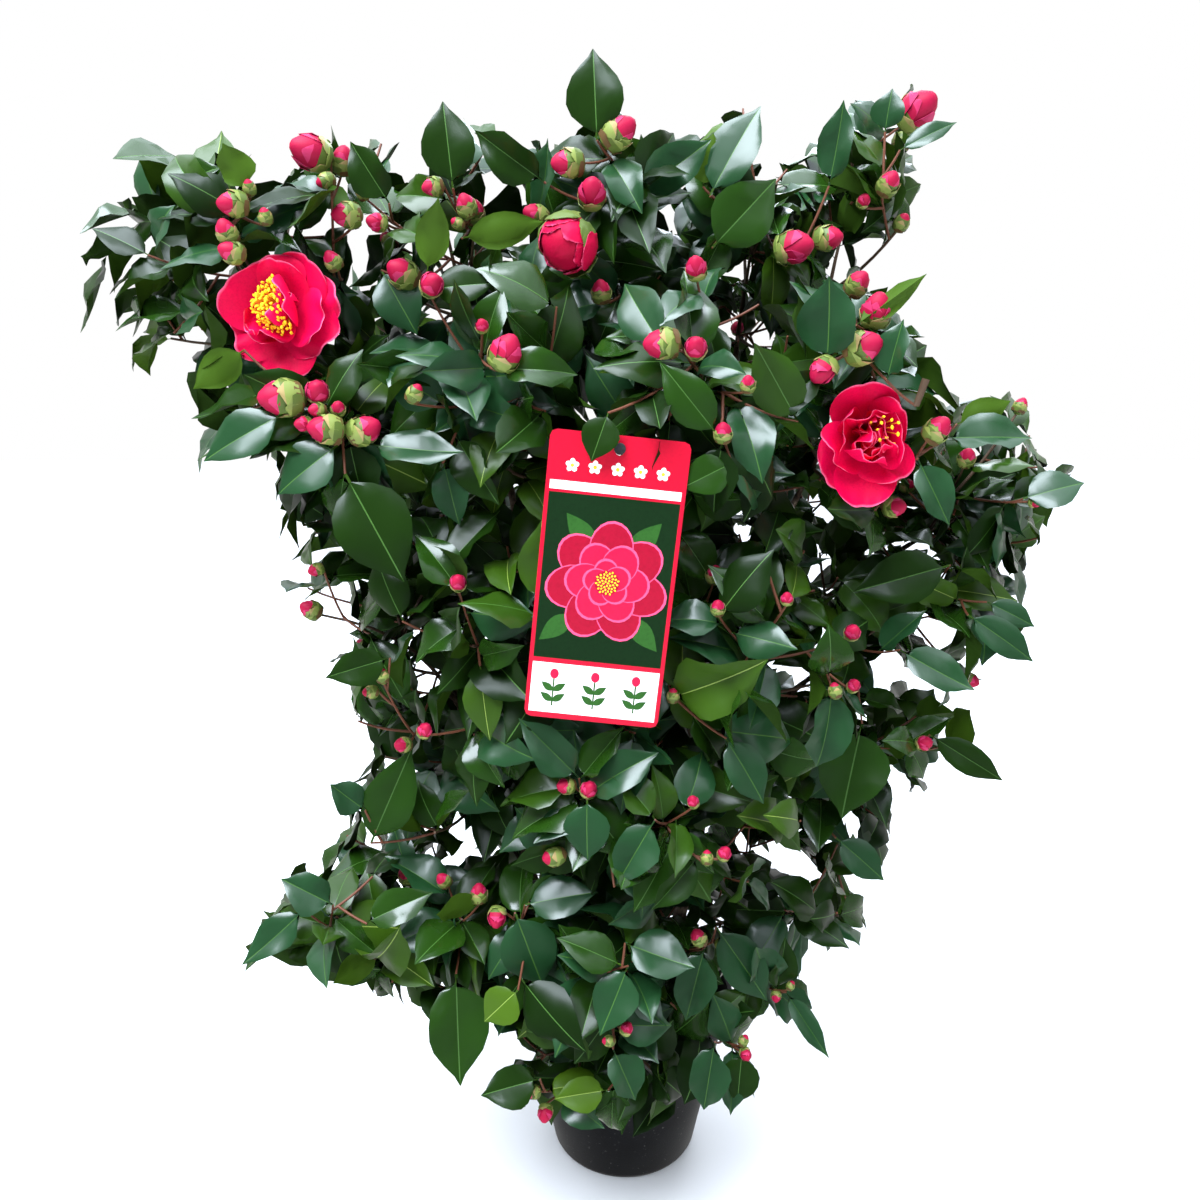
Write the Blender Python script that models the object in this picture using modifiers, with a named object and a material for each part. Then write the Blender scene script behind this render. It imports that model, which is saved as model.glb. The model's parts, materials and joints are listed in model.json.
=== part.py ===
"""Camellia shrub in a round nursery pot, with its care label on a tie.

Units are metres, +Z is up, and the origin is the centre of the pot's flat underside.
Six stems rise from the soil. Each tapers up to a mass of foliage, and boughs branch off
the stems to the other masses. A mass is one solid: a stem with twigs, leaves, buds and
blooms fused on, grown by a seeded rule inside a space that it shares with no other mass.
"""

import math
import random
from dataclasses import dataclass, field

import bmesh
import bpy
from mathutils import Matrix, Vector
from mathutils.bvhtree import BVHTree

# ---------------------------------------------------------------- driving dimensions
POT_HEIGHT = 0.170
POT_RIM_RADIUS = 0.1125
POT_FOOT_RADIUS = 0.074
POT_WALL = 0.0022
POT_FLOOR = 0.003
RIM_BAND_HEIGHT = 0.016
RIM_BAND_OUT = 0.0035
RIM_BAND_STEP = 0.001
FOOT_CHAMFER = 0.003
FOOT_CHAMFER_HEIGHT = 0.006
POT_SIDES = 32
DRAIN_HOLES = 6
DRAIN_RADIUS = 0.006
DRAIN_SIDES = 6
DRAIN_RING_SHARE = 0.68
DRILL_LENGTH = 0.020

SOIL_LEVEL = 0.148
SOIL_CROWN = 0.004
SOIL_FLAT_RADIUS = 0.050
CLEAR = 0.0003

STEM_FOOT_RADIUS = 0.0070
STEM_TIP_RADIUS = 0.0024
STEM_FLARE = 1.32
FLARE_HEIGHT = 0.016
FLARE_MIDDLE = 0.4
FLARE_LOOKS_AT = 0.02
FLARE_MIDDLE_SHARE = 0.35
STEM_POINTS = 7
STEM_SPREAD = 0.30
STEM_AIM = 0.25
LIMB_TAPER_POWER = 0.8
CURVE_HANDLE = 0.38
FOOT_CUT = 0.004
BOUGH_TIP_RADIUS = 0.0021
BOUGH_SIDES = 5
BOUGH_POINTS = 5
BOUGH_FOLLOWS = 0.75
ENTRY_SHARE = 0.62
LEADER_PULL = 0.35
ROOT_CLEAR = 1.3
STEM_SIDES = 6
BOUGH_SHARE_OF_PARENT = 0.72

LEAF_LENGTH = 0.102
LEAF_WIDTH = 0.066
LEAF_THICK = 0.0018
LEAF_GUTTER = 0.10
LEAF_BELLY = 0.46
LEAF_DROOP = 0.16
LEAF_DROOP_RANGE = (0.3, 1.6)
LEAF_SIZE_RANGE = (0.90, 1.08)
LEAF_MIDDLE = 0.55
LEAF_TEST_FROM = 0.12
LEAF_LOOSE = 0.15
LEAF_LOOSER = 0.05
LEAF_EDGE_ON = 0.93
LEAF_ASIDE = 0.80
LEAF_AHEAD_LEAST = 0.2
LEAF_AHEAD_DROP = 0.35
LEAF_TO_LIGHT = 0.15
LEAF_LOOKS_UP = 0.62
LEAF_LOOKS_OUT = 0.78
TWIG_SIDES = 3
TWIG_RADIUS = 0.0017
TWIG_TIP_RADIUS = 0.0011
BLOOM_PETALS = 7
BLOOM_BACK = 0.35
BLOOM_NOTCH = 0.84
BLOOM_RIM_RISE = (0.75, 1.0)
BLOOM_INNER = 0.45
BLOOM_INNER_RISE = 0.42
BLOOM_BOSS_RISE = 0.55
BALL_SIZE = (2.1, 2.0)
STALK_FROM = 0.62
STALK_SUNK = 0.004
STALK_GIRTH = (1.2, 1.4)
BUD_LENGTH = 0.026
BUD_WIDTH = 0.018
BUD_SUNK = 0.004
BUD_BELLY = 0.45
BUD_SIZE_RANGE = (0.75, 1.0)
BUD_LIFT = 0.2
LEAF_TRIES = 36
LEAF_SHRINK = 0.28
SHUN_TURNING = 0.03
TWIG_TRIES = 60
TWIG_INSET = 0.018
TWIG_ROOM_FROM = 0.25
TWIG_TREE_FROM = 0.2
TWIG_SHORTEST = 0.025
TWIG_LINE_SHORTEST = 0.03
TWIG_FORWARD = 0.55
TWIG_TURN_COST = 1.2
STEM_REPELS = 1.6
STEM_REPELS_AT = (0.3, 0.6)
STEM_LIFT = 0.2
STEM_STEP = 0.005
STEM_DEPTH_SHARE = 0.45
MASS_STEM_GIRTH = (0.0021, 0.0019, 0.0017, 0.0011)
DRESS_FROM = 0.94
DRESS_SPAN = 0.62
LEAVES_ON_STEM = 3
LEAVES_ON_TWIG = 4
BUD_SHARE = 0.36
SPACE_MARGIN = 0.0008
LIMB_MARGIN = 0.0022
GOLDEN_ANGLE = math.radians(137.5)
LIGHT_LINE_BACK = 0.10
LEAF_AHEAD = 1.1
LEAF_HANG_FOOT = 0.50
LEAF_HANG_TOP = -0.10

LABEL_WIDTH = 0.099
LABEL_HEIGHT = 0.210
LABEL_THICK = 0.0009
LABEL_CORNER = 0.005
LABEL_LEAN = math.radians(6.0)
LABEL_CENTRE = Vector((-0.022, -0.240, 0.648))
LABEL_HOLE_RADIUS = 0.0032
LABEL_HOLE_DROP = 0.011
TIE_RADIUS = 0.0009
TIE_HEAD_RADIUS = 0.0042
TIE_BOUGH = "bough_front_upper_right"
TIE_SHARE = 0.86
TIE_SIDES = 5
TIE_CLEAR = 1.6 * CLEAR
TIE_RUN_POINTS = 5
TIE_LEAVES = Vector((0.0, 1.0, 0.35))
TIE_FRONT = -0.0032
TIE_BACK = 0.0050
TIE_HOOK_FROM = -40
TIE_HOOK_TO = 231
TIE_HOOK_STEP = 45
TIE_HEAD_THICK = 0.0016
TIE_HEAD_TAPER = 0.7
KEEP_CLEAR = 0.004
KEEP_LABEL_DEPTH = 0.010
KEEP_BLOOM = (1.5, 2.2)
KEEP_CUP = 0.5
MERGE = 1e-5

# Each finish's linear colour and roughness.
FINISHES = {
    "bark": ((0.16, 0.09, 0.055), 0.85),
    "pot_plastic": ((0.022, 0.023, 0.026), 0.55),
    "compost": ((0.035, 0.022, 0.014), 0.95),
    "foliage": ((0.020, 0.085, 0.022), 0.32),
    "label_card": ((0.62, 0.012, 0.035), 0.35),
    "tie_nylon": ((0.03, 0.03, 0.03), 0.5),
}

UP = Vector((0.0, 0.0, 1.0))


@dataclass
class Mass:
    """A space for foliage: an ellipsoid, the limb that feeds it, and how full it is."""

    name: str
    centre: tuple
    radii: tuple
    leaves: int = 20
    leader: tuple = (0.0, 0.0, 0.0)
    entry: Vector = field(default_factory=Vector)
    heading: Vector = field(default_factory=Vector)


@dataclass
class Limb:
    """One tapering limb: a stem with a foot in the soil, or a bough with a parent."""

    name: str
    mass: str
    foot: tuple = ()
    parent: str = ""
    share: float = 0.0
    base_radius: float = STEM_FOOT_RADIUS
    tip_radius: float = STEM_TIP_RADIUS
    points: list = field(default_factory=list)
    radii: list = field(default_factory=list)


@dataclass
class Bloom:
    """A flower that is open or half open: where it sits, which way it faces, its size."""

    mass: str
    centre: tuple
    facing: tuple
    radius: float
    cup: float


MASSES = [
    Mass("top_left", (-0.300, -0.080, 0.875), (0.130, 0.130, 0.125), 24, (-0.6, 0.0, 0.8)),
    Mass("top_centre_left", (-0.155, -0.040, 0.905), (0.115, 0.130, 0.125), 20, (-0.2, 0.0, 1.0)),
    Mass("top_centre", (-0.030, -0.055, 0.905), (0.105, 0.120, 0.155), 22, (-0.05, 0.15, 1.0)),
    Mass("top_centre_right", (0.105, -0.030, 0.900), (0.105, 0.125, 0.130), 20, (0.1, 0.0, 1.0)),
    Mass("top_right", (0.192, -0.010, 0.930), (0.085, 0.120, 0.115), 18, (0.4, 0.0, 1.0)),
    Mass("top_back_left", (-0.150, 0.135, 0.850), (0.150, 0.120, 0.130), 18, (-0.2, 0.4, 1.0)),
    Mass("top_back_right", (0.130, 0.145, 0.850), (0.150, 0.120, 0.130), 18, (0.2, 0.4, 1.0)),
    Mass("left_upper", (-0.245, -0.125, 0.742), (0.110, 0.115, 0.105), 22, (-1.0, -0.3, 0.2)),
    Mass("front_upper_left", (-0.110, -0.165, 0.775), (0.100, 0.090, 0.110), 16, (-0.1, -0.8, 0.6)),
    Mass("front_upper_right", (0.045, -0.165, 0.775), (0.100, 0.090, 0.110), 16, (0.1, -0.8, 0.6)),
    Mass("right_upper", (0.162, -0.120, 0.765), (0.100, 0.115, 0.120), 20, (0.5, -0.6, 0.6)),
    Mass("left_mid", (-0.190, -0.085, 0.590), (0.125, 0.135, 0.125), 22, (-1.0, -0.5, 0.1)),
    Mass("front_left", (-0.110, -0.150, 0.590), (0.100, 0.100, 0.140), 18, (-0.3, -1.0, 0.0)),
    Mass("front_right", (0.090, -0.150, 0.580), (0.105, 0.100, 0.140), 20, (0.3, -1.0, 0.0)),
    Mass("right_mid", (0.225, -0.040, 0.580), (0.130, 0.130, 0.120), 20, (1.0, -0.4, 0.1)),
    Mass("right_far", (0.318, -0.020, 0.690), (0.122, 0.125, 0.106), 22, (1.0, 0.0, 0.1)),
    Mass("right_low", (0.208, -0.030, 0.455), (0.125, 0.120, 0.110), 20, (1.0, -0.1, -0.2)),
    Mass("left_low", (-0.165, -0.065, 0.450), (0.125, 0.130, 0.105), 18, (-1.0, -0.3, 0.1)),
    Mass("front_low", (0.010, -0.150, 0.440), (0.150, 0.100, 0.110), 22, (0.0, -1.0, -0.1)),
    Mass("back_mid_left", (-0.150, 0.150, 0.640), (0.150, 0.130, 0.140), 18, (-0.6, 0.7, 0.1)),
    Mass("back_mid_right", (0.150, 0.150, 0.640), (0.150, 0.130, 0.140), 18, (0.6, 0.7, 0.1)),
    Mass("back_low", (0.000, 0.150, 0.440), (0.190, 0.130, 0.130), 20, (0.0, 1.0, 0.0)),
    Mass("low_left", (-0.205, -0.100, 0.312), (0.150, 0.120, 0.096), 24, (-1.0, -0.2, 0.0)),
    Mass("low_front", (-0.030, -0.150, 0.310), (0.110, 0.100, 0.090), 20, (-0.2, -1.0, 0.0)),
    Mass("low_right", (0.145, -0.045, 0.300), (0.125, 0.125, 0.125), 22, (1.0, -0.5, -0.1)),
    Mass("skirt", (-0.010, -0.145, 0.218), (0.155, 0.080, 0.075), 20, (-0.2, -1.0, 0.0)),
    Mass("low_back", (0.000, 0.130, 0.280), (0.170, 0.110, 0.100), 18, (0.0, 1.0, -0.1)),
]

LIMBS = [
    Limb("stem_left", "top_left", foot=(-0.024, -0.004)),
    Limb("stem_front_left", "top_centre_left", foot=(-0.011, -0.022)),
    Limb("stem_front_right", "top_centre_right", foot=(0.013, -0.020)),
    Limb("stem_right", "top_right", foot=(0.027, 0.003)),
    Limb("stem_back_right", "top_back_right", foot=(0.011, 0.023)),
    Limb("stem_back_left", "top_back_left", foot=(-0.015, 0.019)),
    Limb("bough_top_centre", "top_centre", parent="stem_front_right", share=0.66),
    Limb("bough_left_upper", "left_upper", parent="stem_left", share=0.62),
    Limb("bough_left_mid", "left_mid", parent="stem_left", share=0.42),
    Limb("bough_front_upper_left", "front_upper_left", parent="stem_front_left", share=0.66),
    Limb("bough_front_upper_right", "front_upper_right", parent="stem_front_right", share=0.56),
    Limb("bough_right_upper", "right_upper", parent="stem_right", share=0.66),
    Limb("bough_right_mid", "right_mid", parent="stem_right", share=0.40),
    Limb("bough_right_far", "right_far", parent="stem_right", share=0.52),
    Limb("bough_right_low", "right_low", parent="stem_right", share=0.26),
    Limb("bough_front_left", "front_left", parent="stem_front_left", share=0.42),
    Limb("bough_front_right", "front_right", parent="stem_front_right", share=0.40),
    Limb("bough_left_low", "left_low", parent="stem_left", share=0.26),
    Limb("bough_front_low", "front_low", parent="stem_front_left", share=0.26),
    Limb("bough_back_mid_left", "back_mid_left", parent="stem_back_left", share=0.48),
    Limb("bough_back_mid_right", "back_mid_right", parent="stem_back_right", share=0.48),
    Limb("bough_back_low", "back_low", parent="stem_back_left", share=0.27),
    Limb("bough_low_left", "low_left", parent="stem_left", share=0.10),
    Limb("bough_low_front", "low_front", parent="stem_front_left", share=0.13),
    Limb("bough_low_right", "low_right", parent="stem_right", share=0.10),
    Limb("bough_skirt", "skirt", parent="stem_front_right", share=0.055),
    Limb("bough_low_back", "low_back", parent="stem_back_left", share=0.10),
]

BLOOMS = [
    Bloom("top_left", (-0.262, -0.185, 0.842), (-0.15, -1.0, 0.10), 0.049, 0.30),
    Bloom("right_upper", (0.178, -0.190, 0.745), (0.10, -1.0, 0.15), 0.042, 0.75),
    Bloom("top_centre", (-0.050, -0.180, 0.887), (-0.25, -1.0, -0.15), 0.022, 1.60),
]


# ---------------------------------------------------------------- plain helpers
def clear_scene():
    for obj in list(bpy.data.objects):
        bpy.data.objects.remove(obj)


def new_collection(name):
    collection = bpy.data.collections.new(name)
    bpy.context.scene.collection.children.link(collection)
    return collection


def material(name, colour, roughness):
    made = bpy.data.materials.new(name)
    made.use_nodes = True
    shader = made.node_tree.nodes["Principled BSDF"]
    shader.inputs["Base Color"].default_value = (*colour, 1.0)
    shader.inputs["Roughness"].default_value = roughness
    shader.inputs["Metallic"].default_value = 0.0
    return made


def object_from_bmesh(name, bm, collection):
    mesh = bpy.data.meshes.new(name)
    bm.to_mesh(mesh)
    bm.free()
    obj = bpy.data.objects.new(name, mesh)
    collection.objects.link(obj)
    return obj


def apply_modifiers(obj):
    """Keeps the object's evaluated mesh and drops its modifiers."""
    bpy.context.view_layer.update()
    graph = bpy.context.evaluated_depsgraph_get()
    finished = bpy.data.meshes.new_from_object(obj.evaluated_get(graph))
    obj.modifiers.clear()
    obj.data = finished


def remove_objects(objects):
    for obj in objects:
        bpy.data.objects.remove(obj)


def along(points, share):
    """The point and direction at a share of a polyline's length."""
    lengths = [(b - a).length for a, b in zip(points, points[1:])]
    left = share * sum(lengths)
    for a, b, length in zip(points, points[1:], lengths):
        if left <= length:
            return a.lerp(b, left / length), (b - a).normalized()
        left -= length
    return points[-1].copy(), (points[-1] - points[-2]).normalized()


def bezier(start, leave, arrive, end, count):
    """Points of a cubic curve that leaves start along leave and reaches end along arrive."""
    reach = (end - start).length * CURVE_HANDLE
    first = start + leave.normalized() * reach
    second = end - arrive.normalized() * reach
    points = []
    for step in range(count):
        t = step / (count - 1)
        s = 1.0 - t
        points.append(start * s**3 + first * 3 * s * s * t + second * 3 * s * t * t + end * t**3)
    return points


def tube(name, points, radii, sides, collection):
    """A closed tapering tube along points: a poly curve with a ring of so many sides."""
    ring = bpy.data.curves.new(name + "_ring", "CURVE")
    ring.dimensions = "2D"
    outline = ring.splines.new("POLY")
    outline.points.add(sides - 1)
    for index, point in enumerate(outline.points):
        turn = math.tau * index / sides
        point.co = (math.cos(turn), math.sin(turn), 0.0, 1.0)
    outline.use_cyclic_u = True
    profile = bpy.data.objects.new(name + "_ring", ring)
    collection.objects.link(profile)

    curve = bpy.data.curves.new(name, "CURVE")
    curve.dimensions = "3D"
    curve.twist_mode = "MINIMUM"
    curve.bevel_mode = "OBJECT"
    curve.bevel_object = profile
    curve.use_fill_caps = True
    spline = curve.splines.new("POLY")
    spline.points.add(len(points) - 1)
    for point, place, radius in zip(spline.points, points, radii):
        point.co = (*place, 1.0)
        point.radius = radius
    guide = bpy.data.objects.new(name + "_guide", curve)
    collection.objects.link(guide)
    bpy.context.view_layer.update()
    graph = bpy.context.evaluated_depsgraph_get()
    mesh = bpy.data.meshes.new_from_object(guide.evaluated_get(graph))
    bm = bmesh.new()
    bm.from_mesh(mesh)
    bmesh.ops.remove_doubles(bm, verts=bm.verts, dist=MERGE)
    bmesh.ops.recalc_face_normals(bm, faces=bm.faces)
    obj = object_from_bmesh(name, bm, collection)
    remove_objects([guide, profile])
    return obj


def tree_of(objects):
    """One search tree over the faces of several objects, whose places are in their meshes."""
    vertices = []
    faces = []
    for obj in objects:
        first = len(vertices)
        vertices += [v.co.copy() for v in obj.data.vertices]
        faces += [[first + i for i in face.vertices] for face in obj.data.polygons]
    return BVHTree.FromPolygons(vertices, faces)


# ---------------------------------------------------------------- pot and soil
def pot_radius(height):
    """The pot's outer radius below its rim band."""
    return POT_FOOT_RADIUS + (POT_RIM_RADIUS - RIM_BAND_OUT - POT_FOOT_RADIUS) * height / POT_HEIGHT


def turned(name, profile, collection, sides=POT_SIDES):
    """A solid turned about +Z from a profile that runs from the axis at the top, out and down."""
    bm = bmesh.new()
    vertices = [bm.verts.new((radius, 0.0, height)) for radius, height in profile]
    for a, b in zip(vertices, vertices[1:]):
        bm.edges.new((a, b))
    obj = object_from_bmesh(name, bm, collection)
    screw = obj.modifiers.new("turn", "SCREW")
    screw.steps = sides
    screw.render_steps = sides
    screw.use_merge_vertices = True
    screw.merge_threshold = MERGE
    screw.use_normal_calculate = True
    apply_modifiers(obj)
    return obj


def build_pot(collection, cutters, finish):
    """A thin tapered pot with a rim band, a flat floor and drain holes."""
    band_foot = POT_HEIGHT - RIM_BAND_HEIGHT
    profile = [
        (0.0, POT_FLOOR),
        (pot_radius(POT_FLOOR) - POT_WALL, POT_FLOOR),
        (pot_radius(POT_HEIGHT) - POT_WALL, POT_HEIGHT),
        (POT_RIM_RADIUS, POT_HEIGHT),
        (POT_RIM_RADIUS, band_foot),
        (pot_radius(band_foot), band_foot - RIM_BAND_STEP),
        (pot_radius(FOOT_CHAMFER_HEIGHT), FOOT_CHAMFER_HEIGHT),
        (POT_FOOT_RADIUS - FOOT_CHAMFER, 0.0),
        (0.0, 0.0),
    ]
    pot = turned("pot", profile, collection)
    for index in range(DRAIN_HOLES):
        turn = math.tau * (index + 0.5) / DRAIN_HOLES
        bm = bmesh.new()
        bmesh.ops.create_cone(
            bm,
            cap_ends=True,
            segments=DRAIN_SIDES,
            radius1=DRAIN_RADIUS,
            radius2=DRAIN_RADIUS,
            depth=DRILL_LENGTH,
        )
        place = Vector((math.cos(turn), math.sin(turn), 0.0)) * POT_FOOT_RADIUS * DRAIN_RING_SHARE
        bmesh.ops.translate(bm, verts=bm.verts, vec=place)
        object_from_bmesh(f"drain_cutter_{index}", bm, cutters)
    cut = pot.modifiers.new("drain holes", "BOOLEAN")
    cut.operation = "DIFFERENCE"
    cut.operand_type = "COLLECTION"
    cut.collection = cutters
    apply_modifiers(pot)
    remove_objects(list(cutters.objects))
    pot.data.materials.clear()
    pot.data.materials.append(finish)
    return pot


def build_soil(collection, finish):
    """The root ball's compost: fills the pot up to just under the rim, a little crowned."""
    inner = [
        (pot_radius(h) - POT_WALL - CLEAR, h) for h in (SOIL_LEVEL - SOIL_CROWN, POT_FLOOR + CLEAR)
    ]
    top = [(0.0, SOIL_LEVEL), (SOIL_FLAT_RADIUS, SOIL_LEVEL)]
    profile = [*top, *inner, (0.0, POT_FLOOR + CLEAR)]
    soil = turned("soil", profile, collection)
    soil.data.materials.append(finish)
    return soil


# ---------------------------------------------------------------- spaces of the masses
def support(mass, direction):
    """How far a mass's ellipsoid reaches from its centre along a unit direction."""
    return math.sqrt(sum((r * d) ** 2 for r, d in zip(mass.radii, direction)))


def walls_of(mass):
    """The planes that part this mass from its neighbours, as (unit normal, offset)."""
    walls = []
    for other in MASSES:
        if other is mass:
            continue
        across = Vector(other.centre) - Vector(mass.centre)
        apart = across.length
        normal = across.normalized()
        own, others = support(mass, normal), support(other, normal)
        if own + others > apart:
            offset = Vector(mass.centre).dot(normal) + apart * own / (own + others)
            walls.append((normal, offset - SPACE_MARGIN))
    return walls


def depth_in(mass, walls, point):
    """About how far inside the mass's space a point lies; negative outside it."""
    scaled = Vector([(p - c) / r for p, c, r in zip(point, mass.centre, mass.radii)])
    depth = (1.0 - scaled.length) * min(mass.radii)
    return min([depth, *[offset - point.dot(normal) for normal, offset in walls]])


def in_space(mass, walls, point):
    """True if a point is inside the mass's ellipsoid and on its side of every wall."""
    scaled = [(p - c) / r for p, c, r in zip(point, mass.centre, mass.radii)]
    if sum(s * s for s in scaled) > 1.0:
        return False
    return all(point.dot(normal) <= offset for normal, offset in walls)


# ---------------------------------------------------------------- limbs
def outward(point):
    """The level direction from the shrub's axis to a point."""
    flat = Vector((point.x, point.y, 0.0))
    return flat.normalized() if flat.length > 1e-6 else Vector((0.0, -1.0, 0.0))


def plan_limbs():
    """Works out each limb's line and taper, and where it enters its mass."""
    masses = {mass.name: mass for mass in MASSES}
    limbs = {}
    for limb in LIMBS:
        mass = masses[limb.mass]
        centre = Vector(mass.centre)
        if limb.foot:
            start = Vector((*limb.foot, SOIL_LEVEL + CLEAR))
            leave = UP + outward(start) * STEM_SPREAD + outward(centre) * STEM_AIM
            count = STEM_POINTS
        else:
            parent = limbs[limb.parent]
            start, heading = along(parent.points, limb.share)
            leave = heading * BOUGH_FOLLOWS + (centre - start).normalized()
            limb.base_radius = BOUGH_SHARE_OF_PARENT * radius_at(parent, limb.share)
            limb.tip_radius = BOUGH_TIP_RADIUS
            count = BOUGH_POINTS
        approach = (centre - start).normalized()
        entry = centre - approach * support(mass, approach) * ENTRY_SHARE
        arrive = approach + Vector(mass.leader).normalized() * LEADER_PULL
        limb.points = bezier(start, leave, arrive, entry, count)
        limb.radii = taper(limb)
        mass.entry = entry
        mass.heading = (limb.points[-1] - limb.points[-2]).normalized()
        limbs[limb.name] = limb
    return limbs


def taper(limb):
    """The limb's radius at each of its points, with a root flare on a stem."""
    total = len(limb.points) - 1
    radii = []
    for index in range(total + 1):
        share = index / total
        radii.append(limb.base_radius * (1 - share) ** LIMB_TAPER_POWER + limb.tip_radius * share)
    return radii


def radius_at(limb, share):
    place = share * (len(limb.radii) - 1)
    low = min(int(place), len(limb.radii) - 2)
    return limb.radii[low] + (limb.radii[low + 1] - limb.radii[low]) * (place - low)


def limb_line(limb):
    """Points and radii of a limb's tube; a stem has two more rings for its root flare."""
    points, radii = list(limb.points), list(limb.radii)
    if limb.foot:
        foot = points[0]
        rise = along(points, FLARE_LOOKS_AT)[1]
        half_flare = 1.0 + (STEM_FLARE - 1.0) * FLARE_MIDDLE_SHARE
        points[1:1] = [foot + rise * FLARE_HEIGHT * FLARE_MIDDLE, foot + rise * FLARE_HEIGHT]
        radii[0:1] = [radii[0] * STEM_FLARE, radii[0] * half_flare, radii[0]]
    return points, radii


def level_foot(obj):
    """Cuts a stem flat at the soil's surface."""
    level = SOIL_LEVEL + CLEAR
    bm = bmesh.new()
    bm.from_mesh(obj.data)
    for vertex in bm.verts:
        if vertex.co.z < level + FOOT_CUT:
            vertex.co.z = level
    bm.to_mesh(obj.data)
    bm.free()


def build_limbs(limbs, collection, cutters, bark):
    """Each limb as a tube. A bough's root is cut to stand just clear of its parent."""
    objects = {}
    for limb in limbs.values():
        points, radii = limb_line(limb)
        sides = STEM_SIDES if limb.foot else BOUGH_SIDES
        obj = tube(limb.name, points, radii, sides, collection)
        obj.data.materials.append(bark)
        if limb.foot:
            level_foot(obj)
        else:
            parent = limbs[limb.parent]
            line, girth = limb_line(parent)
            wide = [r + CLEAR * ROOT_CLEAR for r in girth]
            cutter = tube("cutter_" + limb.name, line, wide, STEM_SIDES, cutters)
            cut = obj.modifiers.new("root", "BOOLEAN")
            cut.operation = "DIFFERENCE"
            cut.object = cutter
            apply_modifiers(obj)
            remove_objects([cutter])
        objects[limb.name] = obj
    return objects


# ---------------------------------------------------------------- leaves, buds and blooms
def frame_of(axis, normal):
    """A rotation whose columns are side, axis and normal."""
    axis = axis.normalized()
    side = axis.cross(normal).normalized()
    lifted = side.cross(axis)
    return Matrix((side, axis, lifted)).transposed()


def leaf_points(base, axis, normal, length, width, thick, droop):
    """The five points of a folded, drooping leaf: base, left, right, tip and keel."""
    turn = frame_of(axis, normal)
    belly = LEAF_BELLY * length
    fold = LEAF_GUTTER * width
    sag = droop * belly
    local = [
        Vector((0.0, 0.0, 0.0)),
        Vector((-width / 2, belly, fold - sag)),
        Vector((width / 2, belly, fold - sag)),
        Vector((0.0, length, -droop * length)),
        Vector((0.0, belly, -sag - thick)),
    ]
    return [base + turn @ point for point in local]


LEAF_FACES = [(0, 2, 3), (0, 3, 1), (0, 1, 4), (0, 4, 2), (1, 3, 4), (4, 3, 2)]
LEAF_TEST_FACES = [(0, 1, 3), (0, 3, 2)]


def blade(name, points, collection):
    """A thin closed blade: a folded upper side, and a keel along its middle below."""
    bm = bmesh.new()
    vertices = [bm.verts.new(point) for point in points]
    for face in LEAF_FACES:
        bm.faces.new([vertices[i] for i in face])
    bmesh.ops.recalc_face_normals(bm, faces=bm.faces)
    return object_from_bmesh(name, bm, collection)


def egg(name, centre, axis, length, width, collection, fineness=1):
    """A ball drawn out along its axis."""
    bm = bmesh.new()
    bmesh.ops.create_icosphere(bm, subdivisions=fineness, radius=0.5)
    turn = frame_of(axis, UP if abs(axis.normalized().z) < 0.9 else Vector((1.0, 0.0, 0.0)))
    shape = turn.to_4x4() @ Matrix.Diagonal((width, length, width, 1.0))
    bmesh.ops.transform(bm, matrix=Matrix.Translation(centre) @ shape, verts=bm.verts)
    return object_from_bmesh(name, bm, collection)


def bud_shape(name, root, axis, length, width, collection):
    """A bud of ten faces: two five-sided cones, foot to foot."""
    bm = bmesh.new()
    for foot, depth in ((BUD_BELLY, BUD_BELLY), (BUD_BELLY, BUD_BELLY - 1.0)):
        made = bmesh.ops.create_cone(
            bm, cap_ends=False, segments=5, radius1=width / 2, radius2=0.0, depth=abs(depth) * length
        )
        flip = Matrix.Scale(1.0 if depth < 0 else -1.0, 4, (0.0, 0.0, 1.0))
        lift = Matrix.Translation((0.0, 0.0, foot * length - depth * length / 2))
        bmesh.ops.transform(bm, matrix=lift @ flip, verts=made["verts"])
    bmesh.ops.remove_doubles(bm, verts=bm.verts, dist=MERGE)
    stand = UP.rotation_difference(axis).to_matrix().to_4x4()
    bmesh.ops.transform(bm, matrix=Matrix.Translation(root) @ stand, verts=bm.verts)
    bmesh.ops.recalc_face_normals(bm, faces=bm.faces)
    return object_from_bmesh(name, bm, collection)


def rosette(name, back, facing, bloom, collection):
    """An open bloom as one solid: a back point, a scalloped rim, an inner ring and a boss."""
    turn = frame_of(facing, UP)
    count = 2 * BLOOM_PETALS
    rim, inner = [], []
    for step in range(count):
        angle = math.tau * step / count
        way = Vector((math.cos(angle), 0.0, math.sin(angle)))
        notch = BLOOM_NOTCH if step % 2 else 1.0
        rise = bloom.cup * bloom.radius * BLOOM_RIM_RISE[step % 2]
        inner_rise = bloom.radius * BLOOM_INNER_RISE * (1 + bloom.cup)
        rim.append(way * bloom.radius * notch + Vector((0.0, rise, 0.0)))
        inner.append(way * bloom.radius * BLOOM_INNER + Vector((0.0, inner_rise, 0.0)))
    bm = bmesh.new()
    tail = bm.verts.new(back)
    boss = bloom.radius * BLOOM_BOSS_RISE * (1 + bloom.cup)
    front = bm.verts.new(back + turn @ Vector((0.0, boss, 0.0)))
    outer = [bm.verts.new(back + turn @ place) for place in rim]
    middle = [bm.verts.new(back + turn @ place) for place in inner]
    for step in range(count):
        other = (step + 1) % count
        bm.faces.new((tail, outer[step], outer[other]))
        bm.faces.new((outer[step], middle[step], outer[other]))
        bm.faces.new((outer[other], middle[step], middle[other]))
        bm.faces.new((middle[step], front, middle[other]))
    bmesh.ops.recalc_face_normals(bm, faces=bm.faces)
    return object_from_bmesh(name, bm, collection)


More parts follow.
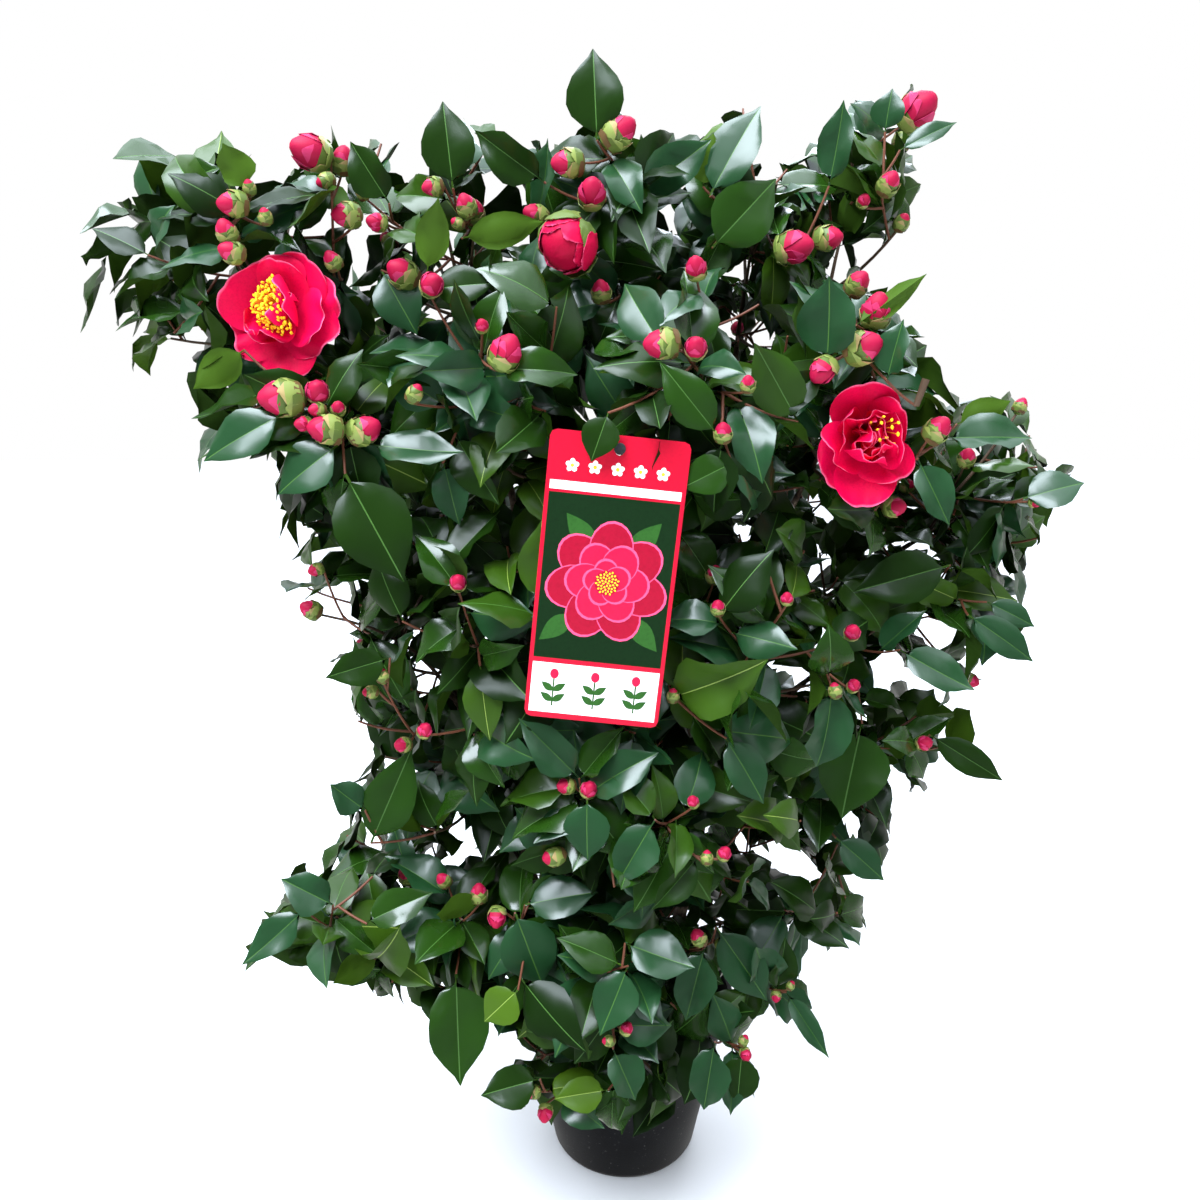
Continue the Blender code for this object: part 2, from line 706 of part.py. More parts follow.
CROSS_FACES = [(0, 1, 2, 3), (4, 5, 6, 7)]
BUD_TEST_FACES = [(0, 2, 4), (2, 1, 4), (1, 3, 4), (3, 0, 4)]


def cross_corners(start, end, radius):
    """Corners of two strips that cross along a line, as wide as a twig."""
    run = end - start
    across = run.orthogonal().normalized() * radius
    over = run.cross(across).normalized() * radius
    corners = [start - across, start + across, end + across, end - across]
    return corners + [start - over, start + over, end + over, end - over]


def cross_tree(start, end, radius):
    return BVHTree.FromPolygons(cross_corners(start, end, radius), CROSS_FACES)


class Grower:
    """Grows one mass: keeps its pieces, and tells whether a new one has room."""

    def __init__(self, mass, scratch, solids_near):
        self.mass = mass
        self.walls = walls_of(mass)
        self.scratch = scratch
        self.solids_near = solids_near
        self.random = random.Random("camellia " + mass.name)
        self.trees = []
        self.pieces = []
        self.leaves = 0
        self.middles = []

    def spread(self, point):
        """How far a point is from the middle of the nearest leaf."""
        return min([(point - middle).length for middle in self.middles], default=1.0)

    def jitter(self, size):
        return Vector([self.random.uniform(-size, size) for _ in range(3)])

    def has_room(self, points, faces):
        """True if a shape stays in the space and clear of limbs and of the mass's own pieces."""
        if not all(in_space(self.mass, self.walls, point) for point in points):
            return False
        shape = BVHTree.FromPolygons(points, faces)
        if shape.overlap(self.solids_near):
            return False
        return not any(shape.overlap(tree) for tree in self.trees)

    def keep(self, obj):
        self.pieces.append(obj)

    def line_has_room(self, points, radius):
        """True if a twig's line, widened to a flat cross, has room past its root."""
        for a, b in zip(points, points[1:]):
            start = a.lerp(b, TWIG_ROOM_FROM) if a is points[0] else a
            corners = cross_corners(start, b, radius)
            if not self.has_room(corners, CROSS_FACES):
                return False
        return True

    def add_twig(self, name, points, radius, tip_radius):
        steps = len(points) - 1
        radii = [radius + (tip_radius - radius) * i / steps for i in range(steps + 1)]
        obj = tube(name, points, radii, TWIG_SIDES, self.scratch)
        self.keep(obj)
        return tree_of([obj])

    def add_leaf(self, base, axis, normal, length):
        """Tries several ways for one leaf at base, and keeps the one with the most room round it."""
        best = None
        for attempt in range(LEAF_TRIES):
            loose = LEAF_LOOSE + LEAF_LOOSER * attempt
            lie = (axis + self.jitter(loose)).normalized()
            face = (normal + self.jitter(loose)).normalized()
            if abs(lie.dot(face)) > LEAF_EDGE_ON:
                continue
            size = length * self.random.uniform(*LEAF_SIZE_RANGE)
            size *= 1.0 - LEAF_SHRINK * attempt / LEAF_TRIES
            droop = LEAF_DROOP * self.random.uniform(*LEAF_DROOP_RANGE)
            width = size * LEAF_WIDTH / LEAF_LENGTH
            points = leaf_points(base, lie, face, size, width, LEAF_THICK, droop)
            test = [points[0].lerp(points[3], LEAF_TEST_FROM), *points[1:]]
            score = self.spread(points[0].lerp(points[3], LEAF_MIDDLE)) + SHUN_TURNING * lie.dot(axis)
            if (best is None or score > best[0]) and self.has_room(test, LEAF_TEST_FACES):
                best = (score, points, test)
        if best is None:
            return
        _, points, test = best
        self.keep(blade(f"leaf_{self.leaves}", points, self.scratch))
        self.trees.append(BVHTree.FromPolygons(test, LEAF_TEST_FACES))
        self.middles.append(points[0].lerp(points[3], LEAF_MIDDLE))
        self.leaves += 1

    def add_bud(self, base, axis, size):
        """A fat bud on the end of a twig, sunk onto it."""
        centre = base + axis * BUD_LENGTH * size * BUD_BELLY
        length, width = BUD_LENGTH * size, BUD_WIDTH * size
        side = axis.orthogonal().normalized() * width * 0.5
        other = axis.cross(side).normalized() * width * 0.5
        ends = [centre - side, centre + side, centre - other, centre + other, base + axis * length]
        if self.has_room(ends, BUD_TEST_FACES):
            root = base - axis * BUD_SUNK
            self.keep(bud_shape(f"bud_{len(self.pieces)}", root, axis, length, width, self.scratch))
            self.trees.append(BVHTree.FromPolygons(ends, BUD_TEST_FACES))

    def add_bloom(self, bloom, root):
        """A bloom on a stalk: a scalloped cup of petals, or a ball while it is half open."""
        centre = Vector(bloom.centre)
        facing = Vector(bloom.facing).normalized()
        back = centre - facing * bloom.radius * BLOOM_BACK
        stalk = bezier(root, back - root, facing, back + facing * STALK_SUNK, 4)
        self.add_twig("stalk", stalk, *[TWIG_RADIUS * share for share in STALK_GIRTH])
        if bloom.cup > 1.0:
            length, width = [bloom.radius * share for share in BALL_SIZE]
            self.keep(egg("ball", centre, facing, length, width, self.scratch, 2))
        else:
            self.keep(rosette("rosette", back, facing, bloom, self.scratch))


def light_way(place):
    """The level way from a line behind the shrub's axis out to a place: where light comes from."""
    flat = Vector((place.x, place.y - LIGHT_LINE_BACK, 0.0))
    return flat.normalized() if flat.length > 1e-6 else Vector((0.0, -1.0, 0.0))


def leaf_heading(twig_way, turn_out, place, number):
    """Which way a leaf points: ahead at the twig's tip, aside further back, hanging lower down."""
    hang = UP * (LEAF_HANG_FOOT + (LEAF_HANG_TOP - LEAF_HANG_FOOT) * place.z)
    ahead = twig_way * max(LEAF_AHEAD_LEAST, LEAF_AHEAD - LEAF_AHEAD_DROP * number)
    return (turn_out * LEAF_ASIDE + ahead + light_way(place) * LEAF_TO_LIGHT - hang).normalized()


def leaf_face(place):
    """Which way a leaf's upper side looks: up, and out of the crown to the light."""
    return (UP * LEAF_LOOKS_UP + light_way(place) * LEAF_LOOKS_OUT).normalized()


def plan_twigs(grower):
    """The mass's stem and its twigs, each a line; a twig reaches for the emptiest place."""
    mass = grower.mass
    centre = Vector(mass.centre)
    lead = Vector(mass.leader).normalized()
    start = mass.entry + mass.heading * CLEAR
    stem = bezier(start, mass.heading, lead + UP * STEM_LIFT, stem_tip(grower, centre, lead), 4)
    lines = [stem]
    wanted = max(3, round((mass.leaves - LEAVES_ON_STEM) / LEAVES_ON_TWIG))
    for _ in range(wanted):
        best = None
        for _ in range(TWIG_TRIES):
            aim = centre + Vector([grower.random.uniform(-r, r) for r in mass.radii])
            if depth_in(mass, grower.walls, aim) < TWIG_INSET:
                continue
            score = min((aim - along(line, 1.0)[0]).length for line in lines)
            stem_gap = min((aim - along(stem, share)[0]).length for share in STEM_REPELS_AT)
            score = min(score, STEM_REPELS * stem_gap)
            if best is None or score > best[0]:
                line = twig_to(lines, aim)
                if line and grower.line_has_room(line, TWIG_RADIUS + LIMB_MARGIN):
                    best = (score, line)
        if best:
            lines.append(best[1])
            root, aim = best[1]
            grower.trees.append(cross_tree(root.lerp(aim, TWIG_TREE_FROM), aim, TWIG_RADIUS))
    return lines


def stem_tip(grower, centre, lead):
    """Where a mass's stem ends: along its leader, a leaf's depth inside the space."""
    tip = centre.copy()
    depth = LEAF_LENGTH * STEM_DEPTH_SHARE
    while depth_in(grower.mass, grower.walls, tip + lead * STEM_STEP) > depth:
        tip += lead * STEM_STEP
    return tip


def twig_to(lines, aim):
    """A straight twig to a place from the nearest line that it can leave at a forward angle."""
    best = None
    for line in lines:
        length = sum((b - a).length for a, b in zip(line, line[1:]))
        for step in range(2, 19):
            root, way = along(line, step / 20)
            reach = aim - root
            forward = reach.normalized().dot(way)
            cost = reach.length * (1.0 + TWIG_TURN_COST * max(0.0, TWIG_FORWARD - forward))
            long_enough = length > TWIG_LINE_SHORTEST and reach.length > TWIG_SHORTEST
            if long_enough and (best is None or cost < best[0]):
                best = (cost, [root, aim])
    return best[1] if best else None


def grow_mass(mass, collection, scratch, solids_near, finish):
    """Grows a mass's stem, twigs, blooms, leaves and buds, and fuses them into one solid."""
    grower = Grower(mass, scratch, solids_near)
    lines = plan_twigs(grower)
    stem_object = tube("mass_" + mass.name, lines[0], MASS_STEM_GIRTH, TWIG_SIDES, collection)
    twig_trees = [tree_of([stem_object])]
    for index, line in enumerate(lines[1:]):
        twig_trees.append(grower.add_twig(f"twig_{index}", line, TWIG_RADIUS, TWIG_TIP_RADIUS))
    for bloom in BLOOMS:
        if bloom.mass == mass.name:
            root, _ = along(lines[0], STALK_FROM)
            grower.add_bloom(bloom, root)
    grown = []
    for index, line in enumerate(lines):
        grower.trees = grown + [tree for n, tree in enumerate(twig_trees) if n != index]
        dress_line(grower, line, LEAVES_ON_TWIG if index else LEAVES_ON_STEM)
        grown = [tree for tree in grower.trees if tree not in twig_trees]
    fuse(stem_object, grower.pieces, scratch)
    stem_object.data.materials.clear()
    stem_object.data.materials.append(finish)
    return grower.leaves


def dress_line(grower, line, count):
    """Puts a bud on the end of a twig, and leaves round it by the golden angle."""
    tip, way = along(line, 1.0)
    phase = grower.random.uniform(0.0, math.tau)
    if grower.random.random() < BUD_SHARE:
        grower.add_bud(tip, (way + UP * BUD_LIFT).normalized(), grower.random.uniform(*BUD_SIZE_RANGE))
    for number in range(count):
        base, heading = along(line, DRESS_FROM - DRESS_SPAN * number / count)
        out = Matrix.Rotation(phase + GOLDEN_ANGLE * number, 3, heading) @ heading.orthogonal().normalized()
        lie = leaf_heading(heading, out, base, number)
        grower.add_leaf(base, lie, leaf_face(base), LEAF_LENGTH)


def fuse(obj, pieces, scratch):
    """One union of a mass's stem with all that grows on it; the loose pieces are then removed."""
    join = obj.modifiers.new("grown together", "BOOLEAN")
    join.operation = "UNION"
    join.operand_type = "COLLECTION"
    join.collection = scratch
    join.solver = "MANIFOLD"
    apply_modifiers(obj)
    remove_objects(pieces)


# ---------------------------------------------------------------- label and tie
def label_matrix():
    """Places the label: upright, its face to the front, leaning a little to one side."""
    lean = Matrix.Rotation(LABEL_LEAN, 4, "Y")
    stand = Matrix.Rotation(math.radians(90.0), 4, "X")
    return Matrix.Translation(LABEL_CENTRE) @ lean @ stand


def label_hole():
    """The centre of the label's hole."""
    return label_matrix() @ Vector((0.0, LABEL_HEIGHT / 2 - LABEL_HOLE_DROP, 0.0))


def build_label(collection, finish):
    """A thin card with round corners and one hole: a flat outline, extruded."""
    curve = bpy.data.curves.new("label_outline", "CURVE")
    curve.dimensions = "2D"
    curve.fill_mode = "BOTH"
    curve.extrude = LABEL_THICK / 2
    rim = curve.splines.new("POLY")
    corners = []
    for sx, sy, first in ((1, 1, 0), (-1, 1, 90), (-1, -1, 180), (1, -1, 270)):
        centre = Vector((sx * (LABEL_WIDTH / 2 - LABEL_CORNER), sy * (LABEL_HEIGHT / 2 - LABEL_CORNER)))
        for step in range(3):
            turn = math.radians(first + 45 * step)
            corners.append(centre + LABEL_CORNER * Vector((math.cos(turn), math.sin(turn))))
    hole = Vector((0.0, LABEL_HEIGHT / 2 - LABEL_HOLE_DROP))
    ring = []
    for step in range(8):
        turn = math.tau * step / 8
        ring.append(hole + LABEL_HOLE_RADIUS * Vector((math.cos(turn), math.sin(turn))))
    for spline, places in ((rim, corners), (curve.splines.new("POLY"), ring)):
        spline.points.add(len(places) - 1)
        for point, place in zip(spline.points, places):
            point.co = (*place, 0.0, 1.0)
        spline.use_cyclic_u = True
    flat = bpy.data.objects.new("label_flat", curve)
    collection.objects.link(flat)
    bpy.context.view_layer.update()
    graph = bpy.context.evaluated_depsgraph_get()
    mesh = bpy.data.meshes.new_from_object(flat.evaluated_get(graph))
    mesh.transform(label_matrix())
    bm = bmesh.new()
    bm.from_mesh(mesh)
    bmesh.ops.remove_doubles(bm, verts=bm.verts, dist=MERGE)
    bmesh.ops.recalc_face_normals(bm, faces=bm.faces)
    label = object_from_bmesh("label", bm, collection)
    remove_objects([flat])
    label.data.materials.append(finish)
    return label


def tie_line(limbs):
    """The tie's route: from before the label, through its hole, and up to its bough."""
    hole = label_hole()
    grip, way = along(limbs[TIE_BOUGH].points, TIE_SHARE)
    lift = LABEL_HOLE_RADIUS - TIE_RADIUS - TIE_CLEAR
    front = hole + Vector((0.0, TIE_FRONT, lift))
    back = hole + Vector((0.0, TIE_BACK, lift))
    return front, back, grip, way


def tie_points(limbs):
    """Points from the head in front of the label back to the open hook round the bough."""
    front, back, grip, way = tie_line(limbs)
    girth = radius_at(limbs[TIE_BOUGH], TIE_SHARE) + TIE_RADIUS + TIE_CLEAR
    toward = (back - grip) - way * (back - grip).dot(way)
    toward.normalize()
    angles = range(TIE_HOOK_FROM, TIE_HOOK_TO, TIE_HOOK_STEP)
    turned_by = [Matrix.Rotation(math.radians(angle), 3, way) for angle in angles]
    girth /= math.cos(math.radians(TIE_HOOK_STEP / 2))
    hook = [grip + (turn @ toward) * girth for turn in turned_by]
    run = bezier(back, TIE_LEAVES, hook[1] - hook[0], hook[0], TIE_RUN_POINTS)
    return [front, back, *run[1:], *hook[1:]]


def build_tie(limbs, collection, finish):
    """A thin moulded tie with a button head, hooked over the bough behind the label."""
    points = tie_points(limbs)
    tie = tube("label_tie", points, [TIE_RADIUS] * len(points), TIE_SIDES, collection)
    bm = bmesh.new()
    bmesh.ops.create_cone(
        bm,
        cap_ends=True,
        segments=8,
        radius1=TIE_HEAD_RADIUS,
        radius2=TIE_HEAD_RADIUS * TIE_HEAD_TAPER,
        depth=TIE_HEAD_THICK,
    )
    turn = Matrix.Rotation(math.radians(90.0), 4, "X")
    bmesh.ops.transform(bm, matrix=Matrix.Translation(points[0]) @ turn, verts=bm.verts)
    head = object_from_bmesh("tie_head", bm, collection)
    join = tie.modifiers.new("head", "BOOLEAN")
    join.operation = "UNION"
    join.object = head
    apply_modifiers(tie)
    remove_objects([head])
    tie.data.materials.clear()
    tie.data.materials.append(finish)
    return tie


# ---------------------------------------------------------------- keep-out shapes
def keep_out_shapes(limbs, scratch):
    """Fattened stand-ins for all that foliage must not touch."""
    shapes = []
    for limb in limbs.values():
        points, radii = limb_line(limb)
        wide = [(r + LIMB_MARGIN) / math.cos(math.pi / 6) for r in radii]
        ends = list(points)
        if not limb.foot:
            ends[-1] = ends[-1] - (ends[-1] - ends[-2]).normalized() * LIMB_MARGIN
        shapes.append(tube("keep_" + limb.name, ends, wide, 6, scratch))
    bm = bmesh.new()
    bmesh.ops.create_cone(
        bm,
        cap_ends=True,
        segments=24,
        radius1=POT_FOOT_RADIUS + KEEP_CLEAR,
        radius2=POT_RIM_RADIUS + KEEP_CLEAR,
        depth=POT_HEIGHT + KEEP_CLEAR,
    )
    bmesh.ops.translate(bm, verts=bm.verts, vec=(0.0, 0.0, POT_HEIGHT / 2))
    shapes.append(object_from_bmesh("keep_pot", bm, scratch))
    bm = bmesh.new()
    bmesh.ops.create_cube(bm, size=1.0)
    size = Matrix.Diagonal((LABEL_WIDTH + KEEP_CLEAR, LABEL_HEIGHT + KEEP_CLEAR, KEEP_LABEL_DEPTH, 1.0))
    bmesh.ops.transform(bm, matrix=label_matrix() @ size, verts=bm.verts)
    shapes.append(object_from_bmesh("keep_label", bm, scratch))
    tie = tie_points(limbs)
    shapes.append(tube("keep_tie", tie, [TIE_RADIUS + LIMB_MARGIN] * len(tie), 4, scratch))
    for bloom in BLOOMS:
        facing = Vector(bloom.facing).normalized()
        depth = bloom.radius * (1.0 + KEEP_CUP * bloom.cup)
        centre = Vector(bloom.centre)
        length, width = depth * KEEP_BLOOM[0], bloom.radius * KEEP_BLOOM[1]
        shapes.append(egg("keep_bloom", centre, facing, length, width, scratch))
    return shapes


def main():
    clear_scene()
    shrub = new_collection("camellia_shrub")
    cutters = new_collection("cutters")
    scratch = new_collection("scratch")
    finishes = {name: material(name, colour, rough) for name, (colour, rough) in FINISHES.items()}

    build_pot(shrub, cutters, finishes["pot_plastic"])
    build_soil(shrub, finishes["compost"])
    limbs = plan_limbs()
    build_limbs(limbs, shrub, cutters, finishes["bark"])
    build_label(shrub, finishes["label_card"])
    build_tie(limbs, shrub, finishes["tie_nylon"])

    shapes = keep_out_shapes(limbs, scratch)
    solids_near = tree_of(shapes)
    remove_objects(shapes)
    total = 0
    for mass in MASSES:
        total += grow_mass(mass, shrub, scratch, solids_near, finishes["foliage"])
    print("leaves:", total)


main()
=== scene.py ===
"""The looks of a potted camellia: bark, twigs, leaves, buds, blooms, pot, compost and care label.

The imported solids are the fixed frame. Limbs keep their lines and get bark. Each mass of foliage
is grown again in its own space by the rule of the solids, and carried on to finer twigs.
Units are metres, +Z is up, and the origin is the centre of the pot's underside.
"""

import itertools
import json
import logging
import math
import random
from dataclasses import dataclass, field
from enum import Enum
from typing import Any, Callable, Iterable, Sequence

import bmesh
import bpy
import numpy as np
from mathutils import Matrix, Vector
from mathutils.bvhtree import BVHTree
from mathutils.geometry import intersect_point_line

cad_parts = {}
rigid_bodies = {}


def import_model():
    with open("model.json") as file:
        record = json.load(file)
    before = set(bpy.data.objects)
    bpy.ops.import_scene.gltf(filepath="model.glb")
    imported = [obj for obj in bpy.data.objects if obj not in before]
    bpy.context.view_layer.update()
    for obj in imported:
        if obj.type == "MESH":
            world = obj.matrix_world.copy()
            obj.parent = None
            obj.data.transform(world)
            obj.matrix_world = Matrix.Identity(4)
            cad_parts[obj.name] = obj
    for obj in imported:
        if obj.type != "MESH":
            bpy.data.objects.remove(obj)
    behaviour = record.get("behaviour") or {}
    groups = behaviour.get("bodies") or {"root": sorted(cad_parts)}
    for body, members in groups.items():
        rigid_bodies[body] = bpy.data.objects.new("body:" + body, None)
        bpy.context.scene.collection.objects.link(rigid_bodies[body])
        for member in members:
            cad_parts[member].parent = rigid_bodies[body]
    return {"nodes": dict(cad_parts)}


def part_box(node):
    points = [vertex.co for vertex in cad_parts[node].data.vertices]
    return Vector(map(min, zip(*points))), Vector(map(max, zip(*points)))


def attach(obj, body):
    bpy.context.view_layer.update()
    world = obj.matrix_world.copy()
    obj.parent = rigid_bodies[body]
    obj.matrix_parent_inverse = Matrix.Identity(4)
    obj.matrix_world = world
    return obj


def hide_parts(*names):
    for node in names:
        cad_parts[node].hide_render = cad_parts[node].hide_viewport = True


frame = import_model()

LOG = logging.getLogger("camellia")
MM = 0.001
UP = Vector((0.0, 0.0, 1.0))
FRONT = Vector((0.0, -1.0, 0.0))
ORIGIN = (0.0, 0.0, 0.0)
GOLDEN_ANGLE = math.radians(137.5)
Piece = bpy.types.Object
Pair = tuple[float, float]
Place = tuple[float, float, float]


# ---------------------------------------------------------------- finishes
def linear(colour: str) -> tuple[float, float, float, float]:
    """Turns an sRGB hex colour into the linear colour that a shader takes.

    Args:
        colour: The colour as "#rrggbb".

    Returns:
        Linear red, green, blue and an alpha of 1.
    """
    values = [int(colour[place : place + 2], 16) / 255.0 for place in (1, 3, 5)]
    turned = [v / 12.92 if v <= 0.04045 else ((v + 0.055) / 1.055) ** 2.4 for v in values]
    return (turned[0], turned[1], turned[2], 1.0)


def add_node(tree: bpy.types.NodeTree, kind: str, links: dict[str, Any], **settings: Any) -> bpy.types.Node:
    """Adds one node with its settings, values and incoming links.

    Args:
        tree: The node tree.
        kind: The node's type without its "ShaderNode", such as "TexNoise".
        links: For each input, an output socket to link or a value to set.
        **settings: The node's own properties.

    Returns:
        The new node.
    """
    made = tree.nodes.new("ShaderNode" + kind)
    for name, value in settings.items():
        setattr(made, name, value)
    for name, value in links.items():
        socket = made.inputs[int(name)] if name.isdigit() else made.inputs[name]
        if isinstance(value, bpy.types.NodeSocket):
            tree.links.new(value, socket)
        else:
            socket.default_value = value
    return made


@dataclass(frozen=True)
class Mottle:
    """A second colour that comes into a finish in patches, with the relief that goes with it.

    The patches' size is a real one. The colour comes in as the noise goes from low to high, as
    strongly as share says. A grain above 1 is drawn out along the height. Where an attribute is
    named, its value is read in the noise's place.
    """

    colour: str
    size: float
    low: float = 0.45
    high: float = 0.65
    share: float = 1.0
    grain: float = 1.0
    relief: float = 0.0
    attribute: str = ""


@dataclass(frozen=True)
class Finish:
    """A surface: its colour and gloss, and the mottles that lie over it, first to last."""

    name: str
    colour: str
    roughness: float
    mottles: tuple[Mottle, ...] = ()
    ior: float = 1.45
    coat: float = 0.0
    sheen: float = 0.0
    specular: float = 0.5

    def make(self) -> bpy.types.Material:
        """Makes the material, plain values first and then its mottles."""
        made = bpy.data.materials.new(self.name)
        made.use_nodes = True
        tree = made.node_tree
        shader = tree.nodes["Principled BSDF"]
        values = {
            "Base Color": linear(self.colour),
            "Roughness": self.roughness,
            "IOR": self.ior,
            "Coat Weight": self.coat,
            "Coat Roughness": 0.25,
            "Sheen Weight": self.sheen,
            "Specular IOR Level": self.specular,
        }
        for name, value in values.items():
            shader.inputs[name].default_value = value
        made.diffuse_color = linear(self.colour)
        colour: Any = linear(self.colour)
        for mottle in self.mottles:
            colour = self.add_mottle(tree, shader, mottle, colour)
        if self.mottles:
            tree.links.new(colour, shader.inputs["Base Color"])
        return made

    def add_mottle(self, tree: bpy.types.NodeTree, shader: bpy.types.Node, mottle: Mottle, under: Any) -> Any:
        """Lays one mottle over the colour so far.

        Args:
            tree: The material's node tree.
            shader: The surface shader, which takes the relief.
            mottle: The mottle.
            under: The colour that it lies over, a value or a socket.

        Returns:
            The mixed colour's socket.
        """
        if mottle.attribute:
            level = add_node(tree, "Attribute", {}, attribute_name=mottle.attribute).outputs["Fac"]
        else:
            place = add_node(tree, "TexCoord", {}).outputs["Object"]
            drawn = add_node(tree, "Mapping", {"Vector": place, "Scale": (1.0, 1.0, 1.0 / mottle.grain)})
            noise = {"Vector": drawn.outputs[0], "Scale": 1.0 / mottle.size, "Detail": 4.0}
            level = add_node(tree, "TexNoise", noise).outputs["Fac"]
        span = {"Value": level, "From Min": mottle.low, "From Max": mottle.high, "To Max": mottle.share}
        share = add_node(tree, "MapRange", span)
        mixing = {"0": share.outputs[0], "6": under, "7": linear(mottle.colour)}
        mixed = add_node(tree, "Mix", mixing, data_type="RGBA")
        if mottle.relief:
            below = shader.inputs["Normal"].links
            bump = add_node(tree, "Bump", {"Height": level, "Strength": 0.6, "Distance": mottle.relief})
            if below:
                tree.links.new(below[0].from_socket, bump.inputs["Normal"])
            tree.links.new(bump.outputs[0], shader.inputs["Normal"])
        return mixed.outputs[2]


class Green(Enum):
    """The tints of a leaf's upper side, from the heart of the bush to this year's growth. The deepest tints
    are partly painted shade, and the cool tint's bluer green is partly painted sheen.
    """

    DEEP = 0
    DARK = 1
    COOL = 2
    GLOSS = 3
    MID = 4
    FRESH = 5
    YOUNG = 6


# A camellia leaf has a thick waxy skin, so its upper side is glossy and its lower side is matt.
LEAF_UPPERS = (
    # Partly painted shade: the deep tint goes to leaves in the heart of the bush, both for their age and for
    # the shade there.
    Finish("leaf_upper_old_and_shade", "#0f2404", 0.34, specular=0.28),
    Finish("leaf_upper_dark", "#162e06", 0.28, specular=0.36),
    # Partly painted sheen: the cool tint's bluer green stands in for the sky's bluish gloss on up-facing
    # leaves, besides the leaf's own green.
    Finish("leaf_upper_cool_and_painted_sheen", "#1b3f20", 0.29, specular=0.72),
    Finish("leaf_upper_gloss", "#1d3b0a", 0.22, specular=0.68),
    Finish("leaf_upper_mid", "#27430b", 0.28, specular=0.50),
    Finish("leaf_upper_fresh", "#304c0b", 0.34, specular=0.38),
    Finish("leaf_upper_young", "#3e5a0e", 0.36, specular=0.32),
)
# The midrib is paler than the blade, and yellow-green on young leaves.
LEAF_RIBS = (
    Finish("leaf_rib_dark", "#3f6626", 0.42),
    Finish("leaf_rib_pale", "#7b923c", 0.44),
)
# The lower side is matt and yellower.
LEAF_UNDERS = (
    Finish("leaf_under_dull", "#273e10", 0.58, specular=0.12),
    Finish("leaf_under_green", "#304a10", 0.55, specular=0.12),
    Finish("leaf_under_bright", "#3c5812", 0.52, specular=0.12),
)
RIB_FIRST = len(LEAF_UPPERS)
UNDER_FIRST = RIB_FIRST + len(LEAF_RIBS)
LEAF_FINISHES = LEAF_UPPERS + LEAF_RIBS + LEAF_UNDERS

# Young camellia bark is smooth and grey-brown, with paler patches and fine cracks along the limb.
BARK_PATCHES = Mottle("#8d7a66", 14 * MM, 0.48, 0.68, 0.8)
BARK_CRACKS = Mottle("#2c211a", 1.6 * MM, 0.50, 0.62, 0.7, grain=5.0, relief=0.4 * MM)
BARK = Finish("camellia_bark", "#4a382b", 0.78, (BARK_PATCHES, BARK_CRACKS), specular=0.25)
# Last year's twigs are smooth and brown, and this year's are redder.
TWIG_OLD = Finish("twig_skin_brown", "#54402f", 0.62, specular=0.35)
TWIG_YOUNG = Finish("twig_skin_red_brown", "#6b3f2c", 0.50, specular=0.35)
# Bud scales are waxy and yellow-green, browner at the foot and paler at the rim; the petals show
# crimson.
BUD_FINISHES = (
    Finish("bud_scale_green", "#57692a", 0.42, specular=0.4),
    Finish("bud_scale_pale", "#7d8a42", 0.44, specular=0.4),
    Finish("bud_scale_brown", "#5c4526", 0.52, specular=0.3),
    Finish("bud_petal_crimson", "#a30f38", 0.55, specular=0.2),
    Finish("bud_petal_pink", "#bf2f5c", 0.55, specular=0.2),
    Finish("bud_scale_rim", "#a08a58", 0.48, specular=0.3),
)


def petal(name: str, colour: str, throat: Mottle, rim: Mottle, vein: tuple[str, float]) -> Finish:
    """Gives a petal's skin from its colour, its throat's and rim's, and its veins' and their share."""
    veins = Mottle(vein[0], 1.6 * MM, 0.45, 0.70, vein[1], relief=0.25 * MM)
    return Finish(name, colour, 0.55, (throat, rim, veins), specular=0.12)


# A camellia petal is waxy and soft: crimson in its throat, hot pink over the blade and faintly
# veined, with a slightly paler rim.
PETAL_THROAT = Mottle("#a80228", 1.0, 0.45, 0.02, 0.85, attribute="along")
PETAL_RIM = Mottle("#fa6f98", 1.0, 0.88, 1.0, 0.80, attribute="along")
PETAL = petal("camellia_petal", "#e40346", PETAL_THROAT, PETAL_RIM, ("#c00238", 0.35))
# The half-open bloom's petals are a deeper crimson than the open blooms'.
FURLED_THROAT = Mottle("#960428", 1.0, 0.50, 0.05, 0.8, attribute="along")
FURLED_RIM = Mottle("#ea5c88", 1.0, 0.90, 1.0, 0.60, attribute="along")
PETAL_FURLED = petal("camellia_petal_furled", "#c6093c", FURLED_THROAT, FURLED_RIM, ("#a80734", 0.40))
# Stamens: smooth orange-yellow threads under mealy golden pollen.
FILAMENT = Finish("stamen_filament", "#f6a424", 0.55)
ANTHER = Finish("stamen_pollen", "#ffcf2c", 0.85, specular=0.2)
# Injection-moulded recycled polypropylene: near-black, faintly grained, with a film of dust and
# the dried specks of splashed water. The specks are drawn coarser than they are, so that they show.
POT_DUST = (Mottle("#232425", 45 * MM, 0.45, 0.75, 0.45), Mottle("#7a7872", 3.2 * MM, 0.66, 0.72, 0.50))
POT_GRAIN = Mottle("#0e0f12", 1.2 * MM, 0.45, 0.60, 0.35, relief=0.2 * MM)
POT = Finish("recycled_polypropylene", "#121317", 0.54, (*POT_DUST, POT_GRAIN), ior=1.49, specular=0.25)
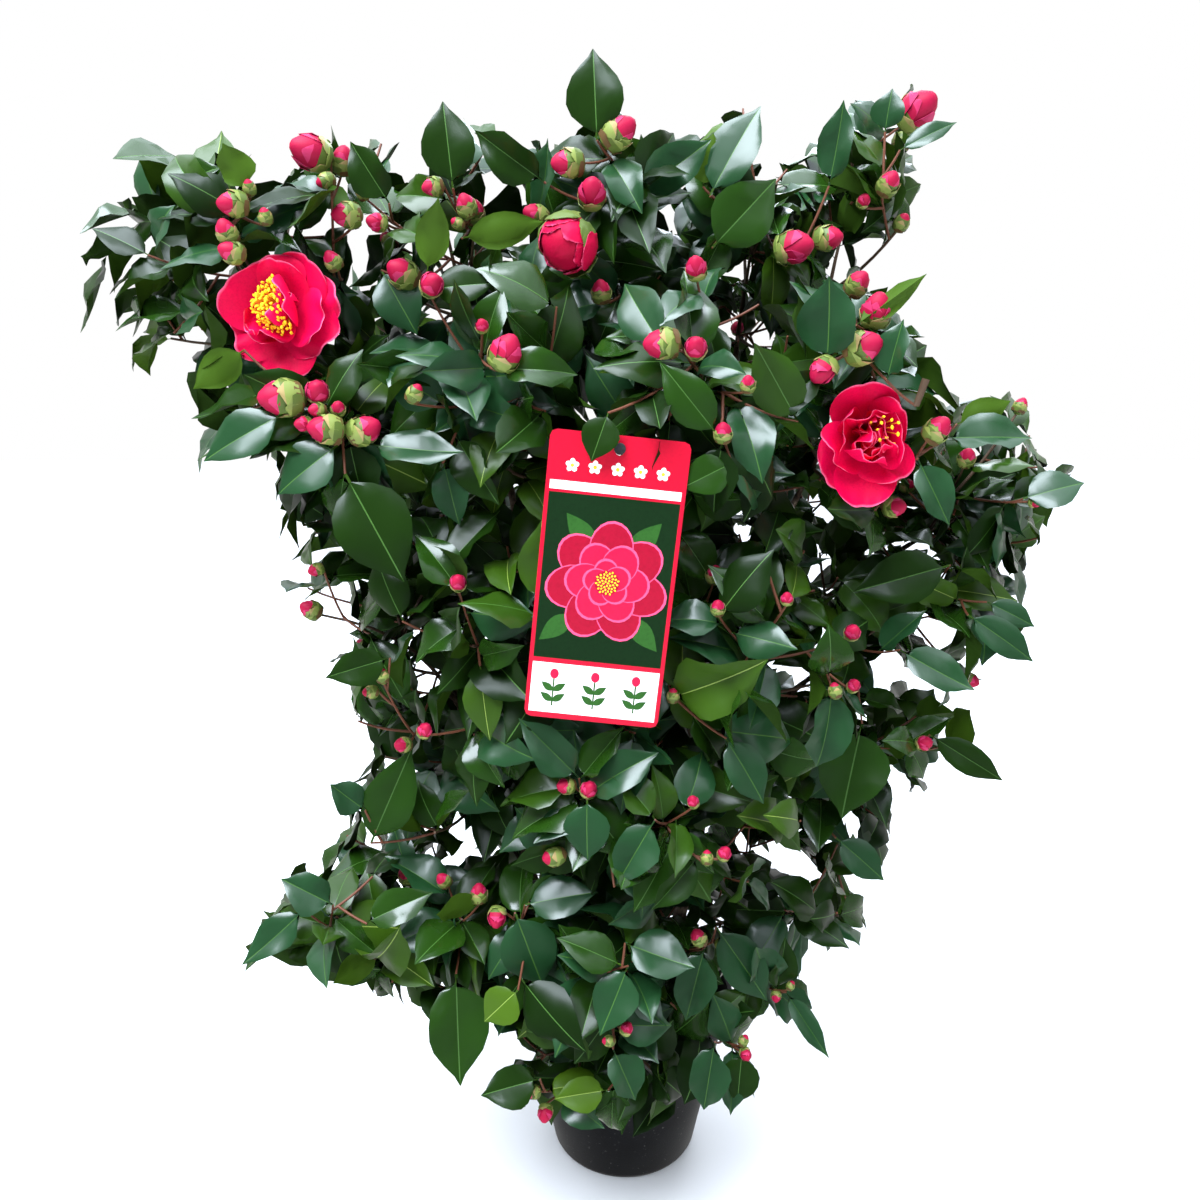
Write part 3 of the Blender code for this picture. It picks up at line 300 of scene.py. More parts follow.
# Moist bark compost is dark and crumbly, with browner fibre.
CRUMBS = (Mottle("#5a4230", 3.5 * MM, 0.42, 0.72, relief=1.0 * MM),)
COMPOST = Finish("bark_compost", "#241811", 0.95, CRUMBS, specular=0.2)
CHIP_FIBRE = {"size": 2 * MM, "relief": 0.3 * MM}
CHIP_DARK = Finish("bark_chip_dark", "#33231a", 0.90, (Mottle("#4d382a", **CHIP_FIBRE),), specular=0.2)
CHIP_BROWN = Finish("bark_chip_brown", "#5b4230", 0.90, (Mottle("#7a5d45", **CHIP_FIBRE),), specular=0.2)
PERLITE = Finish("expanded_perlite", "#d9d4c8", 0.90, (Mottle("#b9b2a4", 1 * MM, relief=0.2 * MM),))


def ink(name: str, colour: str, shade: str) -> Finish:
    """Gives a printing ink under clear gloss film; its faint mottle is the print's own dot gain."""
    return Finish(name, colour, 0.38, (Mottle(shade, 2.5 * MM, 0.45, 0.75, 0.5),), coat=0.05, specular=0.25)


CARD = ink("gloss_card_crimson", "#c2082a", "#ad0624")
INK_COLOURS = {
    "white": ("#f6f1ec", "#e9e2dc"),
    "blush": ("#f0507a", "#e2426c"),
    "rose": ("#dc0f3c", "#c90a34"),
    "wine": ("#a00428", "#87021f"),
    "leaf": ("#2c5a20", "#1f4718"),
    "moss": ("#0f2a10", "#0a1f0b"),
    "gold": ("#f5c02c", "#e8a41d"),
}
INKS = {name: ink("ink_" + name, *colours) for name, colours in INK_COLOURS.items()}
# The hang tie is moulded nylon, smooth and a little waxy.
TIE = Finish("moulded_nylon", "#2b2b2c", 0.45, (Mottle("#38383a", 1.5 * MM, share=0.6),), ior=1.53)
# The floor is matt white board, a little uneven.
FLOOR = Finish("matt_board", "#f4f4f3", 0.90, (Mottle("#efefee", 0.4, 0.40, 0.70, 0.6),), specular=0.1)


# ---------------------------------------------------------------- the bench
def clear_selection() -> None:
    """Goes to object mode with nothing selected."""
    if bpy.context.object is not None and bpy.context.object.mode != "OBJECT":
        bpy.ops.object.mode_set(mode="OBJECT")
    bpy.ops.object.select_all(action="DESELECT")


def activate(piece: Piece) -> None:
    """Selects one object alone and makes it the active one.

    Args:
        piece: The object.
    """
    clear_selection()
    piece.select_set(True)
    bpy.context.view_layer.objects.active = piece


def begin(add: Callable[..., Any], **sizes: Any) -> Piece:
    """Adds a primitive with its sizes and place, nothing else being selected.

    Args:
        add: The operator that adds the primitive.
        **sizes: The operator's sizes and place.

    Returns:
        The primitive's object.
    """
    clear_selection()
    add(**sizes)
    return bpy.context.object


def apply_modifier(piece: Piece, kind: str, **settings: Any) -> None:
    """Adds a modifier of a kind with its settings, and applies it.

    Args:
        piece: The piece.
        kind: The modifier's type, such as "DISPLACE".
        **settings: Its properties.
    """
    activate(piece)
    modifier = piece.modifiers.new(kind.lower(), kind)
    for name, value in settings.items():
        setattr(modifier, name, value)
    bpy.ops.object.modifier_apply(modifier=modifier.name)


def roughen(piece: Piece, name: str, size: float, depth: int, strength: float, **settings: Any) -> None:
    """Raises a cloudy relief on a piece.

    Args:
        piece: The piece.
        name: The relief's name.
        size: How far apart its lumps are.
        depth: How many finer layers lie over them.
        strength: How high it is from its lowest to its highest place.
        **settings: The displacement's other properties.
    """
    clouds = bpy.data.textures.new(name, "CLOUDS")
    clouds.noise_scale = size
    clouds.noise_depth = depth
    settings |= {"texture": clouds, "strength": strength, "mid_level": 0.5, "texture_coords": "LOCAL"}
    apply_modifier(piece, "DISPLACE", **settings)


def join(pieces: Sequence[Piece], name: str) -> Piece:
    """Joins objects into the first of them, and names it.

    Args:
        pieces: The objects.
        name: The name that the joined object gets.

    Returns:
        The joined object.
    """
    activate(pieces[0])
    for piece in pieces:
        piece.select_set(True)
    if len(pieces) > 1:
        bpy.ops.object.join()
    pieces[0].name = name
    return pieces[0]


def settle(piece: Piece) -> Piece:
    """Puts an object's place, turn and size into its mesh.

    Args:
        piece: The object.

    Returns:
        The same object.
    """
    activate(piece)
    bpy.ops.object.transform_apply(location=True, rotation=True, scale=True)
    return piece


def smooth(piece: Piece, degrees: float) -> None:
    """Shades an object smooth up to an angle."""
    activate(piece)
    bpy.ops.object.shade_smooth_by_angle(angle=math.radians(degrees))


def dress(piece: Piece, finish: Finish, degrees: float) -> Piece:
    """Gives a piece one finish, and shades it smooth up to an angle.

    Args:
        piece: The piece.
        finish: Its finish.
        degrees: The angle between faces up to which their edge looks round.

    Returns:
        The same piece.
    """
    piece.data.materials.clear()
    piece.data.materials.append(finish.make())
    smooth(piece, degrees)
    return piece


def hand_over(piece: Piece, nodes: Iterable[str] = ()) -> None:
    """Hands a finished piece to the frame and reports it.

    Args:
        piece: The finished piece, at the origin.
        nodes: The CAD nodes that it stands for.
    """
    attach(piece, "root")
    if nodes:
        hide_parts(*nodes)
    LOG.info("%s: %d faces", piece.name, len(piece.data.polygons))


class Bench:
    """A mesh on the bench, shaped in edit mode by picking points and moving them."""

    def __init__(self, piece: Piece) -> None:
        """Takes a fresh object on to the bench, all of it picked.

        Args:
            piece: The object.
        """
        activate(piece)
        self.piece = piece
        bpy.ops.object.mode_set(mode="EDIT")
        bpy.ops.mesh.select_mode(type="VERT")
        bpy.ops.mesh.select_all(action="SELECT")

    def pick(self, wanted: Callable[[bmesh.types.BMVert], bool]) -> "Bench":
        """Selects the points that a test wants, and no others.

        Args:
            wanted: The test, which is given each point.

        Returns:
            The bench, so that the next call can follow.
        """
        mesh = bmesh.from_edit_mesh(self.piece.data)
        for point in mesh.verts:
            point.select = wanted(point)
        mesh.select_flush_mode()
        bmesh.update_edit_mesh(self.piece.data)
        return self

    def move(self, x: float = 0.0, y: float = 0.0, z: float = 0.0) -> "Bench":
        """Moves what is picked."""
        bpy.ops.transform.translate(value=(x, y, z))
        return self

    def scale(self, x: float = 1.0, y: float = 1.0, z: float = 1.0, about: Place = ORIGIN) -> "Bench":
        """Scales what is picked about a point."""
        bpy.ops.transform.resize(value=(x, y, z), center_override=about)
        return self

    def turn(self, angle: float, axis: str, about: Place = ORIGIN) -> "Bench":
        """Turns what is picked about an axis through a point, by the right-hand rule."""
        bpy.ops.transform.rotate(value=-angle, orient_axis=axis, center_override=about)
        return self

    def close(self, threshold: float = 0.0) -> "Bench":
        """Merges doubles nearer than a threshold, if it is given, and turns all faces outwards.

        Args:
            threshold: How near doubles lie.

        Returns:
            The bench, so that the next call can follow.
        """
        bpy.ops.mesh.select_all(action="SELECT")
        if threshold:
            bpy.ops.mesh.remove_doubles(threshold=threshold)
        bpy.ops.mesh.normals_make_consistent(inside=False)
        return self

    def done(self) -> Piece:
        """Takes the object off the bench."""
        bpy.ops.object.mode_set(mode="OBJECT")
        return self.piece


def lathe(name: str, profile: Sequence[Pair], sides: int) -> Piece:
    """Turns a closed-ended shape up from a circle, ring by ring.

    Args:
        name: The piece's name.
        profile: Radius and height of each ring, starting with the first circle.
        sides: How many points a ring has.

    Returns:
        The turned piece, its two ends filled.
    """
    first, height = profile[0]
    circle = bpy.ops.mesh.primitive_circle_add
    piece = settle(begin(circle, vertices=sides, radius=first, fill_type="NGON", location=(0, 0, height)))
    piece.name = name
    bench = Bench(piece)
    for radius, rise in profile[1:]:
        bpy.ops.mesh.extrude_region_move(TRANSFORM_OT_translate={"value": (0.0, 0.0, rise - height)})
        share = radius / first
        bench.scale(share, share, 1.0, (0.0, 0.0, rise))
        first, height = radius, rise
    return bench.close().done()


@dataclass
class Tube:
    """A run of a tube: its points and the radius at each."""

    points: list[Vector]
    radii: list[float]


def sweep(name: str, tubes: Sequence[Tube], sides: int) -> Piece:
    """Makes tapering tubes with closed ends along lines, as one mesh.

    Args:
        name: The piece's name.
        tubes: The tubes.
        sides: How many sides a tube has.

    Returns:
        The tubes as one mesh object.
    """
    ring = begin(bpy.ops.curve.primitive_bezier_circle_add, radius=1.0)
    ring.data.splines.clear()
    outline = ring.data.splines.new("POLY")
    outline.points.add(sides - 1)
    for index, point in enumerate(outline.points):
        turn = math.tau * index / sides
        point.co = (math.cos(turn), math.sin(turn), 0.0, 1.0)
    outline.use_cyclic_u = True
    curve = bpy.data.curves.new(name, "CURVE")
    curve.dimensions = "3D"
    curve.twist_mode = "MINIMUM"
    curve.bevel_mode = "OBJECT"
    curve.bevel_object = ring
    curve.use_fill_caps = True
    for tube in tubes:
        spline = curve.splines.new("POLY")
        spline.points.add(len(tube.points) - 1)
        for point, place, radius in zip(spline.points, tube.points, tube.radii):
            point.co = (*place, 1.0)
            point.radius = radius
    guide = bpy.data.objects.new(name, curve)
    bpy.context.scene.collection.objects.link(guide)
    activate(guide)
    bpy.ops.object.convert(target="MESH")
    piece = bpy.context.object
    piece.name = name
    Bench(piece).close(0.005 * MM).done()
    bpy.data.objects.remove(ring)
    return piece


# ---------------------------------------------------------------- patterns and bundles
@dataclass
class Pattern:
    """A small mesh that is modelled once and copied many times."""

    points: np.ndarray
    faces: list[tuple[int, ...]]
    parts: list[int]
    along: np.ndarray


def read_pattern(piece: Piece) -> Pattern:
    """Reads a modelled object as a pattern, and removes the object.

    Args:
        piece: The object; its face attribute "part" tells the faces' finishes apart.

    Returns:
        The pattern.
    """
    mesh = piece.data
    points = np.array([v.co for v in mesh.vertices], dtype=float)
    faces = [tuple(face.vertices) for face in mesh.polygons]
    marks, shade = mesh.attributes.get("part"), mesh.attributes.get("along")
    parts = [int(value.value) for value in marks.data] if marks else [0] * len(faces)
    along = np.array([v.value for v in shade.data]) if shade else np.zeros(len(points))
    bpy.data.objects.remove(piece)
    return Pattern(points, faces, parts, along)


class Bundle:
    """Copies of patterns, each with its own points, joined into one piece."""

    def __init__(self, name: str, finishes: Sequence[bpy.types.Material]) -> None:
        """Starts an empty bundle with a name and its material slots, in order.

        Args:
            name: The name of the piece that it becomes.
            finishes: Its materials, by slot.
        """
        self.name, self.finishes = name, finishes
        self.points: list[np.ndarray] = []
        self.faces: list[tuple[int, ...]] = []
        self.slots: list[int] = []
        self.along: list[np.ndarray] = []
        self.count = 0

    def add(self, pattern: Pattern, turn: Matrix, place: Vector, slots: Sequence[int]) -> None:
        """Adds one copy of a pattern.

        Args:
            pattern: What is copied.
            turn: The copy's turn and size, as a 3 by 3 matrix.
            place: Where its origin goes.
            slots: The material slot for each of the pattern's parts.
        """
        moved = pattern.points @ np.array(turn).T + np.array(place)
        self.points.append(moved)
        self.along.append(pattern.along)
        self.faces += [tuple(self.count + index for index in face) for face in pattern.faces]
        self.slots += [slots[part] for part in pattern.parts]
        self.count += len(moved)

    def build(self, degrees: float) -> Piece:
        """Makes the joined piece, smooth up to an angle.

        Args:
            degrees: The angle between faces up to which their edge looks round.

        Returns:
            The piece.
        """
        mesh = bpy.data.meshes.new(self.name)
        mesh.from_pydata(np.concatenate(self.points).tolist(), [], self.faces)
        for finish in self.finishes:
            mesh.materials.append(finish)
        mesh.polygons.foreach_set("material_index", self.slots)
        shade = mesh.attributes.new("along", "FLOAT", "POINT")
        shade.data.foreach_set("value", np.concatenate(self.along))
        piece = bpy.data.objects.new(self.name, mesh)
        bpy.context.scene.collection.objects.link(piece)
        smooth(piece, degrees)
        return piece


def aim_frame(axis: Vector, normal: Vector) -> Matrix:
    """Gives the turn whose Y runs along an axis and whose Z is nearest to a normal.

    Args:
        axis: The way that the thing points.
        normal: The way that its upper side looks.

    Returns:
        A 3 by 3 rotation.
    """
    ahead = axis.normalized()
    side = ahead.cross(normal)
    side = side.normalized() if side.length > 1e-6 else ahead.orthogonal().normalized()
    return Matrix((side, ahead, side.cross(ahead))).transposed()


def box_at(middle: Vector, axis: Vector, normal: Vector, size: Place) -> Matrix:
    """Gives the matrix that turns a unit cube into a box, from its middle, Y and Z axes and size."""
    return Matrix.Translation(middle) @ aim_frame(axis, normal).to_4x4() @ Matrix.Diagonal((*size, 1.0))


def stand_along(way: Vector) -> Matrix:
    """Gives the turn that points +Z along a way."""
    return UP.rotation_difference(way).to_matrix()


# ---------------------------------------------------------------- the view
@dataclass(frozen=True)
class Viewpoint:
    """Where the camera stands, and how it sees: level frame, tipped down a little.

    The focal length and the frame's side are in pixels, and the sensor's width is in millimetres.
    """

    place: Place = (-0.026, -0.944, 0.785)
    pitch: float = math.radians(12.0)
    focal: float = 1000.0
    frame: float = 1200.0
    sensor: float = 36.0

    def axes(self) -> tuple[Vector, Vector]:
        """Gives the way that the camera looks, and the way that its frame's top lies."""
        level, steep = math.cos(self.pitch), math.sin(self.pitch)
        return Vector((0.0, level, -steep)), Vector((0.0, steep, level))

    def ray(self, across: float, down: float) -> Vector:
        """Gives the direction in which the camera sees a place of its frame.

        Args:
            across: Pixels from the frame's left edge, of 1200.
            down: Pixels from its top edge, of 1200.

        Returns:
            The unit direction.
        """
        ahead, up = self.axes()
        right = (across - self.frame / 2.0) / self.focal
        lift = (self.frame / 2.0 - down) / self.focal
        return (ahead + Vector((right, 0.0, 0.0)) + up * lift).normalized()

    def project(self, place: Vector) -> Pair:
        """Gives where the camera sees a place: pixels from the frame's left and top edges.

        Args:
            place: The place.

        Returns:
            Pixels from the frame's left edge and from its top edge, of 1200.
        """
        ahead, up = self.axes()
        out = place - Vector(self.place)
        scale = self.focal / out.dot(ahead)
        return self.frame / 2.0 + out.x * scale, self.frame / 2.0 - out.dot(up) * scale

    def span(self, pixels: float, place: Vector) -> float:
        """Gives how wide a number of pixels is at a place."""
        return pixels * (place - Vector(self.place)).dot(self.axes()[0]) / self.focal

    def build(self) -> None:
        """Adds the camera and makes it the scene's own."""
        lens = bpy.data.cameras.new("camera")
        lens.sensor_width = self.sensor
        lens.lens = self.sensor * self.focal / self.frame
        camera = bpy.data.objects.new("camera", lens)
        camera.location = self.place
        camera.rotation_euler = (math.radians(90.0) - self.pitch, 0.0, 0.0)
        bpy.context.scene.collection.objects.link(camera)
        bpy.context.scene.camera = camera


@dataclass(frozen=True)
class BudMark:
    """A bud that shows: its middle in the frame, its length in millimetres, its turn and stage.

    The turn is the way it points in the frame, in degrees anticlockwise from the right, and ahead
    is how much it points at the viewer besides.
    """

    across: float
    down: float
    length: float
    turn: float
    ahead: float = 0.3
    stage: str = "showing"


@dataclass(frozen=True)
class LeafMark:
    """A leaf that makes the outline: its foot and tip in the frame, its width there and its tint.

    Where ahead is given, the leaf hangs in front of the label, at that place along the depth.
    """

    foot: Pair
    tip: Pair
    width: float
    tint: str = "COOL"
    lower_side: bool = False
    ahead: float | None = None


@dataclass(frozen=True)
class SkyMark:
    """A round place in the frame where the sky shows, beside the crown or through it."""

    across: float
    down: float
    radius: float


# Sky round the crown, clockwise from its top left, and then the gaps in it from the top down.
SKY_MARKS = tuple(
    SkyMark(*mark)
    for mark in (
        (160, 96, 46), (212, 94, 46), (265, 116, 38), (272, 166, 20), (310, 98, 36), (360, 105, 36),
        (345, 128, 12), (400, 85, 45), (405, 122, 22), (408, 162, 16), (445, 68, 32), (485, 92, 34),
        (520, 96, 34), (560, 122, 18), (540, 66, 38), (590, 18, 26), (630, 38, 22), (652, 76, 31),
        (655, 108, 20), (623, 66, 12), (692, 84, 44), (745, 68, 36), (797, 114, 34), (840, 74, 28),
        (890, 60, 26), (935, 64, 24), (966, 92, 28), (946, 162, 33), (936, 216, 26), (927, 250, 30),
        (872, 262, 16), (947, 320, 26), (947, 362, 23), (905, 311, 10), (962, 380, 22), (980, 370, 26),
        (1014, 374, 22), (1052, 388, 32), (1060, 428, 28), (1090, 412, 34), (1108, 452, 26),
        (1113, 484, 27), (1082, 526, 30), (1062, 572, 33), (1068, 618, 30), (945, 628, 12),
        (985, 665, 16), (1016, 684, 28), (886, 668, 16), (915, 683, 14), (941, 698, 10),
        (1002, 722, 30), (946, 776, 13), (968, 802, 24), (930, 826, 32), (905, 812, 18), (890, 772, 9),
        (918, 862, 30), (790, 862, 16), (768, 850, 8), (856, 880, 9), (907, 892, 23), (902, 928, 28),
        (882, 948, 20), (832, 976, 26), (866, 966, 22), (834, 1014, 24), (815, 950, 8),
        (775, 1032, 12), (778, 1058, 22), (788, 1084, 25), (764, 1108, 16), (725, 1050, 8),
        (733, 972, 8), (530, 1130, 11), (492, 1046, 16), (480, 1076, 10), (506, 1064, 8),
        (450, 1100, 22), (330, 1018, 30), (385, 1032, 26), (418, 1034, 22), (400, 1005, 10),
        (350, 1000, 14), (300, 992, 24), (268, 990, 26), (280, 970, 17), (234, 924, 16),
        (226, 952, 20), (256, 886, 24), (250, 856, 36), (290, 838, 27), (320, 850, 13), (300, 798, 42),
        (325, 745, 32), (350, 745, 14), (345, 765, 14), (338, 718, 18), (308, 694, 26), (290, 664, 30),
        (342, 625, 19), (308, 628, 28), (268, 606, 28), (340, 585, 8), (258, 562, 22), (245, 482, 29),
        (248, 524, 24), (262, 548, 12), (212, 478, 26), (165, 378, 30), (160, 424, 36), (182, 346, 12),
        (184, 442, 12), (250, 470, 10), (330, 222, 12), (366, 236, 16), (386, 224, 9), (366, 258, 8),
        (447, 232, 12), (441, 262, 8), (495, 200, 14), (478, 185, 10), (511, 196, 8), (441, 312, 11),
        (500, 240, 7), (745, 271, 11), (728, 322, 13), (762, 334, 12), (750, 346, 8), (775, 150, 16),
        (757, 180, 8), (840, 262, 10), (870, 222, 8), (745, 534, 9), (822, 572, 13), (815, 500, 8),
        (825, 630, 7), (772, 662, 9), (800, 682, 9), (703, 830, 6), (740, 842, 5), (458, 838, 8),
        (475, 842, 7), (418, 672, 8), (437, 681, 6), (415, 628, 5),
    )
)


# The side of a cell of the frame, in pixels.
SKY_CELL = 60.0


@dataclass
class Cells:
    """Things that are found by their place, through square or cubic cells."""

    side: float
    held: dict[tuple[int, ...], list[Any]] = field(default_factory=dict)

    def reached(self, low: Sequence[float], high: Sequence[float]) -> Iterable[tuple[int, ...]]:
        """Gives the cells that a box reaches into."""
        spans = [range(math.floor(a / self.side), math.floor(b / self.side) + 1) for a, b in zip(low, high)]
        return itertools.product(*spans)

    def put(self, thing: Any, low: Sequence[float], high: Sequence[float]) -> None:
        """Keeps a thing in every cell that its box reaches into."""
        for cell in self.reached(low, high):
            self.held.setdefault(cell, []).append(thing)

    def near(self, low: Sequence[float], high: Sequence[float]) -> Iterable[Any]:
        """Gives the things in the cells that a box reaches into."""
        return (thing for cell in self.reached(low, high) for thing in self.held.get(cell, ()))


class Sky:
    """The sky that the view must keep, found by its place in the frame."""

    def __init__(self, view: Viewpoint) -> None:
        """Sorts the marks of a view into cells of its frame.

        Args:
            view: The view.
        """
        self.view = view
        self.cells = Cells(SKY_CELL)
        for mark in SKY_MARKS:
            middle, reach = Vector((mark.across, mark.down)), Vector((mark.radius, mark.radius))
            self.cells.put(mark, middle - reach, middle + reach)

    def is_covered(self, outline: Sequence[Vector]) -> bool:
        """Tells whether a flat shape, given by its outline in order, would hide marked sky."""
        points = [Vector(self.view.project(point)) for point in outline]
        return any(self.hides(points, mark) for mark in set(self.cells.near(*box_of(points))))

    def hides(self, points: list[Vector], mark: SkyMark) -> bool:
        """Tells whether an outline in the frame reaches into a mark, or has it inside.

        Args:
            points: The outline, in pixels of the frame.
            mark: The mark.

        Returns:
            Whether it does.
        """
        middle = Vector((mark.across, mark.down))
        inside = False
        for a, b in zip(points, points[1:] + points[:1]):
            near, share = intersect_point_line(middle, a, b)
            if share <= 0.0 or share >= 1.0:
                near = a if share <= 0.0 else b
            if (near.to_2d() - middle).length < mark.radius:
                return True
            if (a.y > middle.y) != (b.y > middle.y):
                inside ^= middle.x < a.x + (middle.y - a.y) * (b.x - a.x) / (b.y - a.y)
        return inside


def box_of(points: Sequence[Vector]) -> tuple[tuple[float, ...], tuple[float, ...]]:
    """Gives the lowest and highest corner of some points' box."""
    columns = list(zip(*points))
    return tuple(min(column) for column in columns), tuple(max(column) for column in columns)


# ---------------------------------------------------------------- plan of the crown
@dataclass
class Mass:
    """A space for foliage: an ellipsoid, the limb that feeds it, and how full it is."""

    name: str
    centre: Place
    radii: Place
    leaves: int
    leader: Place
    entry: Vector = field(default_factory=Vector)
    heading: Vector = field(default_factory=Vector)
    walls: list[tuple[Vector, float]] = field(default_factory=list)

    def support(self, way: Vector) -> float:
        """Gives how far the ellipsoid reaches from its centre along a unit direction."""
        return math.sqrt(sum((r * d) ** 2 for r, d in zip(self.radii, way)))

    def depth(self, point: Vector) -> float:
        """Gives about how far inside the space a point lies, negative outside it.

        Args:
            point: The point.

        Returns:
            How deep it lies.
        """
        scaled = Vector([(p - c) / r for p, c, r in zip(point, self.centre, self.radii)])
        inside = (1.0 - scaled.length) * min(self.radii)
        return min([inside, *[offset - point.dot(normal) for normal, offset in self.walls]])

    def holds(self, point: Vector, skin: float) -> bool:
        """Tells whether a point is inside the space, or no further than a skin outside it.

        Args:
            point: The point.
            skin: How far outside it may be.

        Returns:
            Whether the space holds it.
        """
        limit = 1.0 + skin / min(self.radii)
        if sum(((p - c) / r) ** 2 for p, c, r in zip(point, self.centre, self.radii)) > limit * limit:
            return False
        return all(point.dot(normal) <= offset + skin for normal, offset in self.walls)

    def sighted(self, eye: Vector, way: Vector) -> float:
        """Gives how far along a sight line the space's front is, or infinity where it is missed.

        Args:
            eye: Where the line starts.
            way: Its unit direction.

        Returns:
            The distance.
        """
        start = Vector([(e - c) / r for e, c, r in zip(eye, self.centre, self.radii)])
        step = Vector([w / r for w, r in zip(way, self.radii)])
        half, square = start.dot(step), step.dot(step)
        left = half * half - square * (start.dot(start) - 1.0)
        return (-half - math.sqrt(left)) / square if left > 0.0 else math.inf


@dataclass
class Limb:
    """One tapering limb: a stem with a foot in the compost, or a bough with a parent."""

    name: str
    mass: str
    foot: tuple[float, ...] = ()
    parent: str = ""
    share: float = 0.0
    points: list[Vector] = field(default_factory=list)
    radii: list[float] = field(default_factory=list)

    def radius_at(self, share: float) -> float:
        """Gives the limb's radius at a share of its points.

        Args:
            share: From 0 at the root to 1 at the tip.

        Returns:
            The radius.
        """
        place = share * (len(self.radii) - 1)
        low = min(int(place), len(self.radii) - 2)
        return self.radii[low] + (self.radii[low + 1] - self.radii[low]) * (place - low)


def along(points: Sequence[Vector], share: float) -> tuple[Vector, Vector]:
    """Gives the point and direction at a share of a line's length.

    Args:
        points: The line's points.
        share: From 0 at its start to 1 at its end.

    Returns:
        The point, and the line's unit direction there.
    """
    lengths = [(b - a).length for a, b in zip(points, points[1:])]
    left = share * sum(lengths)
    for a, b, length in zip(points, points[1:], lengths):
        if left <= length:
            return a.lerp(b, left / length), (b - a).normalized()
        left -= length
    return points[-1].copy(), (points[-1] - points[-2]).normalized()


def bezier(start: Vector, leave: Vector, arrive: Vector, end: Vector, count: int) -> list[Vector]:
    """Gives points of a cubic curve that leaves and arrives along two directions.

    Args:
        start: Where it starts.
        leave: The direction in which it leaves.
        arrive: The direction in which it arrives.
        end: Where it ends.
        count: How many points it has.

    Returns:
        The points.
    """
    reach = (end - start).length * 0.38
    first = start + leave.normalized() * reach
    second = end - arrive.normalized() * reach
    points = []
    for step in range(count):
        t = step / (count - 1)
        s = 1.0 - t
        points.append(start * s**3 + first * 3 * s * s * t + second * 3 * s * t * t + end * t**3)
    return points


@dataclass
class CrownPlan:
    """The crown's masses and limbs, laid out as the solids are."""

    soil_level: float = 0.148
    clear: float = 0.0003
    space_margin: float = 0.0008
    stem_foot_radius: float = 0.0070
    stem_tip_radius: float = 0.0024
    stem_flare: float = 1.32
    flare_height: float = 0.016
    bough_tip_radius: float = 0.0021
    bough_share: float = 0.72
    # How far from its mass's centre a limb ends, as a share of the mass's reach, and its taper.
    limb_reach: float = 0.62
    taper: float = 0.8
    stem_outwards: float = 0.30
    stem_to_mass: float = 0.25
    bough_ahead: float = 0.75
    lead_share: float = 0.35
    stem_rings: int = 7
    bough_rings: int = 5
    masses: dict[str, Mass] = field(default_factory=dict)
    limbs: dict[str, Limb] = field(default_factory=dict)

    def lay_out(self) -> None:
        """Parts the masses' spaces by walls, and runs each limb to its mass."""
        for name, centre, radii, leaves, leader in MASS_ROWS:
            self.masses[name] = Mass(name, from_mm(centre), from_mm(radii), leaves, leader)
        for mass in self.masses.values():
            mass.walls = self.walls_of(mass)
        limbs = [Limb("stem_" + name, mass, from_mm(foot)) for name, mass, *foot in STEM_ROWS]
        limbs += [Limb("bough_" + mass, mass, (), "stem_" + stem, share) for mass, stem, share in BOUGH_ROWS]
        for limb in limbs:
            self.run_limb(limb)
            self.limbs[limb.name] = limb

    def walls_of(self, mass: Mass) -> list[tuple[Vector, float]]:
        """Gives the planes that part a mass from its neighbours, as normals and offsets.

        Args:
            mass: The mass.

        Returns:
            Each wall's outward unit normal, and how far out along it the wall stands.
        """
        walls = []
        for other in self.masses.values():
            across = Vector(other.centre) - Vector(mass.centre)
            apart = across.length
            if apart < 1e-6:
                continue
            normal = across.normalized()
            own, others = mass.support(normal), other.support(normal)
            if own + others > apart:
                offset = Vector(mass.centre).dot(normal) + apart * own / (own + others)
                walls.append((normal, offset - self.space_margin))
        return walls

    def run_limb(self, limb: Limb) -> None:
        """Works out the line and taper of a limb whose parent is laid out, and where its mass begins.

        Args:
            limb: The limb, which gets its points and radii.
        """
        mass = self.masses[limb.mass]
        centre = Vector(mass.centre)
        if limb.foot:
            start = Vector((*limb.foot, self.soil_level + self.clear))
            leave = UP + outward(start) * self.stem_outwards + outward(centre) * self.stem_to_mass
            count, base, tip = self.stem_rings, self.stem_foot_radius, self.stem_tip_radius
        else:
            parent = self.limbs[limb.parent]
            start, heading = along(parent.points, limb.share)
            leave = heading * self.bough_ahead + (centre - start).normalized()
            count, tip = self.bough_rings, self.bough_tip_radius
            base = self.bough_share * parent.radius_at(limb.share)
        approach = (centre - start).normalized()
        entry = centre - approach * mass.support(approach) * self.limb_reach
        arrive = approach + Vector(mass.leader).normalized() * self.lead_share
        limb.points = bezier(start, leave, arrive, entry, count)
        steps = len(limb.points) - 1
        limb.radii = [base * (1 - i / steps) ** self.taper + tip * i / steps for i in range(steps + 1)]
        mass.entry = entry
        mass.heading = (limb.points[-1] - limb.points[-2]).normalized()

    def tube_of(self, limb: Limb) -> Tube:
        """Gives a limb's tube; a stem's has two more rings, for its root flare.

        Args:
            limb: The limb.

        Returns:
            The tube.
        """
        points, radii = list(limb.points), list(limb.radii)
        if limb.foot:
            rise = along(points, 0.02)[1]
            points[1:1] = [points[0] + rise * self.flare_height * 0.4, points[0] + rise * self.flare_height]
            radii[0:1] = [radii[0] * self.stem_flare, radii[0] * (0.35 * self.stem_flare + 0.65), radii[0]]
        return Tube(points, radii)


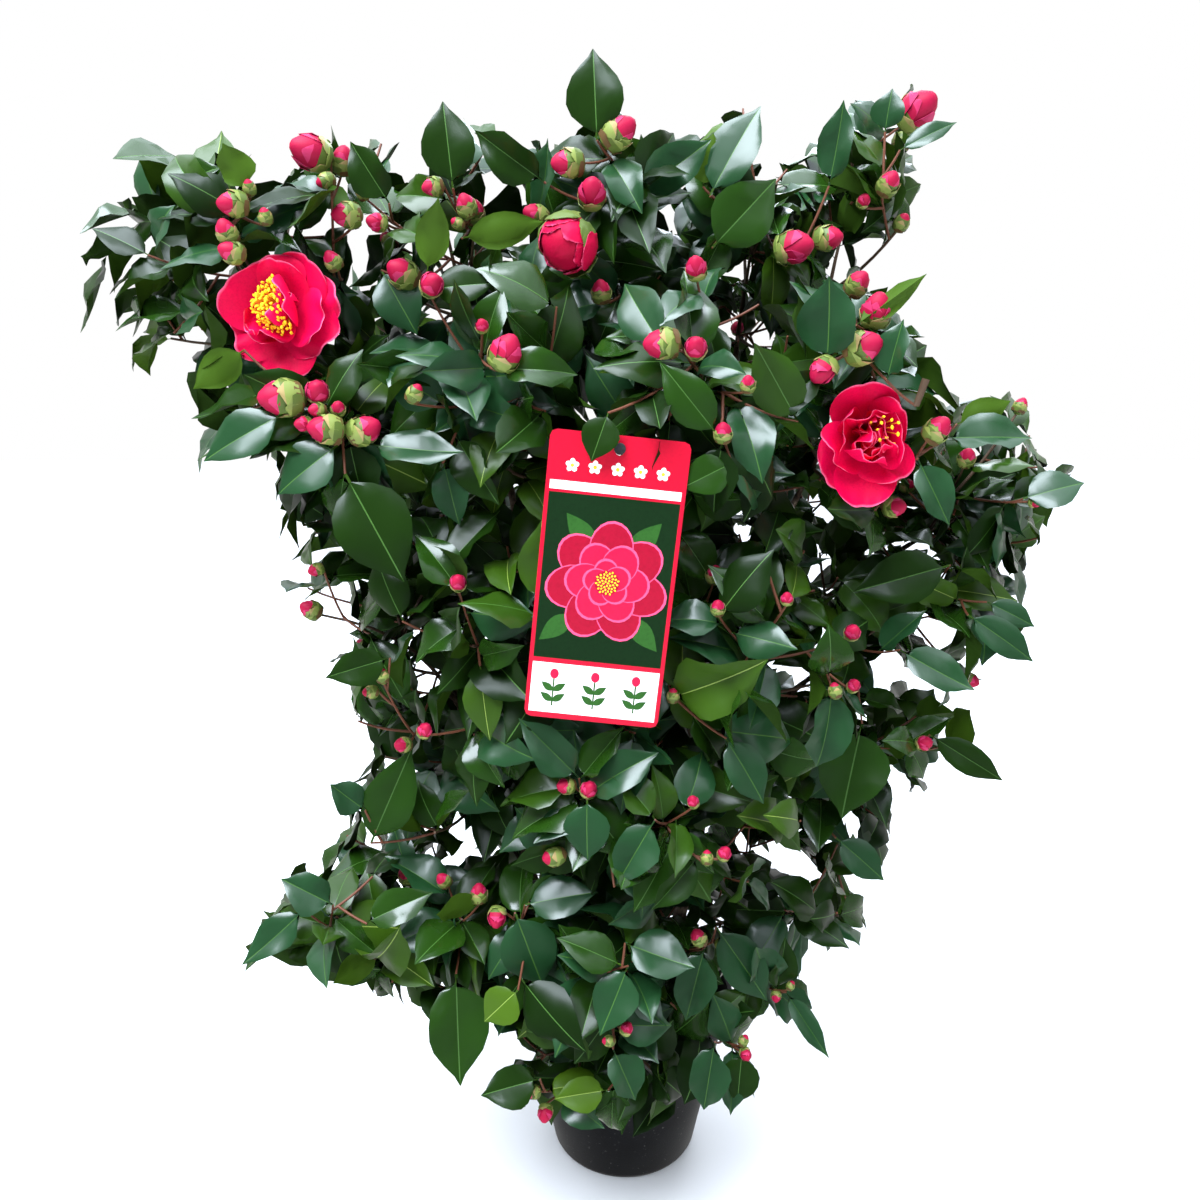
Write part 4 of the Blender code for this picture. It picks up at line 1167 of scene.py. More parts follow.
# Each mass: name, centre and radii in millimetres, leaves of its solid, and its leader's way.
MASS_ROWS = (
    ("top_left", (-300, -80, 875), (130, 130, 125), 24, (-0.6, 0, 0.8)),
    ("top_centre_left", (-155, -40, 905), (115, 130, 125), 20, (-0.2, 0, 1)),
    ("top_centre", (-30, -55, 905), (105, 120, 155), 22, (-0.05, 0.15, 1)),
    ("top_centre_right", (105, -30, 900), (105, 125, 130), 20, (0.1, 0, 1)),
    ("top_right", (192, -10, 930), (85, 120, 115), 18, (0.4, 0, 1)),
    ("top_back_left", (-150, 135, 850), (150, 120, 130), 18, (-0.2, 0.4, 1)),
    ("top_back_right", (130, 145, 850), (150, 120, 130), 18, (0.2, 0.4, 1)),
    ("left_upper", (-245, -125, 742), (110, 115, 105), 22, (-1, -0.3, 0.2)),
    ("front_upper_left", (-110, -165, 775), (100, 90, 110), 16, (-0.1, -0.8, 0.6)),
    ("front_upper_right", (45, -165, 775), (100, 90, 110), 16, (0.1, -0.8, 0.6)),
    ("right_upper", (162, -120, 765), (100, 115, 120), 20, (0.5, -0.6, 0.6)),
    ("left_mid", (-190, -85, 590), (125, 135, 125), 22, (-1, -0.5, 0.1)),
    ("front_left", (-110, -150, 590), (100, 100, 140), 18, (-0.3, -1, 0)),
    ("front_right", (90, -150, 580), (105, 100, 140), 20, (0.3, -1, 0)),
    ("right_mid", (225, -40, 580), (130, 130, 120), 20, (1, -0.4, 0.1)),
    ("right_far", (318, -20, 690), (122, 125, 106), 22, (1, 0, 0.1)),
    ("right_low", (208, -30, 455), (125, 120, 110), 20, (1, -0.1, -0.2)),
    ("left_low", (-165, -65, 450), (125, 130, 105), 18, (-1, -0.3, 0.1)),
    ("front_low", (10, -150, 440), (150, 100, 110), 22, (0, -1, -0.1)),
    ("back_mid_left", (-150, 150, 640), (150, 130, 140), 18, (-0.6, 0.7, 0.1)),
    ("back_mid_right", (150, 150, 640), (150, 130, 140), 18, (0.6, 0.7, 0.1)),
    ("back_low", (0, 150, 440), (190, 130, 130), 20, (0, 1, 0)),
    ("low_left", (-205, -100, 312), (150, 120, 96), 24, (-1, -0.2, 0)),
    ("low_front", (-30, -150, 310), (110, 100, 90), 20, (-0.2, -1, 0)),
    ("low_right", (145, -45, 300), (125, 125, 125), 22, (1, -0.5, -0.1)),
    ("skirt", (-10, -145, 218), (155, 80, 75), 20, (-0.2, -1, 0)),
    ("low_back", (0, 130, 280), (170, 110, 100), 18, (0, 1, -0.1)),
)
# Each stem: name, the mass that it feeds, and its foot in millimetres.
STEM_ROWS = (
    ("left", "top_left", -24, -4), ("front_left", "top_centre_left", -11, -22),
    ("front_right", "top_centre_right", 13, -20), ("right", "top_right", 27, 3),
    ("back_right", "top_back_right", 11, 23), ("back_left", "top_back_left", -15, 19),
)
# Each bough: its mass, the stem that it leaves, and at what share of that stem's length.
BOUGH_ROWS = (
    ("top_centre", "front_right", 0.66), ("left_upper", "left", 0.62), ("left_mid", "left", 0.42),
    ("front_upper_left", "front_left", 0.66), ("front_upper_right", "front_right", 0.56),
    ("right_upper", "right", 0.66), ("right_mid", "right", 0.4), ("right_far", "right", 0.52),
    ("right_low", "right", 0.26), ("front_left", "front_left", 0.42),
    ("front_right", "front_right", 0.4), ("left_low", "left", 0.26), ("front_low", "front_left", 0.26),
    ("back_mid_left", "back_left", 0.48), ("back_mid_right", "back_right", 0.48),
    ("back_low", "back_left", 0.27), ("low_left", "left", 0.1), ("low_front", "front_left", 0.13),
    ("low_right", "right", 0.1), ("skirt", "front_right", 0.055), ("low_back", "back_left", 0.1),
)


def from_mm(sizes: Iterable[float]) -> tuple[float, ...]:
    """Turns millimetres into metres."""
    return tuple(size / 1000 for size in sizes)


def outward(point: Vector, back: float = 0.0) -> Vector:
    """Gives the level direction to a point from the shrub's axis, or from a line behind it."""
    flat = Vector((point.x, point.y - back, 0.0))
    return flat.normalized() if flat.length > 1e-6 else FRONT.copy()


# ---------------------------------------------------------------- what foliage keeps clear of
CROSS_FACES = [(0, 1, 2, 3), (4, 5, 6, 7)]


def cross_corners(start: Vector, end: Vector, radius: float) -> list[Vector]:
    """Gives the corners of two strips that cross along a line.

    Args:
        start: Where the line starts.
        end: Where it ends.
        radius: Half of a strip's width.

    Returns:
        Four corners of one strip, and then of the other.
    """
    run = end - start
    across = run.orthogonal().normalized() * radius
    over = run.cross(across).normalized() * radius
    corners = [start - across, start + across, end + across, end - across]
    return corners + [start - over, start + over, end + over, end - over]


def shapes_at(places: Sequence[Matrix], add: Callable[..., Any], **sizes: Any) -> list[Piece]:
    """Makes a primitive for each matrix, and puts it there.

    Args:
        places: The matrices.
        add: The operator that adds the primitive.
        **sizes: The operator's sizes.

    Returns:
        The primitives.
    """
    made = []
    for place in places:
        made.append(begin(add, **sizes))
        made[-1].data.transform(place)
    return made


def search_tree(shapes: Sequence[Piece]) -> BVHTree:
    """Makes one search tree of some shapes, and removes them.

    Args:
        shapes: The shapes.

    Returns:
        The search tree.
    """
    whole = join(shapes, "keep_out")
    points = [v.co.copy() for v in whole.data.vertices]
    tree = BVHTree.FromPolygons(points, [list(face.vertices) for face in whole.data.polygons])
    bpy.data.objects.remove(whole)
    return tree


@dataclass
class KeepOut:
    """Fattened stand-ins for all that foliage must not touch."""

    plan: CrownPlan
    margin: float = 0.0022
    pot_foot: float = 78 * MM
    pot_rim: float = 116.5 * MM
    pot_top: float = 172 * MM
    pot_deep: float = 174 * MM
    sides: int = 6

    def tree(self, tubes: Sequence[Tube], boxes: Sequence[Matrix], balls: Sequence[Matrix]) -> BVHTree:
        """Makes one search tree of the limbs, the pot, and more tubes, boxes and balls.

        Args:
            tubes: Tubes to keep clear of besides the limbs, such as the label's tie.
            boxes: Boxes, each as the matrix that turns a unit cube into it.
            balls: Ellipsoids, each as the matrix that turns a ball of 1 across into it.

        Returns:
            The search tree.
        """
        middle = (0.0, 0.0, self.pot_top - self.pot_deep / 2)
        sizes = {"radius1": self.pot_foot, "radius2": self.pot_rim, "depth": self.pot_deep}
        pot = begin(bpy.ops.mesh.primitive_cone_add, vertices=24, location=middle, **sizes)
        shapes = [sweep("keep_limbs", self.fat_limbs() + list(tubes), self.sides), settle(pot)]
        shapes += shapes_at(balls, bpy.ops.mesh.primitive_ico_sphere_add, subdivisions=2, radius=0.5)
        return search_tree(shapes + shapes_at(boxes, bpy.ops.mesh.primitive_cube_add, size=1.0))

    def fat_limbs(self) -> list[Tube]:
        """Gives every limb's tube, fattened by the margin, its tip drawn back by it."""
        tubes = []
        for limb in self.plan.limbs.values():
            tube = self.plan.tube_of(limb)
            if not limb.foot:
                before, last = tube.points[-2:]
                tube.points[-1] = last - (last - before).normalized() * self.margin
            wide = [(radius + self.margin) / math.cos(math.pi / self.sides) for radius in tube.radii]
            tubes.append(Tube(tube.points, wide))
        return tubes


# ---------------------------------------------------------------- growth
class BudStage(Enum):
    """How far a flower bud has come."""

    CLOSED = "closed"
    SHOWING = "showing"
    OPENING = "opening"


@dataclass
class Twig:
    """A twig: its line, its thickness at both ends, what it forks from, and how far it is used."""

    points: list[Vector]
    base: float
    tip: float
    parent: "Twig | None" = None
    fork: float = 0.0
    used: float = 0.0

    def length(self) -> float:
        """Gives the line's length."""
        return sum((b - a).length for a, b in zip(self.points, self.points[1:]))

    def carry(self, share: float) -> None:
        """Notes that something sits at a share of the twig, so that it is drawn as far as that.

        Args:
            share: From 0 at the twig's root to 1 at its tip.
        """
        self.used = max(self.used, share)
        if self.parent:
            self.parent.carry(self.fork)

    def tube(self) -> Tube:
        """Gives the twig's tube, as far as the last thing that it carries."""
        reach = min(1.0, self.used + 1.5 * MM / self.length())
        shares = [reach * step / 6 for step in range(7)]
        points = [along(self.points, share)[0] for share in shares]
        return Tube(points, [self.base + (self.tip - self.base) * share for share in shares])


@dataclass
class LeafSpot:
    """Where a leaf sits: its foot, which way it points and looks, its size, form and tints."""

    foot: Vector
    way: Vector
    face: Vector
    length: float
    width: float
    form: int
    green: Green
    under: int


@dataclass
class BudSpot:
    """Where a bud sits, which way it points, its length and its stage."""

    foot: Vector
    way: Vector
    length: float
    stage: BudStage


# The side of a cell of the crown's room.
ROOM_CELL = 50 * MM


class Room:
    """The room that is left: what foliage keeps clear of, and what has grown, found by its place."""

    def __init__(self, solids: BVHTree) -> None:
        """Starts with the search tree of what foliage keeps clear of, and nothing grown.

        Args:
            solids: The search tree.
        """
        self.solids = [solids]
        self.hollows: list[Matrix] = []
        self.cells = Cells(ROOM_CELL)

    def add(self, points: Sequence[Vector], faces: Sequence[Sequence[int]]) -> None:
        """Keeps a shape's place."""
        low, high = box_of(points)
        self.cells.put((BVHTree.FromPolygons(points, faces), low, high), low, high)

    def is_hollow(self, point: Vector) -> bool:
        """Tells whether a place is inside one of the boxes that stay empty."""
        return any(max(abs(part) for part in place @ point) < 0.5 for place in self.hollows)

    def is_free(self, points: Sequence[Vector], faces: Sequence[Sequence[int]]) -> bool:
        """Tells whether a shape is clear of limbs, pot, label and blooms, and of what has grown.

        Args:
            points: The shape's points.
            faces: The points of each of its faces, by number.

        Returns:
            Whether it is clear.
        """
        shape = BVHTree.FromPolygons(points, faces)
        if any(shape.overlap(solid) for solid in self.solids):
            return False
        low, high = box_of(points)
        for tree, least, most in self.cells.near(low, high):
            apart = any(a > d or c > b for a, b, c, d in zip(low, high, least, most))
            if not apart and shape.overlap(tree):
                return False
        return True


# Each tint's weight: everywhere, near the skin, and near the skin high up. The deepest tint gains weight away
# from the skin, partly for older leaves and partly as painted shade.
GREEN_WEIGHTS = (
    *((3.2, -2.2, 0.0), (4.0, 0.0, 0.0), (2.0, 1.0, 0.0), (1.8, 2.2, 0.0), (1.9, 1.2, 0.0)),
    *((0.15, 0.0, 0.45), (0.04, 0.0, 0.14)),
)


@dataclass(frozen=True)
class GrowthHabit:
    """The rule's numbers: twigs, leaves and their ways."""

    twig_radius: float = 0.0017
    twig_tip_radius: float = 0.0011
    limb_margin: float = 0.0022
    twig_tries: int = 60
    twig_inset: float = 0.018
    twig_bow: float = 0.05
    # The room at a twig's aim counts its distance from these shares of its mass's stem, times this.
    stem_shun: float = 1.6
    stem_shun_at: Pair = (0.3, 0.6)
    stem_step: float = 0.005
    shortest_parent: float = 0.03
    shortest_twig: float = 0.020
    # A fork costs more as the cosine of its turn falls below this one, at this rate.
    fork_cosine: float = 0.55
    fork_cost: float = 1.2
    solid_leaf: float = 0.102
    solid_leaves_on_stem: int = 3
    solid_leaves_on_twig: int = 4
    fine_twigs_per_leaf: float = 1.05
    fine_inset: float = 0.006
    fine_radius: float = 0.0012
    fine_tip_radius: float = 0.0009
    leaf_length: float = 0.080
    leaf_width_share: float = 0.57
    leaf_sizes: Pair = (0.74, 1.12)
    leaf_tries: int = 18
    leaf_spacing: float = 0.011
    leaf_skin: float = 0.008
    light_line_back: float = 0.10
    leaf_ahead: float = 1.1
    least_ahead: float = 0.2
    ahead_drop: float = 0.30
    leaf_aside: float = 0.80
    leaf_to_light: float = 0.15
    # How strongly a leaf's face turns to the twig's tip, up, and to the light.
    face_inner: float = 0.50
    face_up: float = 0.48
    face_light: float = 0.72
    # How loose a try's ways are, how much looser each next one's, and how much the last one shrinks.
    loose: float = 0.18
    looser: float = 0.05
    shrink: float = 0.20
    shrink_tries: int = 16
    steepest_look: float = 0.93
    leaf_width_spread: Pair = (0.90, 1.10)
    hang_foot: float = 0.55
    hang_top: float = 0.02
    shun_turning: float = 0.03
    bud_share: float = 0.11
    bud_lengths_mm: Pair = (16, 23)
    bud_rise: float = 0.3
    bud_test_radius: float = 0.34
    leaves_on_spray: tuple[int, ...] = (4, 5, 5, 6)
    deep_under: float = 0.08


class Grower:
    """Grows one mass of foliage in the room that is left."""

    def __init__(self, mass: Mass, plan: CrownPlan, habit: GrowthHabit, room: Room, sky: Sky) -> None:
        """Starts a mass with nothing grown, in the room and under the sky that the crown shares.

        Args:
            mass: The mass.
            plan: The crown's plan.
            habit: The rule's numbers.
            room: The room that is left in the crown.
            sky: The sky that stays in view.
        """
        self.mass, self.plan, self.habit, self.room, self.sky = mass, plan, habit, room, sky
        self.random = random.Random("camellia " + mass.name)
        self.twigs: list[Twig] = []
        self.stalks: list[Tube] = []
        self.leaves: list[LeafSpot] = []
        self.buds: list[BudSpot] = []
        self.middles: list[Vector] = []

    def jitter(self, size: float) -> Vector:
        """Gives a small random vector."""
        return Vector([self.random.uniform(-size, size) for _ in range(3)])

    def has_room(self, points: Sequence[Vector], faces: Sequence[Sequence[int]], skin: float = 0.0) -> bool:
        """Tells whether a shape stays in the space, or in its skin, clear of everything."""
        return all(self.mass.holds(point, skin) for point in points) and self.room.is_free(points, faces)

    def plan_twigs(self) -> None:
        """Plans the mass's stem and the twigs that its solid has."""
        habit, mass = self.habit, self.mass
        lead = Vector(mass.leader).normalized()
        start = mass.entry + mass.heading * self.plan.clear
        line = bezier(start, mass.heading, lead + UP * 0.2, self.stem_tip(lead), 10)
        self.twigs = [Twig(line, self.plan.bough_tip_radius, habit.twig_tip_radius)]
        count = (mass.leaves - habit.solid_leaves_on_stem) / habit.solid_leaves_on_twig
        self.reach_out(max(3, round(count)), habit.twig_inset, habit.twig_radius, habit.twig_tip_radius)

    def stem_tip(self, lead: Vector) -> Vector:
        """Gives where the mass's stem ends: along its leader, a leaf's depth inside.

        Args:
            lead: The leader's unit direction.

        Returns:
            The tip's place.
        """
        tip = Vector(self.mass.centre)
        step = lead * self.habit.stem_step
        while self.mass.depth(tip + step) > self.habit.solid_leaf * 0.45:
            tip += step
        return tip

    def reach_out(self, wanted: int, inset: float, radius: float, tip_radius: float) -> None:
        """Grows twigs, each to the emptiest place that it can reach.

        Args:
            wanted: How many twigs to grow.
            inset: How deep inside the space a twig ends.
            radius: A twig's radius at its root.
            tip_radius: Its radius at its tip.
        """
        habit, mass, stem = self.habit, self.mass, self.twigs[0].points
        centre = Vector(mass.centre)
        for _ in range(wanted):
            best: tuple[float, Twig] | None = None
            for _ in range(habit.twig_tries):
                aim = centre + Vector([self.random.uniform(-r, r) for r in mass.radii])
                if mass.depth(aim) < inset or self.sky.is_covered([aim]):
                    continue
                score = min((aim - twig.points[-1]).length for twig in self.twigs)
                clear = min((aim - along(stem, part)[0]).length for part in habit.stem_shun_at)
                score = min(score, habit.stem_shun * clear)
                if best is None or score > best[0]:
                    twig = self.twig_to(aim, radius, tip_radius)
                    if twig and self.twig_has_room(twig, radius + habit.limb_margin):
                        best = (score, twig)
            if best:
                self.keep_twig(best[1])

    def twig_has_room(self, twig: Twig, radius: float) -> bool:
        """Tells whether a twig has room past its root."""
        start, end = twig.points[0], twig.points[-1]
        return self.has_room(cross_corners(start.lerp(end, 0.25), end, radius), CROSS_FACES)

    def keep_twig(self, twig: Twig) -> None:
        """Keeps a twig, which must not be crossed past its root.

        Args:
            twig: The twig.
        """
        start, end = twig.points[0], twig.points[-1]
        self.twigs.append(twig)
        self.room.add(cross_corners(start.lerp(end, 0.2), end, twig.base), CROSS_FACES)

    def twig_to(self, aim: Vector, radius: float, tip_radius: float) -> Twig | None:
        """Gives a twig to a place, from the nearest line that it leaves at a forward angle.

        Args:
            aim: Where the twig ends.
            radius: Its thickness at its root.
            tip_radius: Its thickness at its tip.

        Returns:
            The twig, with a bow that turns its tip up, or nothing.
        """
        habit = self.habit
        best: tuple[float, Twig, float, Vector] | None = None
        for twig in self.twigs:
            if twig.length() < habit.shortest_parent:
                continue
            for step in range(2, 19):
                root, way = along(twig.points, step / 20)
                reach = aim - root
                forward = reach.normalized().dot(way)
                cost = reach.length * (1.0 + habit.fork_cost * max(0.0, habit.fork_cosine - forward))
                if reach.length > habit.shortest_twig and (best is None or cost < best[0]):
                    best = (cost, twig, step / 20, root)
        if best is None:
            return None
        _, parent, fork, root = best
        run = aim - root
        sag = UP * -1.0 - run * (UP.dot(run) / -run.length_squared)
        bow = sag * run.length * habit.twig_bow
        line = [root.lerp(aim, step / 5) + bow * 4 * (step / 5) * (1 - step / 5) for step in range(6)]
        return Twig(line, radius, tip_radius, parent, fork)

    def leaf_way(self, twig_way: Vector, aside: Vector, place: Vector, number: int) -> Vector:
        """Gives which way a leaf points: ahead at the tip, aside further back, hanging lower down.

        Args:
            twig_way: The twig's way there.
            aside: The way off the twig that the leaf's turn gives.
            place: The leaf's foot.
            number: How many leaves sit nearer to the twig's tip.

        Returns:
            The unit way.
        """
        habit = self.habit
        hang = UP * (habit.hang_foot + (habit.hang_top - habit.hang_foot) * place.z)
        ahead = twig_way * max(habit.least_ahead, habit.leaf_ahead - habit.ahead_drop * number)
        light = outward(place, habit.light_line_back)
        return (aside * habit.leaf_aside + ahead + light * habit.leaf_to_light - hang).normalized()

    def leaf_face(self, twig_way: Vector, way: Vector, place: Vector) -> Vector:
        """Gives which way a leaf's upper side looks: to the twig's tip, up, and out to the light.

        Args:
            twig_way: The twig's way there.
            way: Which way the leaf points.
            place: The leaf's foot.

        Returns:
            The unit way.
        """
        habit = self.habit
        inner = twig_way - way * twig_way.dot(way)
        light = outward(place, habit.light_line_back)
        return (inner * habit.face_inner + UP * habit.face_up + light * habit.face_light).normalized()

    def spread(self, point: Vector) -> float:
        """Gives how far a point is from the middle of the nearest leaf."""
        return min([(point - middle).length for middle in self.middles], default=1.0)

    def dress(self, twig: Twig, count: int, green: Green) -> None:
        """Puts leaves along a twig from its tip back, by the golden angle.

        Args:
            twig: The twig.
            count: How many leaves it gets, where there is room.
            green: Their tint.
        """
        length = twig.length()
        phase = self.random.uniform(0.0, math.tau)
        for number in range(count):
            share = 1.0 - min(0.90, (0.002 + self.habit.leaf_spacing * number) / max(length, 0.01))
            base, heading = along(twig.points, share)
            turn = Matrix.Rotation(phase + GOLDEN_ANGLE * number, 3, heading)
            aside = turn @ heading.orthogonal().normalized()
            way = self.leaf_way(heading, aside, base, number)
            if self.add_leaf(base, way, self.leaf_face(heading, way, base), green):
                twig.carry(share)

    def add_leaf(self, base: Vector, way: Vector, face: Vector, green: Green) -> bool:
        """Tries several ways for one leaf, and keeps the one with the most room round it.

        Args:
            base: The leaf's foot on its twig.
            way: Which way the rule points it.
            face: Which way its upper side should look.
            green: The spray's tint.

        Returns:
            Whether there was room for it.
        """
        habit = self.habit
        best: tuple[float, LeafSpot, list[Vector]] | None = None
        for attempt in range(habit.leaf_tries):
            loose = habit.loose + habit.looser * attempt
            lie = (way + self.jitter(loose)).normalized()
            look = (face + self.jitter(loose * 0.9)).normalized()
            if abs(lie.dot(look)) > habit.steepest_look:
                continue
            length = habit.leaf_length * self.random.uniform(*habit.leaf_sizes)
            length *= 1.0 - habit.shrink * attempt / habit.shrink_tries
            width = length * habit.leaf_width_share * self.random.uniform(*habit.leaf_width_spread)
            spot = LeafSpot(base, lie, look, length, width, 0, green, 0)
            corners = leaf_corners(spot)
            score = self.spread(corners[4]) + habit.shun_turning * lie.dot(way)
            if best is not None and score <= best[0]:
                continue
            if self.sky.is_covered([corners[place] for place in LEAF_OUTLINE]):
                continue
            is_open = not self.room.is_hollow(corners[4])
            if is_open and self.has_room(corners, LEAF_TEST_FACES, habit.leaf_skin):
                best = (score, spot, corners)
        if best is None:
            return False
        best[1].form = self.random.randrange(LEAF_FORM_COUNT)
        step = self.random.choice((-1, 0, 0, 0, 1))
        best[1].green = Green(min(Green.YOUNG.value, max(0, green.value + step)))
        best[1].under = self.random.choice((0, 0, 1, 1, 2))
        self.keep_leaf(best[1], best[2])
        return True

    def keep_leaf(self, spot: LeafSpot, corners: list[Vector]) -> None:
        """Keeps a leaf and its place.

        Args:
            spot: The leaf.
            corners: Its rough outline.
        """
        self.leaves.append(spot)
        self.room.add(corners, LEAF_TEST_FACES)
        self.middles.append(corners[4])

    def spray_green(self, tip: Vector) -> Green:
        """Deals out a spray's tint: darker deep in the bush, partly for older leaves and partly as painted
        shade, and fresher towards its skin and top.

        Args:
            tip: The tip of the spray's twig.

        Returns:
            The tint.
        """
        outside = 1.0 - min(1.0, self.mass.depth(tip) / self.habit.deep_under)
        height = min(1.0, tip.z)
        shares = (1.0, outside, outside * height)
        weights = [sum(part * share for part, share in zip(row, shares)) for row in GREEN_WEIGHTS]
        return self.random.choices(list(Green), weights)[0]

    def keep_bud(self, bud: BudSpot) -> None:
        """Keeps a bud and its place.

        Args:
            bud: The bud.
        """
        self.buds.append(bud)
        self.room.add(self.bud_corners(bud), CROSS_FACES)

    def bud_corners(self, bud: BudSpot) -> list[Vector]:
        """Gives the corners of a bud's test shape, from a little above its foot.

        Args:
            bud: The bud.

        Returns:
            The corners of two strips that cross along it.
        """
        tip = bud.foot + bud.way * bud.length
        radius = bud.length * self.habit.bud_test_radius
        return cross_corners(bud.foot.lerp(tip, 0.2), tip, radius)

    def reach_mark(self, place: Vector) -> None:
        """Grows a short twig to a marked place, whatever is near it.

        Args:
            place: The marked place.
        """
        twig = self.twig_to(place, self.habit.fine_radius, self.habit.fine_tip_radius)
        if twig:
            self.keep_twig(twig)
            twig.carry(1.0)

    def grow(self) -> None:
        """Carries the mass on to finer twigs, leaves and buds."""
        habit = self.habit
        wanted = round(self.mass.leaves * habit.fine_twigs_per_leaf)
        self.reach_out(wanted, habit.fine_inset, habit.fine_radius, habit.fine_tip_radius)
        for twig in sorted(self.twigs, key=lambda twig: -self.mass.depth(twig.points[-1])):
            tip, way = along(twig.points, 1.0)
            if twig.used < 1.0 and self.random.random() < habit.bud_share:
                stage = self.random.choice((BudStage.CLOSED, BudStage.SHOWING, BudStage.SHOWING))
                rise = (way + UP * habit.bud_rise).normalized()
                bud = BudSpot(tip, rise, self.random.uniform(*habit.bud_lengths_mm) * MM, stage)
                if self.has_room(self.bud_corners(bud), CROSS_FACES):
                    self.keep_bud(bud)
                    twig.carry(1.0)
            self.dress(twig, self.random.choice(habit.leaves_on_spray), self.spray_green(tip))


LEAF_TEST_FACES = [(0, 1, 4), (0, 4, 2), (1, 3, 4), (4, 3, 2)]
LEAF_OUTLINE = (0, 1, 3, 2)
LEAF_FORM_COUNT = 8


def leaf_corners(spot: LeafSpot) -> list[Vector]:
    """Gives a leaf's rough outline: near its foot, left, right, tip and middle.

    Args:
        spot: Where the leaf sits.

    Returns:
        The five points.
    """
    turn = aim_frame(spot.way, spot.face)
    length, half = spot.length, spot.width / 2
    foot, middle = (0.0, 0.14 * length, 0.0), (0.0, 0.50 * length, -0.02 * length)
    tip = (0.0, 0.96 * length, -0.12 * length)
    left, right = (-half, 0.46 * length, 0.10 * half), (half, 0.46 * length, 0.10 * half)
    return [spot.foot + turn @ Vector(point) for point in (foot, left, right, tip, middle)]


# ---------------------------------------------------------------- leaves
@dataclass(frozen=True)
class LeafForm:
    """How a pattern leaf is folded, in degrees over its whole length, and how its rim waves."""

    gutter: float
    droop: float
    twist: float
    wave: float


@dataclass
class LeafModel:
    """The camellia leaf: short stalk, broad oval blade, drawn-out tip, pale midrib."""

    length: float = 80 * MM
    width: float = 46 * MM
    rib: float = 0.85 * MM
    # Along the leaf from foot to tip, and the half width there, as shares of length and half width.
    stations: tuple[Pair, ...] = (
        *((0.00, 0.045), (0.08, 0.045), (0.16, 0.50), (0.27, 0.84), (0.40, 1.00)),
        *((0.54, 0.97), (0.68, 0.78), (0.81, 0.47), (0.91, 0.18), (1.00, 0.015)),
    )
    forms: tuple[LeafForm, ...] = (
        *(LeafForm(8, 20, 0, 0.14), LeafForm(18, 38, 16, 0.22), LeafForm(2, 56, -14, 0.18)),
        *(LeafForm(26, 12, -24, 0.28), LeafForm(-10, 32, 12, 0.20), LeafForm(14, 76, 20, 0.24)),
        *(LeafForm(12, -18, -12, 0.26), LeafForm(22, 44, 30, 0.30)),
    )
    arch: float = 0.13
    quilt: float = 0.055
    sag: float = 0.45 * MM

    def side(self, lower: bool, form: LeafForm) -> Piece:
        """Models one side of a leaf from a grid, row by row.

        Args:
            lower: Whether it is the lower side, which has no rib and lies a little deeper.
            form: How the leaf is folded.

        Returns:
            The side, its foot at the origin and its length along +Y.
        """
        rows, columns = len(self.stations) - 1, 4 if lower else 5
        across = columns + 1
        grid = begin(bpy.ops.mesh.primitive_grid_add, x_subdivisions=columns, y_subdivisions=rows, size=2)
        bench = Bench(grid)
        for row, (station, share) in enumerate(self.stations):
            first, last = row * across, (row + 1) * across
            half = share * self.width / 2
            level = -1.0 + 2.0 * row / rows
            bench.pick(lambda p: first <= p.index < last)
            bench.scale(x=half, about=(0.0, level, 0.0)).move(y=station * self.length - level)
            if lower:
                bench.pick(lambda p: p.index in (first + 1, last - 2)).scale(x=1.2)
                bench.pick(lambda p: first < p.index < last - 1).move(z=-self.sag * min(1.0, share * 3))
            else:
                bench.pick(lambda p: p.index in (first + 2, first + 3))
                bench.scale(x=min(0.55, self.rib / 2 / (half * 0.2)))
            rims = ((first, first + 1, 0.4, row), (last - 1, last - 2, 2.6, row + 1))
            for rim, inside, phase, turn in rims:
                hump = (self.arch + self.quilt * (-1) ** turn) * half
                wave = form.wave * half * math.sin(row * 1.25 + phase)
                bench.pick(lambda p: p.index == rim).move(z=wave)
                bench.pick(lambda p: p.index == inside).move(z=wave * 0.4 + hump)
        fold = math.radians(form.gutter)
        bench.pick(lambda p: p.index % across < across // 2).turn(fold, "Y")
        bench.pick(lambda p: p.index % across > columns / 2).turn(-fold, "Y")
        self.curl(bench, across, form)
        return bench.done()

    def curl(self, bench: Bench, across: int, form: LeafForm) -> None:
        """Bends a side down its length and twists it, row after row.

        Args:
            bench: The bench that the side is on.
            across: How many points a row has.
            form: How the leaf is folded.
        """
        rows = len(self.stations) - 1
        y, z, slope = 0.0, 0.0, 0.0
        for row in range(1, rows):
            run = (self.stations[row][0] - self.stations[row - 1][0]) * self.length
            y += run * math.cos(slope)
            z -= run * math.sin(slope)
            step = math.radians(form.droop) * (0.4 + 1.2 * row / rows) / rows
            slope += step
            bench.pick(lambda p: p.index >= row * across)
            bench.turn(-step, "X", (0.0, y, z))
            bench.turn(math.radians(form.twist) / rows, "Y", (0.0, y, z))

    def pattern(self, form: LeafForm) -> Pattern:
        """Models one leaf: an upper side with its rib, and a lower side, joined at the rim.

        Args:
            form: How the leaf is folded.

        Returns:
            The leaf as a pattern, its parts being blade, rib and lower side.
        """
        upper, lower = self.side(False, form), self.side(True, form)
        for side, parts in ((upper, (0, 0, 1, 0, 0)), (lower, (2,))):
            marks = side.data.attributes.new("part", "INT", "FACE").data
            for face in side.data.polygons:
                marks[face.index].value = parts[face.index % len(parts)]
        bench = Bench(lower)
        bpy.ops.mesh.flip_normals()
        bench.done()
        bench = Bench(join([upper, lower], "leaf"))
        bpy.ops.mesh.remove_doubles(threshold=0.15 * MM)
        return read_pattern(bench.done())


